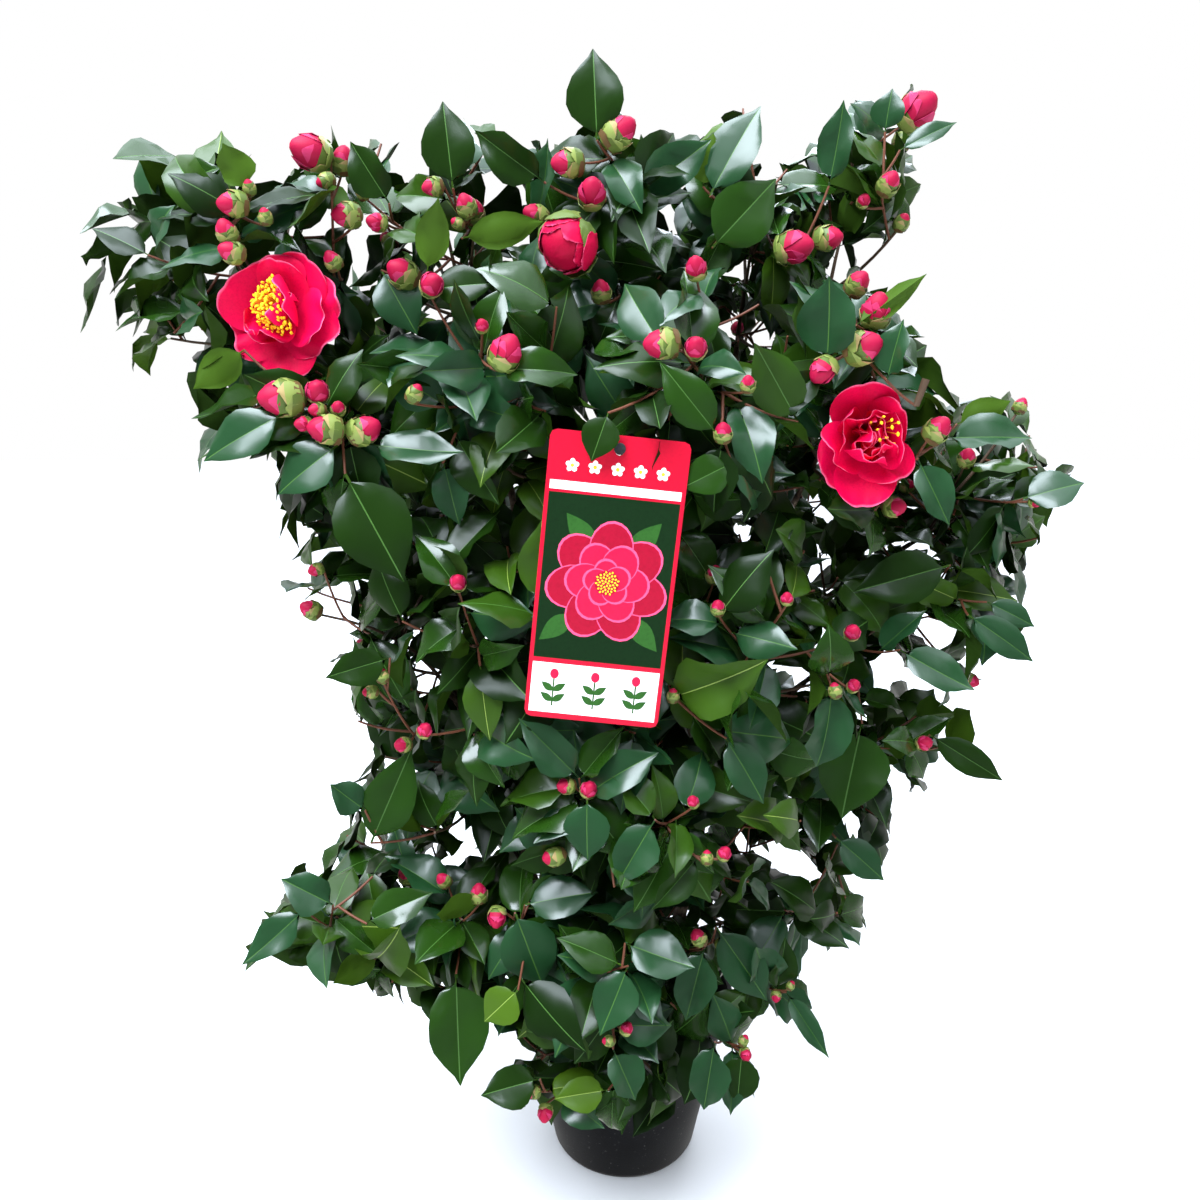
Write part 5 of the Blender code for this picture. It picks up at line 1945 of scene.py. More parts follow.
@dataclass
class Foliage:
    """All the leaves, in one piece for each mass."""

    model: LeafModel = field(default_factory=LeafModel)

    def build(self, growers: Sequence[Grower]) -> int:
        """Copies the pattern leaves to every leaf's place.

        Args:
            growers: The grown masses.

        Returns:
            How many leaves there are.
        """
        patterns = [self.model.pattern(form) for form in self.model.forms]
        finishes = [finish.make() for finish in LEAF_FINISHES]
        for grower in growers:
            bundle = Bundle("leaves_" + grower.mass.name, finishes)
            for spot in grower.leaves:
                broad, long = spot.width / self.model.width, spot.length / self.model.length
                young = spot.green.value >= Green.FRESH.value
                slots = (spot.green.value, RIB_FIRST + int(young), UNDER_FIRST + spot.under)
                turn = aim_frame(spot.way, spot.face) @ Matrix.Diagonal((broad, long, long))
                bundle.add(patterns[spot.form], turn, spot.foot, slots)
            hand_over(bundle.build(62.0), ["mass_" + grower.mass.name])
        return sum(len(grower.leaves) for grower in growers)


@dataclass
class Twigs:
    """All the twigs in two pieces, brown where they are older and reddish where they are young."""

    sides: int = 6
    split: float = 1.5 * MM

    def build(self, growers: Sequence[Grower]) -> None:
        """Sweeps every twig of the grown masses along its line.

        Args:
            growers: The grown masses.
        """
        nodes = ["mass_" + grower.mass.name for grower in growers]
        for name, young, finish in (("twigs_older", False, TWIG_OLD), ("twigs_young", True, TWIG_YOUNG)):
            tubes = []
            for grower in growers:
                aged = [twig for twig in grower.twigs if (twig.base < self.split) == young]
                tubes += [twig.tube() for twig in aged if twig.used > 0.0]
                tubes += [] if young else grower.stalks
            hand_over(dress(sweep(name, tubes, self.sides), finish, 70.0), nodes)


# ---------------------------------------------------------------- buds
@dataclass(frozen=True)
class ScaleRing:
    """Scales round a bud: how high they reach, their stand-off in mm, finish, count and turn."""

    top: float
    offset: float
    part: int
    count: int
    turn: float


@dataclass(frozen=True)
class ScaleForm:
    """The form that bud scales share: how they round off, spread and stand."""

    side: float = 0.56
    stand: float = 0.62
    # From which level the top rounds off, how soon, and how far at the most, as a square.
    round_from: float = 0.35
    round_depth: float = 0.43
    round_least: float = 0.03
    foot_width: float = 0.55
    foot_slope: float = 1.3
    corner_drop: float = 0.06
    # How much further off the core each next scale of a ring stands.
    overlap: float = 0.3
    thick: float = 0.018


SCALE_FORM = ScaleForm()


def wrap_ring(core: Piece, width: float, length: float, ring: ScaleRing, cuts: int = 4) -> list[Piece]:
    """Wraps a ring of round-topped scales or petals on to an egg.

    Args:
        core: The egg that they hug, standing on the origin.
        width: How wide the egg is.
        length: How tall it is.
        ring: The ring.
        cuts: Faces along each side of a scale.

    Returns:
        The scales, each thin and closed at its rim, with "along" running up it.
    """
    made, form = [], SCALE_FORM
    for index in range(ring.count):
        grid = bpy.ops.mesh.primitive_grid_add
        scale = begin(grid, x_subdivisions=cuts, y_subdivisions=cuts, size=2)
        shade = scale.data.attributes.new("along", "FLOAT", "POINT")
        for point in scale.data.vertices:
            level, aside = (point.co.y + 1.0) / 2.0, point.co.x
            shade.data[point.index].value = max(level, abs(aside) ** 3)
            drop = max(0.0, level - form.round_from) ** 2 / form.round_depth
            round_top = math.sqrt(max(form.round_least, 1.0 - drop))
            foot = min(1.0, form.foot_width + level * form.foot_slope)
            side = aside * width * form.side * round_top * foot
            rise = ring.top * length * level * (1.0 - form.corner_drop * aside**2)
            point.co = (side, -width * form.stand, rise)
        scale.data.transform(Matrix.Rotation(ring.turn + math.tau * index / ring.count, 4, "Z"))
        hug = {"wrap_method": "NEAREST_SURFACEPOINT", "wrap_mode": "OUTSIDE_SURFACE", "target": core}
        offset = ring.offset * MM * (1.0 + form.overlap * index)
        apply_modifier(scale, "SHRINKWRAP", offset=offset, **hug)
        apply_modifier(scale, "SOLIDIFY", thickness=form.thick * width, offset=1.0, use_rim_only=True)
        made.append(scale)
    return made


@dataclass
class BudModel:
    """A flower bud 20 mm long: an egg of furled petals in overlapping scales.

    Its parts are scales, pale scales, brown scales, petals, pink petals and pale rims.
    """

    length: float = 20 * MM
    width: float = 14.4 * MM
    petals: int = 3
    # The part that a scale of each part has at its foot, and at its rim.
    feet: tuple[int, ...] = (2, 0, 0, 3, 3)
    rims: tuple[int, ...] = (1, 5, 2, 4, 4)
    # Where the foot's finish ends and the rim's begins, as shares of a scale.
    foot_end: float = 0.3
    rim_start: float = 0.85
    # The tip's two pinches: where each begins, as a share of the length, and how much it narrows.
    pinches: tuple[Pair, ...] = ((0.62, 0.90), (0.85, 0.86))
    # Up to this share of the highest scale's top, what lies under the scales is green.
    cover_share: float = 0.8
    # How deep a bud's foot sits behind its place.
    sink: float = 0.8 * MM

    def rings(self, stage: BudStage) -> tuple[ScaleRing, ...]:
        """Gives a stage's rings of scales, from the foot up.

        Args:
            stage: The stage.

        Returns:
            The rings.
        """
        rows = {
            BudStage.CLOSED: ((0.34, 0.60, 2), (0.62, 0.42, 0), (0.84, 0.24, 1), (0.95, 0.06, 0)),
            BudStage.SHOWING: (
                *((0.30, 1.00, 2), (0.52, 0.80, 0), (0.70, 0.62, 1)),
                *((0.78, 0.46, 0), (0.97, 0.02, 3)),
            ),
            BudStage.OPENING: ((0.26, 1.00, 0), (0.50, 0.80, 1), (0.90, 0.40, 3), (0.97, 0.08, 3)),
        }
        turns = ((3, 0.3), (3, 1.3), (3, 2.2), (2, 0.7), (3, 1.6))
        return tuple(ScaleRing(*row, *turn) for row, turn in zip(rows[stage], turns))

    def core(self) -> Piece:
        """Models the furled petals as an egg with a pinched tip."""
        core = begin(bpy.ops.mesh.primitive_uv_sphere_add, segments=10, ring_count=7, radius=0.5)
        core.data.transform(Matrix.Diagonal((self.width, self.width, self.length, 1.0)))
        core.data.transform(Matrix.Translation((0.0, 0.0, self.length / 2)))
        bench = Bench(core)
        for share, pinch in self.pinches:
            level = self.length * share
            bench.pick(lambda p: p.co.z > level).scale(pinch, pinch, 1.0, (0.0, 0.0, level))
        return bench.done()

    def pattern(self, stage: BudStage) -> Pattern:
        """Models a bud, standing on the origin along +Z.

        Args:
            stage: How far it has come.

        Returns:
            The bud as a pattern. Below its highest scale the core and the petals are green, so
            that no crimson shows through a gap between scales.
        """
        core, rings = self.core(), self.rings(stage)
        pieces = [(core, self.petals)]
        for ring in rings:
            pieces += [(scale, ring.part) for scale in wrap_ring(core, self.width, self.length, ring)]
        cover = self.cover_share * self.length * max(ring.top for ring in rings if ring.part < self.petals)
        for piece, part in pieces:
            marks = piece.data.attributes.new("part", "INT", "FACE").data
            shade = piece.data.attributes.get("along")
            for face in piece.data.polygons:
                levels = [shade.data[point].value for point in face.vertices] if shade else [0.5]
                level = sum(levels) / len(levels)
                kind = part
                if level < self.foot_end or level > self.rim_start:
                    kind = (self.feet if level < self.foot_end else self.rims)[part]
                marks[face.index].value = 0 if part == self.petals and face.center.z < cover else kind
        return read_pattern(join([piece for piece, _ in pieces], "bud"))


# Buds that show, from the top left of the frame to its foot.
BUD_MARKS = tuple(
    BudMark(*mark)
    for mark in (
        (310, 152, 34, 160, 0.4, "opening"), (343, 160, 24, 80), (325, 181, 16, 200, 0.3, "closed"),
        (362, 191, 14, 120), (346, 215, 25, 180), (376, 222, 18, 170, 0.4, "opening"),
        (432, 187, 18, 190), (466, 205, 20, 110), (457, 223, 12, 150, 0.3, "closed"),
        (232, 204, 24, 180), (226, 231, 20, 110), (249, 187, 13, 100, 0.3, "closed"),
        (265, 216, 14, 100, 0.3, "closed"), (231, 252, 21, 160), (332, 260, 17, 120),
        (402, 273, 29, 145, 0.5), (432, 284, 22, 60, 1.6, "opening"),
        (482, 325, 12, 90, 1.0, "opening"), (506, 352, 29, 65, 0.3, "opening"),
        (281, 398, 35, 180, 0.2), (317, 391, 22, 90, 1.8, "opening"), (338, 408, 14, 90, 1.4),
        (316, 410, 14, 180, 0.6), (325, 429, 28, 172, 0.2), (302, 424, 14, 180, 0.6, "opening"),
        (365, 430, 28, 25, 0.5), (415, 393, 16, 60, 0.3, "closed"), (619, 132, 31, 35, 0.2),
        (567, 163, 27, 180, 0.3), (592, 192, 27, 90, 0.9, "opening"), (535, 215, 22, 155, 0.4),
        (601, 291, 20, 95, 0.4), (696, 267, 20, 95, 0.8, "opening"), (795, 247, 33, 8, 0.5, "opening"),
        (829, 238, 25, 5, 0.4), (918, 110, 38, 40, 0.5, "opening"), (889, 183, 22, 60, 0.4),
        (864, 200, 13, 60, 0.6, "opening"), (858, 283, 22, 55, 0.4),
        (877, 310, 29, 80, 0.4, "opening"), (864, 347, 31, 20, 0.4),
        (822, 371, 24, 228, 0.6, "opening"), (661, 344, 28, 180, 0.3),
        (696, 347, 20, 90, 1.5, "opening"), (748, 383, 14, 90, 0.6), (723, 432, 17, 90, 0.6),
        (938, 429, 24, 50, 0.4), (1036, 502, 12, 0, 0.3, "opening"),
        (458, 582, 16, 90, 1.5, "opening"), (315, 570, 14, 200, 0.5), (718, 607, 14, 90, 0.8),
        (787, 598, 12, 90, 0.8, "opening"), (853, 632, 16, 60, 1.5, "opening"),
        (854, 685, 13, 60, 1.0, "opening"), (835, 690, 14, 100, 0.3, "closed"),
        (925, 743, 17, 20, 1.2, "opening"), (402, 745, 17, 180, 1.0),
        (425, 730, 15, 60, 1.2, "opening"), (382, 675, 14, 100, 0.3, "closed"),
        (370, 692, 14, 180, 0.3, "closed"), (673, 695, 13, 90, 0.5, "closed"),
        (693, 801, 12, 100, 1.0, "opening"), (565, 786, 17, 180, 0.8),
        (589, 789, 17, 60, 1.6, "opening"), (443, 880, 16, 130, 0.6), (479, 893, 20, 90, 0.5),
        (497, 918, 20, 260, 0.4, "opening"), (707, 857, 13, 90, 0.3, "closed"),
        (725, 853, 14, 60, 0.9, "opening"), (698, 937, 17, 120, 0.6), (721, 946, 13, 300, 0.4),
        (776, 997, 12, 270, 0.5), (791, 985, 10, 60, 0.3, "closed"),
        (627, 1028, 13, 60, 0.6, "opening"), (608, 1041, 12, 180, 0.4, "closed"),
        (746, 1055, 13, 300, 0.6, "opening"), (744, 1040, 12, 60, 0.4, "closed"),
        (532, 1092, 15, 180, 0.4), (545, 1114, 17, 262, 0.4, "opening"),
    )
)
# The leaf forms that show the most of a leaf, for marked ones.
MARK_FORMS = (0, 3, 6, 0)
# Leaves that make the outline, and the large ones that catch the eye. A mark's tint partly paints the light
# on its leaf: DARK for a leaf in shade, and COOL, the default, for one in the sky's sheen.
LEAF_MARKS = tuple(
    LeafMark(mark[:2], mark[2:4], *mark[4:])
    for mark in (
        (597, 140, 593, 50, 56, "DARK"), (453, 188, 443, 103, 52, "DARK"),
        (544, 182, 477, 133, 46, "DARK"), (389, 203, 351, 144, 44, "DARK"),
        (427, 272, 438, 200, 33, "YOUNG", True), (462, 238, 542, 222, 34, "YOUNG", True),
        (381, 270, 415, 330, 48), (283, 414, 201, 456, 48), (369, 444, 462, 457, 42),
        (338, 445, 276, 490, 52), (244, 350, 196, 387, 36, "FRESH", True),
        (244, 190, 224, 145, 40, "FRESH", True), (710, 196, 756, 105, 52),
        (703, 187, 712, 135, 44, "FRESH", True), (712, 248, 775, 180, 60, "GLOSS"),
        (829, 186, 846, 105, 38), (885, 132, 891, 90, 34), (900, 150, 955, 119, 22),
        (827, 363, 832, 279, 62), (887, 380, 901, 322, 42), (856, 325, 923, 277, 26, "FRESH", True),
        (798, 422, 756, 344, 52, "MID"), (717, 434, 663, 366, 44, "GLOSS"), (946, 438, 1030, 435, 48),
        (1023, 499, 1083, 480, 42), (957, 424, 1008, 402, 30, "FRESH", True), (918, 459, 949, 523, 40),
        (950, 565, 860, 590, 52, "DARK"), (987, 602, 1036, 625, 26), (968, 615, 1036, 660, 34),
        (900, 650, 968, 690, 40), (930, 735, 1005, 782, 30, "DARK"), (862, 724, 842, 812, 70, "GLOSS"),
        (836, 838, 886, 880, 34), (608, 413, 592, 459, 38, "DARK", False, -0.2455),
        (732, 463, 684, 487, 40, "GLOSS"), (345, 474, 402, 578, 76, "DARK"),
        (390, 658, 329, 676, 38, "DARK"), (371, 843, 408, 757, 50, "GLOSS"), (365, 810, 330, 785, 34),
        (304, 910, 250, 962, 34), (333, 905, 284, 880, 45), (456, 974, 459, 1074, 62, "GLOSS"),
        (515, 913, 543, 988, 56), (525, 905, 592, 890, 44), (587, 799, 586, 861, 46),
        (579, 778, 523, 722, 44), (655, 820, 617, 882, 48), (628, 966, 604, 1030, 46),
        (625, 943, 690, 969, 50), (705, 947, 685, 1020, 44), (716, 927, 770, 1003, 45),
        (786, 992, 824, 1052, 22), (715, 1042, 703, 1110, 44), (742, 1052, 737, 1106, 38, "DARK"),
        (613, 1049, 636, 1100, 42), (540, 1079, 484, 1094, 42, "DARK"),
        (608, 1090, 556, 1098, 34, "YOUNG"), (518, 990, 484, 1022, 40, "YOUNG"),
    )
)


@dataclass
class Buds:
    """All the buds in one piece."""

    model: BudModel = field(default_factory=BudModel)

    def build(self, growers: Sequence[Grower]) -> None:
        """Copies the pattern buds to every bud's place in the grown masses.

        Args:
            growers: The grown masses.
        """
        patterns = {stage: self.model.pattern(stage) for stage in BudStage}
        bundle = Bundle("flower_buds", [finish.make() for finish in BUD_FINISHES])
        spin = random.Random("bud spin")
        for grower in growers:
            for bud in grower.buds:
                turn = stand_along(bud.way) @ Matrix.Rotation(spin.uniform(0.0, math.tau), 3, "Z")
                turn @= Matrix.Scale(bud.length / self.model.length, 3)
                foot = bud.foot - bud.way * self.model.sink
                bundle.add(patterns[bud.stage], turn, foot, range(len(BUD_FINISHES)))
        hand_over(bundle.build(50.0), ["mass_" + grower.mass.name for grower in growers])


# ---------------------------------------------------------------- blooms
@dataclass(frozen=True)
class PetalShape:
    """A petal: its size in millimetres, lift, curl and turn in degrees, and its foot's place.

    A turn of 0 is up in the bloom, and a quarter turn is to the left.
    """

    length: float
    width: float
    lift: float
    curl: float
    ruffle: float
    turn: float
    foot: float = 3.0


@dataclass(frozen=True)
class PetalHabit:
    """How petals vary, and the form that they share."""

    lengths: Pair = (0.92, 1.08)
    widths: Pair = (0.90, 1.08)
    curls: Pair = (0.7, 1.3)
    rolls: Pair = (-0.35, 0.45)
    slant: float = 0.16
    lift: float = 4.0
    turn: float = 6.0
    # The notch at the tip: how deep it is, and how narrow.
    notch: float = 0.07
    notch_narrow: float = 30.0
    round_tip: float = 0.16
    cup: float = 0.16
    thick: float = 0.5 * MM


@dataclass(frozen=True)
class StamenHabit:
    """How stamens spread and vary, as shares of the boss's height, and how large they are."""

    sway: float = 0.10
    longest: float = 1.10
    shorter_aside: float = 0.22
    vary: float = 0.12
    spread: float = 0.30
    # How far up the bloom they stand, as a share of its radius.
    rise: float = 0.18
    # On the bare side, stamens past this share of the boss and within this cosine are left out.
    bare_from: float = 0.35
    bare_cosine: float = 0.45
    thread_foot: float = 0.6 * MM
    thread_tip: float = 0.4 * MM
    head: Place = (1.3 * MM, 1.0 * MM, 1.9 * MM)


PETAL_HABIT = PetalHabit()
STAMEN_HABIT = StamenHabit()


@dataclass(frozen=True)
class Bloom:
    """A flower: its mass, place, facing, depth, petals and stamens; or a furled ball.

    The boss of stamens sits aside of the middle, and is bare on the side that petaloids stand on.
    """

    name: str
    mass: str
    centre: Place
    facing: Place
    radius: float
    cup: float
    petals: tuple[PetalShape, ...] = ()
    stamens: int = 0
    boss: float = 0.0
    splay: float = 0.8
    aside: Pair = (0.0, 0.0)
    bare: float | None = None

    def way(self) -> Vector:
        """Gives the way that the bloom faces."""
        return Vector(self.facing).normalized()

    def place(self, back: float = 0.35) -> Matrix:
        """Gives the bloom's place, as many radii back, and its turn, its +Z being its way."""
        foot = Vector(self.centre) - self.way() * self.radius * back
        return Matrix.Translation(foot) @ stand_along(self.way()).to_4x4()

    def build(self) -> None:
        """Models the bloom's petals and stamens, and faces them as it looks."""
        chance = random.Random("bloom " + self.name)
        if self.petals:
            bloom = join([self.petal(shape, chance) for shape in self.petals], "bloom_" + self.name)
            bloom.data.transform(self.place())
            dress(bloom, PETAL, 75.0)
        else:
            bloom = self.furled()
            smooth(bloom, 75.0)
        hand_over(bloom, ["mass_" + self.mass])
        if self.stamens:
            self.build_stamens(chance)

    def petal(self, shape: PetalShape, chance: random.Random) -> Piece:
        """Models one petal: a broad blade, notched, ruffled and curled.

        Args:
            shape: Its shape.
            chance: The bloom's random numbers.

        Returns:
            The petal, in the bloom's own frame with +Z ahead.
        """
        habit = PETAL_HABIT
        petal = begin(bpy.ops.mesh.primitive_grid_add, x_subdivisions=9, y_subdivisions=8, size=2)
        length = shape.length * MM * chance.uniform(*habit.lengths)
        half = shape.width * MM / 2 * chance.uniform(*habit.widths)
        shade = petal.data.attributes.new("along", "FLOAT", "POINT")
        phase, second = chance.uniform(0.0, math.tau), chance.uniform(0.0, math.tau)
        slant = chance.uniform(-habit.slant, habit.slant)
        curl = math.radians(shape.curl * chance.uniform(*habit.curls))
        roll = chance.uniform(*habit.rolls)
        for point in petal.data.vertices:
            across, ahead = point.co.x, (point.co.y + 1.0) / 2.0
            rim = max(abs(across) ** 3 * ahead, ahead**2)
            shade.data[point.index].value = max(ahead * 0.75, abs(across) ** 8 * ahead, ahead**8)
            broad = math.sin(math.pi * min(1.0, 0.12 + 0.66 * ahead)) ** 0.8
            notch = habit.notch * math.exp(-habit.notch_narrow * (across - slant) ** 2)
            reach = ahead * (1.0 - habit.round_tip * across * across - notch + slant * across)
            ripple = math.sin(phase + 4.2 * across + 2.5 * ahead) + 0.45 * math.sin(second + 9.0 * across)
            rolled = roll * half * max(0.0, across * slant * 6.0) ** 2 * ahead
            wave = shape.ruffle * rim * ripple * length + rolled
            cup = habit.cup * half * across * across * (1.0 - ahead)
            rise = length * reach * math.sin(curl * ahead) * 0.75
            run = length * reach * math.cos(curl * ahead * 0.7)
            point.co = (across * half * broad, run, rise + cup + wave)
        apply_modifier(petal, "SOLIDIFY", thickness=habit.thick, offset=0.0)
        apply_modifier(petal, "SUBSURF", levels=1, render_levels=1)
        lift = math.radians(shape.lift + chance.uniform(-habit.lift, habit.lift))
        spin = math.radians(shape.turn + chance.uniform(-habit.turn, habit.turn))
        foot = Matrix.Translation((0.0, shape.foot * MM, 0.0))
        petal.data.transform(Matrix.Rotation(spin, 4, "Z") @ Matrix.Rotation(lift, 4, "X") @ foot)
        return petal

    def furled(self) -> Piece:
        """Models a half-open bloom: a ball of petals wrapped over each other, in its last scales."""
        ball = bpy.ops.mesh.primitive_uv_sphere_add
        core = settle(begin(ball, segments=24, ring_count=14, radius=self.radius * 0.90))
        core.data.transform(Matrix.Translation((0.0, 0.0, self.radius)))
        rings = ((1.00, 0.5, 0, 3, 0.4), (0.93, 1.3, 0, 3, 1.5), (0.80, 2.1, 0, 3, 2.4))
        rings += ((0.66, 3.0, 1, 4, 0.8),)
        finishes = (PETAL_FURLED.make(), BUD_FINISHES[0].make())
        core.data.materials.append(finishes[0])
        pieces = [core]
        for ring in rings:
            for piece in wrap_ring(core, self.radius * 1.8, self.radius * 2, ScaleRing(*ring), 12):
                piece.data.materials.append(finishes[ring[2]])
                pieces.append(piece)
        bud = join(pieces, "bloom_" + self.name)
        roughen(bud, "petal_folds", 6 * MM, 2, 3.2 * MM)
        bud.data.transform(self.place(1.0))
        return bud

    def build_stamens(self, chance: random.Random) -> None:
        """Fills the bloom's middle with a boss of stamens.

        Args:
            chance: The bloom's random numbers.
        """
        habit = STAMEN_HABIT
        radii = {"radius1": habit.thread_foot, "radius2": habit.thread_tip}
        thread = begin(bpy.ops.mesh.primitive_cone_add, vertices=4, depth=1.0, **radii)
        thread.data.transform(Matrix.Translation((0.0, 0.0, 0.5)))
        threads = read_pattern(thread)
        head = begin(bpy.ops.mesh.primitive_ico_sphere_add, subdivisions=1, radius=1.0)
        head.data.transform(Matrix.Diagonal((*habit.head, 1.0)))
        heads = read_pattern(head)
        bundle = Bundle("stamens_" + self.name, [FILAMENT.make(), ANTHER.make()])
        place = self.place()
        for index in range(self.stamens):
            share = math.sqrt((index + 0.5) / self.stamens)
            spin = index * GOLDEN_ANGLE
            splay = share * self.splay + chance.uniform(-habit.sway, habit.sway)
            is_outer = self.bare is not None and share > habit.bare_from
            if is_outer and math.cos(spin - self.bare) > habit.bare_cosine:
                continue
            vary = chance.uniform(-habit.vary, habit.vary)
            length = self.boss * (habit.longest - habit.shorter_aside * share + vary)
            out = math.sin(splay)
            way = Vector((math.cos(spin) * out, math.sin(spin) * out, math.cos(splay)))
            foot = Vector((math.cos(spin), math.sin(spin), 0.0)) * share * self.boss * habit.spread
            foot += Vector((*self.aside, self.radius * habit.rise))
            stand = place.to_3x3() @ stand_along(way)
            bundle.add(threads, stand @ Matrix.Diagonal((1.0, 1.0, length)), place @ foot, (0,))
            nod = Matrix.Rotation(chance.uniform(0, 3), 3, "X")
            bundle.add(heads, stand @ nod, place @ (foot + way * length), (1,))
        hand_over(bundle.build(50.0), ["mass_" + self.mass])


# The petals of each open bloom, from the outermost in.
PETALS_LEFT = (
    (46, 54, 4, 8, 0.09, 72), (44, 48, 2, 10, 0.1, 118), (49, 50, 4, 8, 0.08, 172),
    (45, 50, 5, 10, 0.09, -132), (44, 50, 3, 10, 0.08, -84), (42, 46, 6, 8, 0.08, -38),
    (40, 54, 8, 12, 0.07, 14), (42, 60, 13, 20, 0.05, 60), (38, 40, 16, 24, 0.1, -18),
    (41, 50, 14, 18, 0.09, -108), (36, 32, 20, 34, 0.16, 128), (34, 34, 26, 36, 0.2, 152),
    (28, 30, 34, 40, 0.2, 140, 10), (27, 38, 46, 66, 0.1, -78, 12), (20, 28, 56, 80, 0.16, -102, 15),
    (18, 20, 40, 60, 0.22, -56, 16),
)
PETALS_RIGHT = (
    (44, 52, 12, 26, 0.08, 8), (40, 42, 20, 36, 0.1, -48), (38, 46, 24, 40, 0.08, -92),
    (38, 44, 22, 40, 0.09, 74), (45, 50, 6, 14, 0.1, 132), (42, 44, 10, 16, 0.1, -140),
    (40, 46, 26, 34, 0.1, 104), (36, 40, 34, 50, 0.14, 18), (33, 40, 40, 56, 0.16, -66),
    (30, 34, 50, 60, 0.2, 48), (28, 32, 52, 62, 0.22, 96), (24, 28, 60, 70, 0.24, -20),
    (30, 34, 46, 56, 0.18, -118), (47, 50, 16, 14, 0.09, 176, 8), (32, 40, 38, 60, 0.14, 160, 12),
    (26, 34, 48, 78, 0.16, -156, 9), (22, 30, 66, 60, 0.2, 120, 6), (20, 24, 70, 50, 0.26, 60, 5),
)
BLOOMS = (
    Bloom(
        *("open_left", "top_left", (-0.262, -0.185, 0.842), (-0.10, -1.0, 0.08), 0.046, 0.30),
        petals=tuple(PetalShape(*petal) for petal in PETALS_LEFT),
        stamens=190,
        boss=19 * MM,
        splay=0.95,
        aside=(2 * MM, 1 * MM),
        bare=math.radians(5.0),
    ),
    Bloom(
        *("open_right", "right_upper", (0.175, -0.190, 0.747), (-0.05, -1.0, 0.06), 0.043, 0.75),
        petals=tuple(PetalShape(*petal) for petal in PETALS_RIGHT),
        stamens=11,
        boss=23 * MM,
        splay=0.25,
        aside=(9 * MM, 8 * MM),
    ),
    Bloom("half_open", "top_centre", (-0.050, -0.180, 0.887), (-0.55, -0.62, -0.55), 0.0205, 1.2),
)


# ---------------------------------------------------------------- bark
@dataclass
class Bark:
    """Stems and boughs as one piece with the bark's relief."""

    plan: CrownPlan
    sides: int = 14
    ring_gap: float = 5 * MM
    relief: float = 0.55 * MM
    knot_gap: float = 38 * MM
    knot_swell: float = 0.10
    knot_spread: float = 0.008

    def fine_tube(self, limb: Limb) -> Tube:
        """Runs closer rings along a limb, with low swellings where leaves once stood.

        Args:
            limb: The limb.

        Returns:
            Its tube.
        """
        rough = self.plan.tube_of(limb)
        length = sum((b - a).length for a, b in zip(rough.points, rough.points[1:]))
        steps = max(8, round(length / self.ring_gap))
        starts = [0.0]
        for a, b in zip(rough.points, rough.points[1:]):
            starts.append(starts[-1] + (b - a).length / length)
        points, radii = [], []
        for step in range(steps + 1):
            share = step / steps
            points.append(along(rough.points, share)[0])
            radius = float(np.interp(share, starts, rough.radii))
            knot = math.exp(-(((share * length / self.knot_gap) % 1.0 - 0.5) ** 2) / self.knot_spread)
            radii.append(radius * (1.0 + self.knot_swell * knot))
        if limb.foot:
            points[0].z = self.plan.soil_level + self.plan.clear
        return Tube(smooth_line(points), radii)

    def build(self) -> None:
        """Sweeps the limbs and raises the bark's relief."""
        tubes = [self.fine_tube(limb) for limb in self.plan.limbs.values()]
        piece = sweep("bark", tubes, self.sides)
        roughen(piece, "bark_relief", 4 * MM, 3, self.relief)
        hand_over(dress(piece, BARK, 50.0), list(self.plan.limbs))


def smooth_line(points: list[Vector]) -> list[Vector]:
    """Rounds the corners of a line by averaging each point with its neighbours.

    Args:
        points: The line's points.

    Returns:
        As many points, the two ends where they were.
    """
    for _ in range(6):
        inner = [(a + b * 2 + c) / 4 for a, b, c in zip(points, points[1:], points[2:])]
        points = [points[0], *inner, points[-1]]
    return points


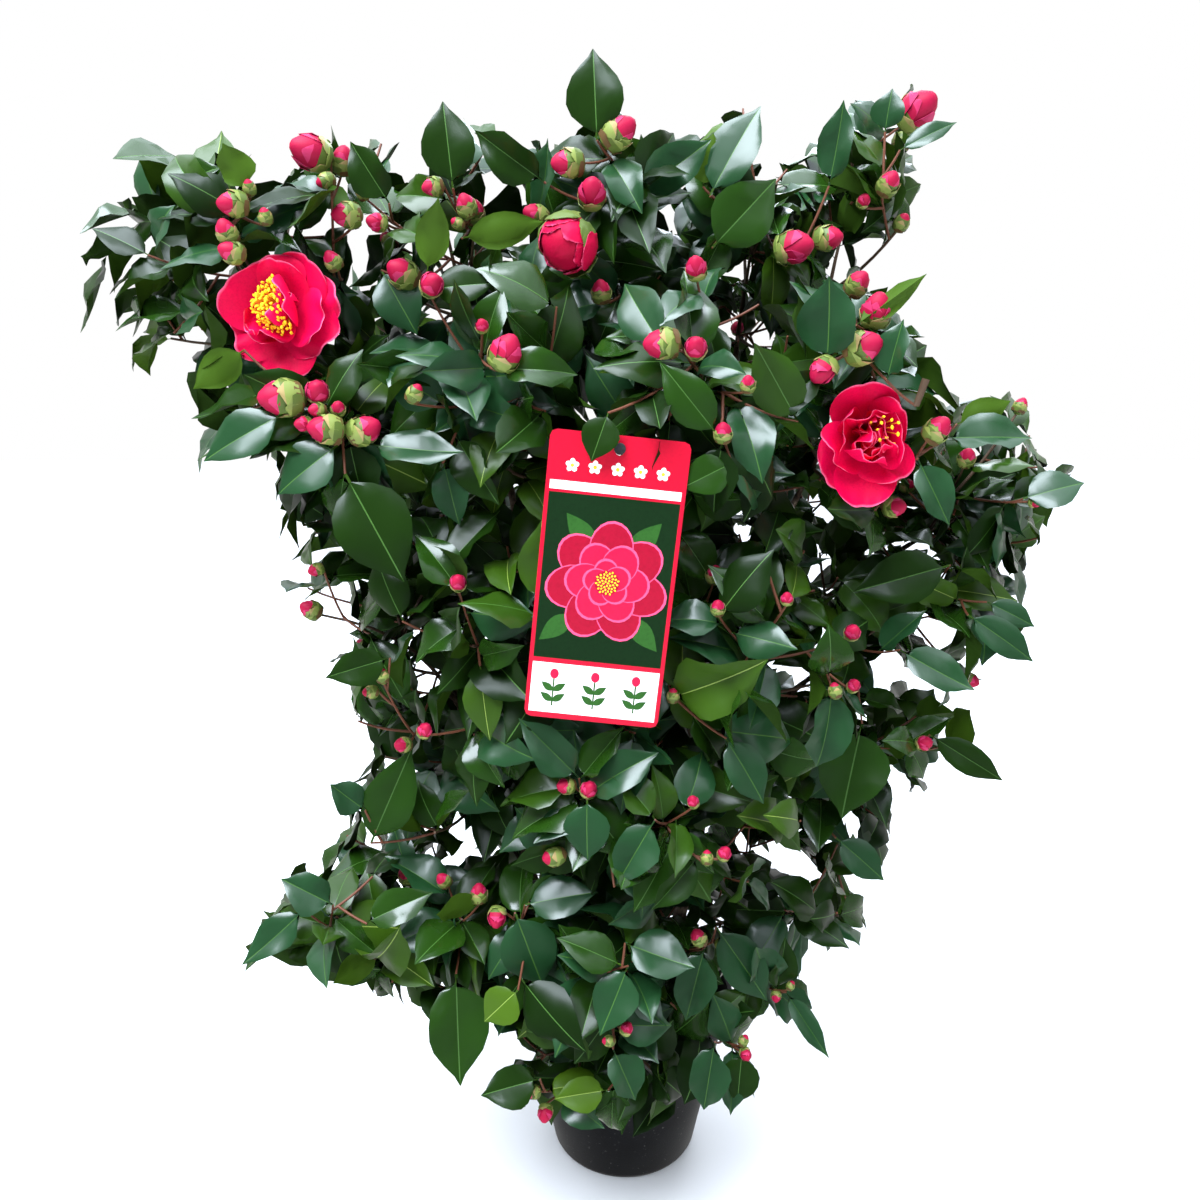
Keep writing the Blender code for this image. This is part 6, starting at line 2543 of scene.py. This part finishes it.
# ---------------------------------------------------------------- pot and compost
@dataclass
class NurseryPot:
    """A round tapered pot with a rolled rim band, a foot ring and drain holes."""

    height: float = 170 * MM
    rim: float = 112.5 * MM
    foot: float = 74 * MM
    wall: float = 2.2 * MM
    floor: float = 3 * MM
    band: float = 16 * MM
    band_out: float = 3.5 * MM
    sides: int = 96
    holes: int = 6
    hole_radius: float = 6 * MM
    hole_ring: float = 0.68

    def radius(self, height: float) -> float:
        """Gives the pot's outer radius below its rim band."""
        return self.foot + (self.rim - self.band_out - self.foot) * height / self.height

    def profile(self) -> list[Pair]:
        """Gives the wall's outline: under the foot, up the outside, over the rim and down inside."""
        band_foot = self.height - self.band
        inside = self.radius(self.height) - self.wall
        return [
            (self.foot - 9 * MM, 1.2 * MM),
            (self.foot - 6 * MM, 0.0),
            (self.foot - 3 * MM, 0.0),
            (self.foot - 1 * MM, 1.2 * MM),
            (self.radius(5 * MM), 5 * MM),
            (self.radius(70 * MM), 70 * MM),
            (self.radius(band_foot - 14 * MM), band_foot - 14 * MM),
            (self.radius(band_foot - 12 * MM) + 0.8 * MM, band_foot - 12 * MM),
            (self.radius(band_foot - 2 * MM) + 0.8 * MM, band_foot - 2 * MM),
            (self.rim - 1.2 * MM, band_foot),
            (self.rim - 0.2 * MM, band_foot + 1.2 * MM),
            (self.rim, self.height - 2 * MM),
            (self.rim - 1.0 * MM, self.height - 0.3 * MM),
            (self.rim - 2.6 * MM, self.height),
            (inside + 0.6 * MM, self.height - 0.4 * MM),
            (inside, self.height - 1.6 * MM),
            (self.radius(80 * MM) - self.wall, 80 * MM),
            (self.radius(self.floor) - self.wall, self.floor),
        ]

    def build(self) -> None:
        """Turns the pot, drills its drain holes and dresses it."""
        pot = lathe("nursery_pot", self.profile(), self.sides)
        drills = []
        for index in range(self.holes):
            turn, out = math.tau * (index + 0.5) / self.holes, self.foot * self.hole_ring
            place = (math.cos(turn) * out, math.sin(turn) * out, 0.0)
            sizes = {"vertices": 20, "radius": self.hole_radius, "depth": 20 * MM, "location": place}
            drills.append(settle(begin(bpy.ops.mesh.primitive_cylinder_add, **sizes)))
        drill = join(drills, "drain_drill")
        apply_modifier(pot, "BOOLEAN", operation="DIFFERENCE", object=drill, solver="EXACT")
        bpy.data.objects.remove(drill)
        hand_over(dress(pot, POT, 40.0), ["pot"])


@dataclass
class Compost:
    """Crumbly bark compost with chips and a few grains of perlite."""

    level: float = 148 * MM
    radius: float = 98 * MM
    foot: float = 71 * MM
    lump: float = 2.2 * MM
    chips: int = 620

    def build(self) -> None:
        """Heaps the compost and scatters what lies on it."""
        low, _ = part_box("soil")
        wide, steps = self.radius + 1 * MM, 22
        profile = [(self.foot - 2 * MM, low.z), (self.foot, low.z + 2 * MM)]
        profile += [(self.radius + 2.0 * MM, self.level - 7 * MM), (wide, self.level - 3 * MM)]
        profile += [(wide * (1.0 - step / steps), self.level - 2.5 * MM) for step in range(1, steps)]
        heap = lathe("compost", profile, 72)
        top = [v.index for v in heap.data.vertices if v.co.z > self.level - 4 * MM]
        heap.vertex_groups.new(name="top").add(top, 1.0, "REPLACE")
        roughen(heap, "compost_lumps", 7 * MM, 4, self.lump * 2, direction="Z", vertex_group="top")
        hand_over(dress(heap, COMPOST, 60.0), ["soil"])
        self.scatter()

    def scatter(self) -> None:
        """Scatters chips of bark and grains of perlite over the compost."""
        chance = random.Random("compost")
        pattern = read_pattern(begin(bpy.ops.mesh.primitive_ico_sphere_add, subdivisions=1, radius=0.5))
        bundle = Bundle("compost_chips", [CHIP_DARK.make(), CHIP_BROWN.make(), PERLITE.make()])
        for _ in range(self.chips):
            turn = chance.uniform(0.0, math.tau)
            out = (self.radius - 3 * MM) * math.sqrt(chance.random())
            kind = chance.choices((0, 1, 2), (6, 4, 0.8))[0]
            least, most, flat = (2.0, 6.5, 0.35) if kind < 2 else (1.5, 3.2, 0.9)
            size = chance.uniform(least, most) * MM
            spin = Matrix.Rotation(chance.uniform(0, math.tau), 3, "Z")
            spin @= Matrix.Rotation(chance.uniform(-0.5, 0.5), 3, "X")
            shape = Matrix.Diagonal((size, size * chance.uniform(0.4, 0.9), size * flat))
            place = Vector((math.cos(turn) * out, math.sin(turn) * out, self.level - 1.6 * MM))
            bundle.add(pattern, spin @ shape, place, (kind,))
        hand_over(bundle.build(30.0))


# ---------------------------------------------------------------- label
@dataclass
class CareLabel:
    """A hang label of printed card, on a nylon tie hooked over a bough."""

    plan: CrownPlan
    width: float = 99 * MM
    height: float = 210 * MM
    thick: float = 0.9 * MM
    lean: float = math.radians(6.0)
    centre: Place = (-0.022, -0.240, 0.648)
    hole_radius: float = 3.2 * MM
    hole_drop: float = 11 * MM
    tie_radius: float = 0.9 * MM
    head_radius: float = 4.2 * MM
    tie_bough: str = "bough_front_upper_right"
    tie_share: float = 0.86
    ink: float = 0.02 * MM

    def matrix(self) -> Matrix:
        """Gives the label's place: upright, its face to the front, leaning a little."""
        lean, stand = Matrix.Rotation(self.lean, 4, "Y"), Matrix.Rotation(math.radians(90.0), 4, "X")
        return Matrix.Translation(self.centre) @ lean @ stand

    def keep_box(self) -> Matrix:
        """Gives the box that foliage keeps clear of."""
        return self.matrix() @ Matrix.Diagonal((self.width + 4 * MM, self.height + 4 * MM, 10 * MM, 1.0))

    def tie_tube(self) -> Tube:
        """Gives the tie's run: from its head, through the hole, to a hook round the bough."""
        hole = self.matrix() @ Vector((0.0, self.height / 2 - self.hole_drop, 0.0))
        limb = self.plan.limbs[self.tie_bough]
        grip, way = along(limb.points, self.tie_share)
        lift = self.hole_radius - self.tie_radius - 1.6 * self.plan.clear
        front, back = hole + Vector((0.0, -0.0032, lift)), hole + Vector((0.0, 0.0050, lift))
        girth = limb.radius_at(self.tie_share) + self.tie_radius + 1.6 * self.plan.clear
        toward = ((back - grip) - way * (back - grip).dot(way)).normalized()
        turns = [Matrix.Rotation(math.radians(angle), 3, way) for angle in range(-40, 231, 15)]
        hook = [grip + (turn @ toward) * (girth + 0.35 * MM) for turn in turns]
        run = bezier(back, Vector((0.0, 1.0, 0.35)), hook[1] - hook[0], hook[0], 18)
        points = [front, back, *run[1:], *hook[1:]]
        return Tube(points, [self.tie_radius] * len(points))

    def patch(self, ink: bpy.types.Material, outline: Sequence[Pair], layer: int) -> Piece:
        """Prints one flat shape on the card's face.

        Args:
            ink: Its ink.
            outline: Its corners on the card, anticlockwise, in metres from the card's middle.
            layer: How many inks lie under it.

        Returns:
            The shape, in place.
        """
        circle = bpy.ops.mesh.primitive_circle_add
        shape = begin(circle, vertices=len(outline), radius=1.0, fill_type="NGON")
        for point, (x, y) in zip(shape.data.vertices, outline):
            point.co = (x, y, 0.0)
        lift = self.thick / 2 + self.ink * (3 + layer)
        shape.data.transform(self.matrix() @ Matrix.Translation((0.0, 0.0, lift)))
        shape.data.materials.append(ink)
        return shape

    def panel(self, x: float, y: float, wide: float, high: float) -> list[Pair]:
        """Gives a rectangle's corners from its middle and half sides, as shares of the card's."""
        signs = ((-1, -1), (1, -1), (1, 1), (-1, 1))
        return [((x + i * wide) * self.width / 2, (y + j * high) * self.height / 2) for i, j in signs]

    def turned(self, x: float, y: float, turn: float, corners: Iterable[Pair]) -> list[Pair]:
        """Turns an outline about its start, and puts that at a place on the card.

        Args:
            x: The place across from the card's middle, in millimetres.
            y: The place up from it, in millimetres.
            turn: The angle, anticlockwise.
            corners: The outline's corners, in millimetres.

        Returns:
            The outline's corners on the card, in metres.
        """
        points = []
        for corner in corners:
            spot = Vector(corner)
            spot.rotate(Matrix.Rotation(turn, 2))
            points.append(((x + spot.x) * MM, (y + spot.y) * MM))
        return points

    def oval(self, x: float, y: float, rx: float, ry: float, turn: float = 0.0) -> list[Pair]:
        """Gives the outline of an oval, turned about its middle, from millimetres."""
        angles = [step * math.tau / 20 for step in range(20)]
        return self.turned(x, y, turn, [(rx * math.cos(angle), ry * math.sin(angle)) for angle in angles])

    def leaf(self, x: float, y: float, long: float, turn: float) -> list[Pair]:
        """Gives the outline of a pointed leaf, from its foot, in millimetres.

        Args:
            x: The foot's place across from the card's middle.
            y: Its place up from it.
            long: The leaf's length.
            turn: The angle at which it points, anticlockwise from the right.

        Returns:
            The outline's corners on the card, in metres.
        """
        corners = []
        for step in range(18):
            share, side = (step / 9, -0.24) if step < 9 else (2 - step / 9, 0.24)
            corners.append((share * long, math.sin(math.pi * share**0.8) * long * side))
        return self.turned(x, y, turn, corners)

    def build(self) -> None:
        """Dresses the card, prints its plain design, and makes the tie."""
        for slot in frame["nodes"]["label"].material_slots:
            slot.material = CARD.make()
        hand_over(join(self.design(), "label_print"))
        tie = sweep("nylon_tie", [self.tie_tube()], 10)
        cylinder = bpy.ops.mesh.primitive_cylinder_add
        head = begin(cylinder, vertices=24, radius=self.head_radius, depth=1.6 * MM)
        bench = Bench(head)
        bpy.ops.mesh.bevel(offset=0.5 * MM, segments=2)
        bench.done()
        turn = Matrix.Rotation(math.radians(90.0), 4, "X")
        head.data.transform(Matrix.Translation(self.tie_tube().points[0]) @ turn)
        hand_over(dress(join([tie, head], "nylon_tie"), TIE, 40.0), ["label_tie"])

    def design(self) -> list[Piece]:
        """Prints a plain flower sign: small blossoms over a large bloom, and sprigs at its foot."""
        inks = {name: finish.make() for name, finish in INKS.items()}
        shapes: list[Piece] = []

        def put(ink: str, outline: Sequence[Pair], layer: int = 0) -> None:
            """Prints a shape in an ink."""
            shapes.append(self.patch(inks[ink], outline, layer))

        put("white", self.panel(0.0, 0.635, 0.94, 0.030))
        put("moss", self.panel(0.0, 0.01, 0.94, 0.575))
        put("white", self.panel(0.0, -0.78, 0.94, 0.180))
        for spot in range(5):
            x = -32 + 16 * spot
            for turn in range(5):
                angle = math.tau * turn / 5 + 0.3
                across, up = x + 2.6 * math.cos(angle), 81 + 2.6 * math.sin(angle)
                put("white", self.oval(across, up, 2.3, 1.9, angle), turn)
            put("gold", self.oval(x, 81, 1.3, 1.3), 6)
        sprig = ((-10, 22, 34, 2.3), (14, 20, 34, 0.9), (20, -24, 32, -0.8), (-22, -26, 30, 3.9))
        for x, y, long, turn in sprig:
            put("leaf", self.leaf(x, y, long, turn), 1)
        layer = 2
        whorls = ((7, 25, 20, 16, "wine"), (6, 16, 15, 13, "rose"), (5, 8, 10, 9, "rose"))
        for count, reach, long, wide, dark in whorls:
            for index in range(count):
                angle = math.tau * index / count + 0.35 * count
                x, y = 1 + reach * math.cos(angle), reach * math.sin(angle)
                put("blush", self.oval(x, y, long, wide, angle), layer)
                x, y = x - math.cos(angle), y - math.sin(angle)
                put(dark, self.oval(x, y, long - 0.9, wide - 0.7, angle), layer + 1)
                layer += 2
        put("wine", self.oval(1, 0, 9, 9), layer)
        for index in range(46):
            reach, angle = 1.25 * math.sqrt(index + 0.5), index * GOLDEN_ANGLE
            x, y = 1 + reach * math.cos(angle), reach * math.sin(angle)
            put("gold", self.oval(x, y, 0.9, 0.7, angle), layer + 1)
        for x in (-30, 0, 30):
            put("leaf", self.panel(x / 49.5, -0.80, 0.012, 0.11), 1)
            for side in (-1, 1):
                for y in (-92, -84):
                    put("leaf", self.leaf(x, y, 11, math.radians(90 - 55 * side)), 2)
            put("rose", self.oval(x, -71, 3.2, 3.8), 3)
        return shapes


# ---------------------------------------------------------------- studio
@dataclass(frozen=True)
class Studio:
    """A pale floor and soft light from above, the front and the left."""

    floor_size: float = 14.0
    dim: float = 0.08
    bright: float = 1.0
    overhead: float = 3.1
    tint: str = "#e8f1ff"
    # Each lamp's name, place, side and power in watts.
    lamps: tuple[tuple[str, Place, float, float], ...] = (
        ("key", (-0.8, -1.2, 2.7), 1.8, 178.0),
        ("fill", (1.6, -1.5, 1.5), 1.6, 4.0),
        ("back", (0.6, 1.9, 2.3), 1.4, 40.0),
    )
    aim: Place = (0.0, 0.0, 0.6)
    floor_place: Place = (0.0, 3.0, -0.0005)
    # The span of a direction's Y over which the sky brightens, and the span of its Z over which
    # the light from overhead comes in.
    dim_span: Pair = (-0.5, 0.7)
    overhead_span: Pair = (0.4, 1.0)

    def build(self) -> None:
        """Lays the floor and hangs the lights."""
        plane = bpy.ops.mesh.primitive_plane_add
        floor = settle(begin(plane, size=self.floor_size, location=self.floor_place))
        floor.name = "studio_floor"
        floor.data.materials.append(FLOOR.make())
        # Waxy leaves that hang would mirror the white floor all over, so it is kept out of their gloss.
        floor.visible_glossy = False
        world = bpy.data.worlds.new("studio")
        world.use_nodes = True
        tree = world.node_tree
        background = tree.nodes["Background"]
        way = add_node(tree, "TexCoord", {}).outputs["Generated"]
        parts = add_node(tree, "SeparateXYZ", {"Vector": way})
        low, high = self.dim_span
        span = {"From Min": low, "From Max": high, "To Min": self.dim, "To Max": self.bright}
        level = add_node(tree, "MapRange", {"Value": parts.outputs["Y"], **span})
        low, high = self.overhead_span
        span = {"From Min": low, "From Max": high, "To Min": 0.0, "To Max": self.overhead}
        above = add_node(tree, "MapRange", {"Value": parts.outputs["Z"], **span})
        both = add_node(tree, "Math", {"0": level.outputs[0], "1": above.outputs[0]})
        tree.links.new(both.outputs[0], background.inputs["Strength"])
        tints = {"0": above.outputs[0], "6": linear("#ffffff"), "7": linear(self.tint)}
        tint = add_node(tree, "Mix", tints, data_type="RGBA")
        tree.links.new(tint.outputs[2], background.inputs["Color"])
        bpy.context.scene.world = world
        for lamp in self.lamps:
            self.hang(*lamp)
        bpy.context.scene.view_settings.view_transform = "Standard"

    def hang(self, name: str, place: Place, size: float, power: float) -> None:
        """Hangs one soft square lamp, and turns it to the crown.

        Args:
            name: The lamp's name.
            place: Where it hangs.
            size: Its side.
            power: Its power in watts.
        """
        light = bpy.data.lights.new(name, "AREA")
        light.size = size
        light.energy = power
        light.color = linear(self.tint)[:3]
        lamp = bpy.data.objects.new(name, light)
        lamp.location = place
        lamp.rotation_euler = (Vector(self.aim) - Vector(place)).to_track_quat("-Z", "Y").to_euler()
        bpy.context.scene.collection.objects.link(lamp)


# ---------------------------------------------------------------- the shrub
@dataclass
class Shrub:
    """The whole shrub: its plan, its growing masses, and the view that marks are read from."""

    view: Viewpoint = field(default_factory=Viewpoint)
    plan: CrownPlan = field(default_factory=CrownPlan)
    habit: GrowthHabit = field(default_factory=GrowthHabit)
    mark_depth: float = 0.012
    mark_lean: float = 0.008
    sight_depth: float = 0.060
    # A pruned stub beside the right bloom: its foot and its cut end in the frame, and its thickness.
    stub: tuple[float, ...] = (916, 406, 926, 379)
    stub_radius: float = 3.2 * MM
    # The width of a bloom's ball and of its sight box, as shares of its radius.
    bloom_ball: float = 2.2
    bloom_sight_wide: float = 1.5
    # How far ahead of the bloom the sight box's middle is, and how deep the box is.
    bloom_sight_ahead: float = 0.075
    bloom_sight_deep: float = 0.12
    # Where on its mass's stem a bloom's stalk starts.
    stalk_root: float = 0.62

    def bloom_balls(self) -> list[Matrix]:
        """Gives the ellipsoids that leaves keep clear of, round the blooms."""
        balls = []
        for bloom in BLOOMS:
            wide, deep = bloom.radius * self.bloom_ball, bloom.radius * (1.0 + 0.5 * bloom.cup) * 1.5
            balls.append(box_at(Vector(bloom.centre), bloom.way(), UP, (wide, deep, wide)))
        return balls

    def marked_place(self, across: float, down: float) -> tuple[str, Vector]:
        """Finds where the sight line of a place in the frame enters the crown.

        Args:
            across: Pixels from the frame's left edge, of 1200.
            down: Pixels from its top edge, of 1200.

        Returns:
            The name of the mass that it enters, and a place just inside that mass.
        """
        eye, way = Vector(self.view.place), self.view.ray(across, down)
        masses = self.plan.masses.values()
        nearest = min(masses, key=lambda mass: mass.sighted(eye, way))
        reach = nearest.sighted(eye, way)
        if reach < math.inf:
            return nearest.name, eye + way * (reach + self.mark_depth)
        misses = [(Vector(mass.centre) - eye).cross(way).length / max(mass.radii) for mass in masses]
        nearest = list(masses)[misses.index(min(misses))]
        return nearest.name, eye + way * (Vector(nearest.centre) - eye).dot(way)

    def marked_bud(self, mark: BudMark) -> tuple[str, BudSpot, Matrix]:
        """Places a marked bud.

        Args:
            mark: The mark.

        Returns:
            Its mass, the bud, and the box in front of it that stays open to the view.
        """
        name, place = self.marked_place(mark.across, mark.down)
        to_eye = (Vector(self.view.place) - place).normalized()
        side = to_eye.cross(UP).normalized() * -1.0
        turn = math.radians(mark.turn)
        level = side * math.cos(turn) + side.cross(to_eye) * -math.sin(turn)
        way = (level + to_eye * mark.ahead).normalized()
        length = mark.length * MM
        spot = BudSpot(place - way * length * 0.5, way, length, BudStage(mark.stage))
        middle = place + to_eye * (self.sight_depth / 2 + 3 * MM)
        return name, spot, box_at(middle, level, to_eye, (length * 0.8, length * 0.8, self.sight_depth))

    def marked_leaf(self, mark: LeafMark) -> tuple[str, LeafSpot, Matrix]:
        """Places a marked leaf, its broad side to the viewer.

        Args:
            mark: The mark.

        Returns:
            Its mass, the leaf, and the box in front of it that stays open to the view.
        """
        name, foot = self.marked_place(*mark.foot)
        eye = Vector(self.view.place)
        ray, foot_ray = self.view.ray(*mark.tip), self.view.ray(*mark.foot)
        if mark.ahead is not None:
            foot = eye + foot_ray * ((mark.ahead - eye.y) / foot_ray.y)
        reach = (foot - eye).length * foot_ray.y / ray.y
        tip = eye + ray * (reach - self.mark_lean)
        to_eye = (eye - foot).normalized()
        length, width = (tip - foot).length * 1.05, self.view.span(mark.width, foot) * 1.04
        lean = Vector((-0.2, 0.0, 0.45)) * (1.0 if mark.tint == "COOL" else 0.0)
        face = (to_eye * (-1.0 if mark.lower_side else 1.0) + lean).normalized()
        form = MARK_FORMS[round(mark.foot[0] + mark.tip[1]) % len(MARK_FORMS)]
        under = 2 if mark.lower_side else 1
        spot = LeafSpot(foot, (tip - foot).normalized(), face, length, width, form, Green[mark.tint], under)
        middle = foot.lerp(tip, 0.52) + to_eye * (self.sight_depth / 2 + 5 * MM)
        return name, spot, box_at(middle, spot.way, to_eye, (width * 0.75, length * 0.85, self.sight_depth))

    def bloom_sight(self, bloom: Bloom) -> Matrix:
        """Gives the box in front of a bloom that stays open to the view.

        Args:
            bloom: The bloom.

        Returns:
            The matrix that turns a unit cube into the box.
        """
        middle, wide = Vector(bloom.centre), bloom.radius * self.bloom_sight_wide
        to_eye = (Vector(self.view.place) - middle).normalized()
        ahead = middle + to_eye * self.bloom_sight_ahead
        return box_at(ahead, UP, to_eye, (wide, wide, self.bloom_sight_deep))

    def grow(self, label: CareLabel) -> list[Grower]:
        """Grows every mass, with what is marked first.

        Args:
            label: The care label, which foliage keeps clear of.

        Returns:
            The grown masses.
        """
        tie = label.tie_tube()
        fat = Tube(tie.points, [radius + self.habit.limb_margin for radius in tie.radii])
        room = Room(KeepOut(self.plan).tree([fat], [label.keep_box()], self.bloom_balls()))
        sky = Sky(self.view)
        growers = {}
        for mass in self.plan.masses.values():
            growers[mass.name] = Grower(mass, self.plan, self.habit, room, sky)
            growers[mass.name].plan_twigs()
        buds = [self.marked_bud(mark) for mark in BUD_MARKS]
        leaves = [self.marked_leaf(mark) for mark in LEAF_MARKS]
        sights = [thing[2] for thing in buds + leaves] + [self.bloom_sight(bloom) for bloom in BLOOMS]
        room.solids.append(search_tree(shapes_at(sights, bpy.ops.mesh.primitive_cube_add, size=1.0)))
        room.hollows = [place.inverted() for place in sights[len(buds) :] + self.bloom_balls()]
        for bloom in BLOOMS:
            self.add_stalk(growers[bloom.mass], bloom)
        for name, bud, _ in buds:
            growers[name].reach_mark(bud.foot)
            growers[name].keep_bud(bud)
        for name, leaf, _ in leaves:
            growers[name].reach_mark(leaf.foot)
            growers[name].keep_leaf(leaf, leaf_corners(leaf))
        self.add_stub(growers)
        for grower in growers.values():
            grower.grow()
        return list(growers.values())

    def add_stub(self, growers: dict[str, Grower]) -> None:
        """Grows the pruned stub: a twig to its foot, and the thick end that was left.

        Args:
            growers: The masses by name.
        """
        name, foot = self.marked_place(*self.stub[:2])
        growers[name].reach_mark(foot)
        reach = (foot - Vector(self.view.place)).length
        end = Vector(self.view.place) + self.view.ray(*self.stub[2:]) * reach
        line = [foot.lerp(end, step / 6) for step in range(7)]
        radii = [self.stub_radius * (0.8 + 0.2 * step / 6) for step in range(7)]
        growers[name].stalks.append(Tube(line, radii))

    def add_stalk(self, grower: Grower, bloom: Bloom) -> None:
        """Runs a stalk from a mass's stem to the back of its bloom.

        Args:
            grower: The mass.
            bloom: The bloom.
        """
        back = bloom.place().translation
        root, _ = along(grower.twigs[0].points, self.stalk_root)
        grower.twigs[0].carry(self.stalk_root)
        stalk = bezier(root, back - root, bloom.way(), back + bloom.way() * 0.002, 9)
        grower.stalks.append(Tube(stalk, [self.habit.twig_radius * (1.2 + 0.02 * step) for step in range(9)]))


def main() -> None:
    """Builds every piece in order."""
    logging.basicConfig(level=logging.INFO, format="%(name)s %(message)s")
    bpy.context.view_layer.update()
    shrub = Shrub()
    shrub.plan.lay_out()
    label = CareLabel(shrub.plan)
    shrub.view.build()
    Studio().build()
    growers = shrub.grow(label)
    Bark(shrub.plan).build()
    Twigs().build(growers)
    count = Foliage().build(growers)
    Buds().build(growers)
    for bloom in BLOOMS:
        bloom.build()
    NurseryPot().build()
    Compost().build()
    label.build()
    LOG.info("%d leaves, %d buds", count, sum(len(grower.buds) for grower in growers))


if __name__ == "__main__":
    main()
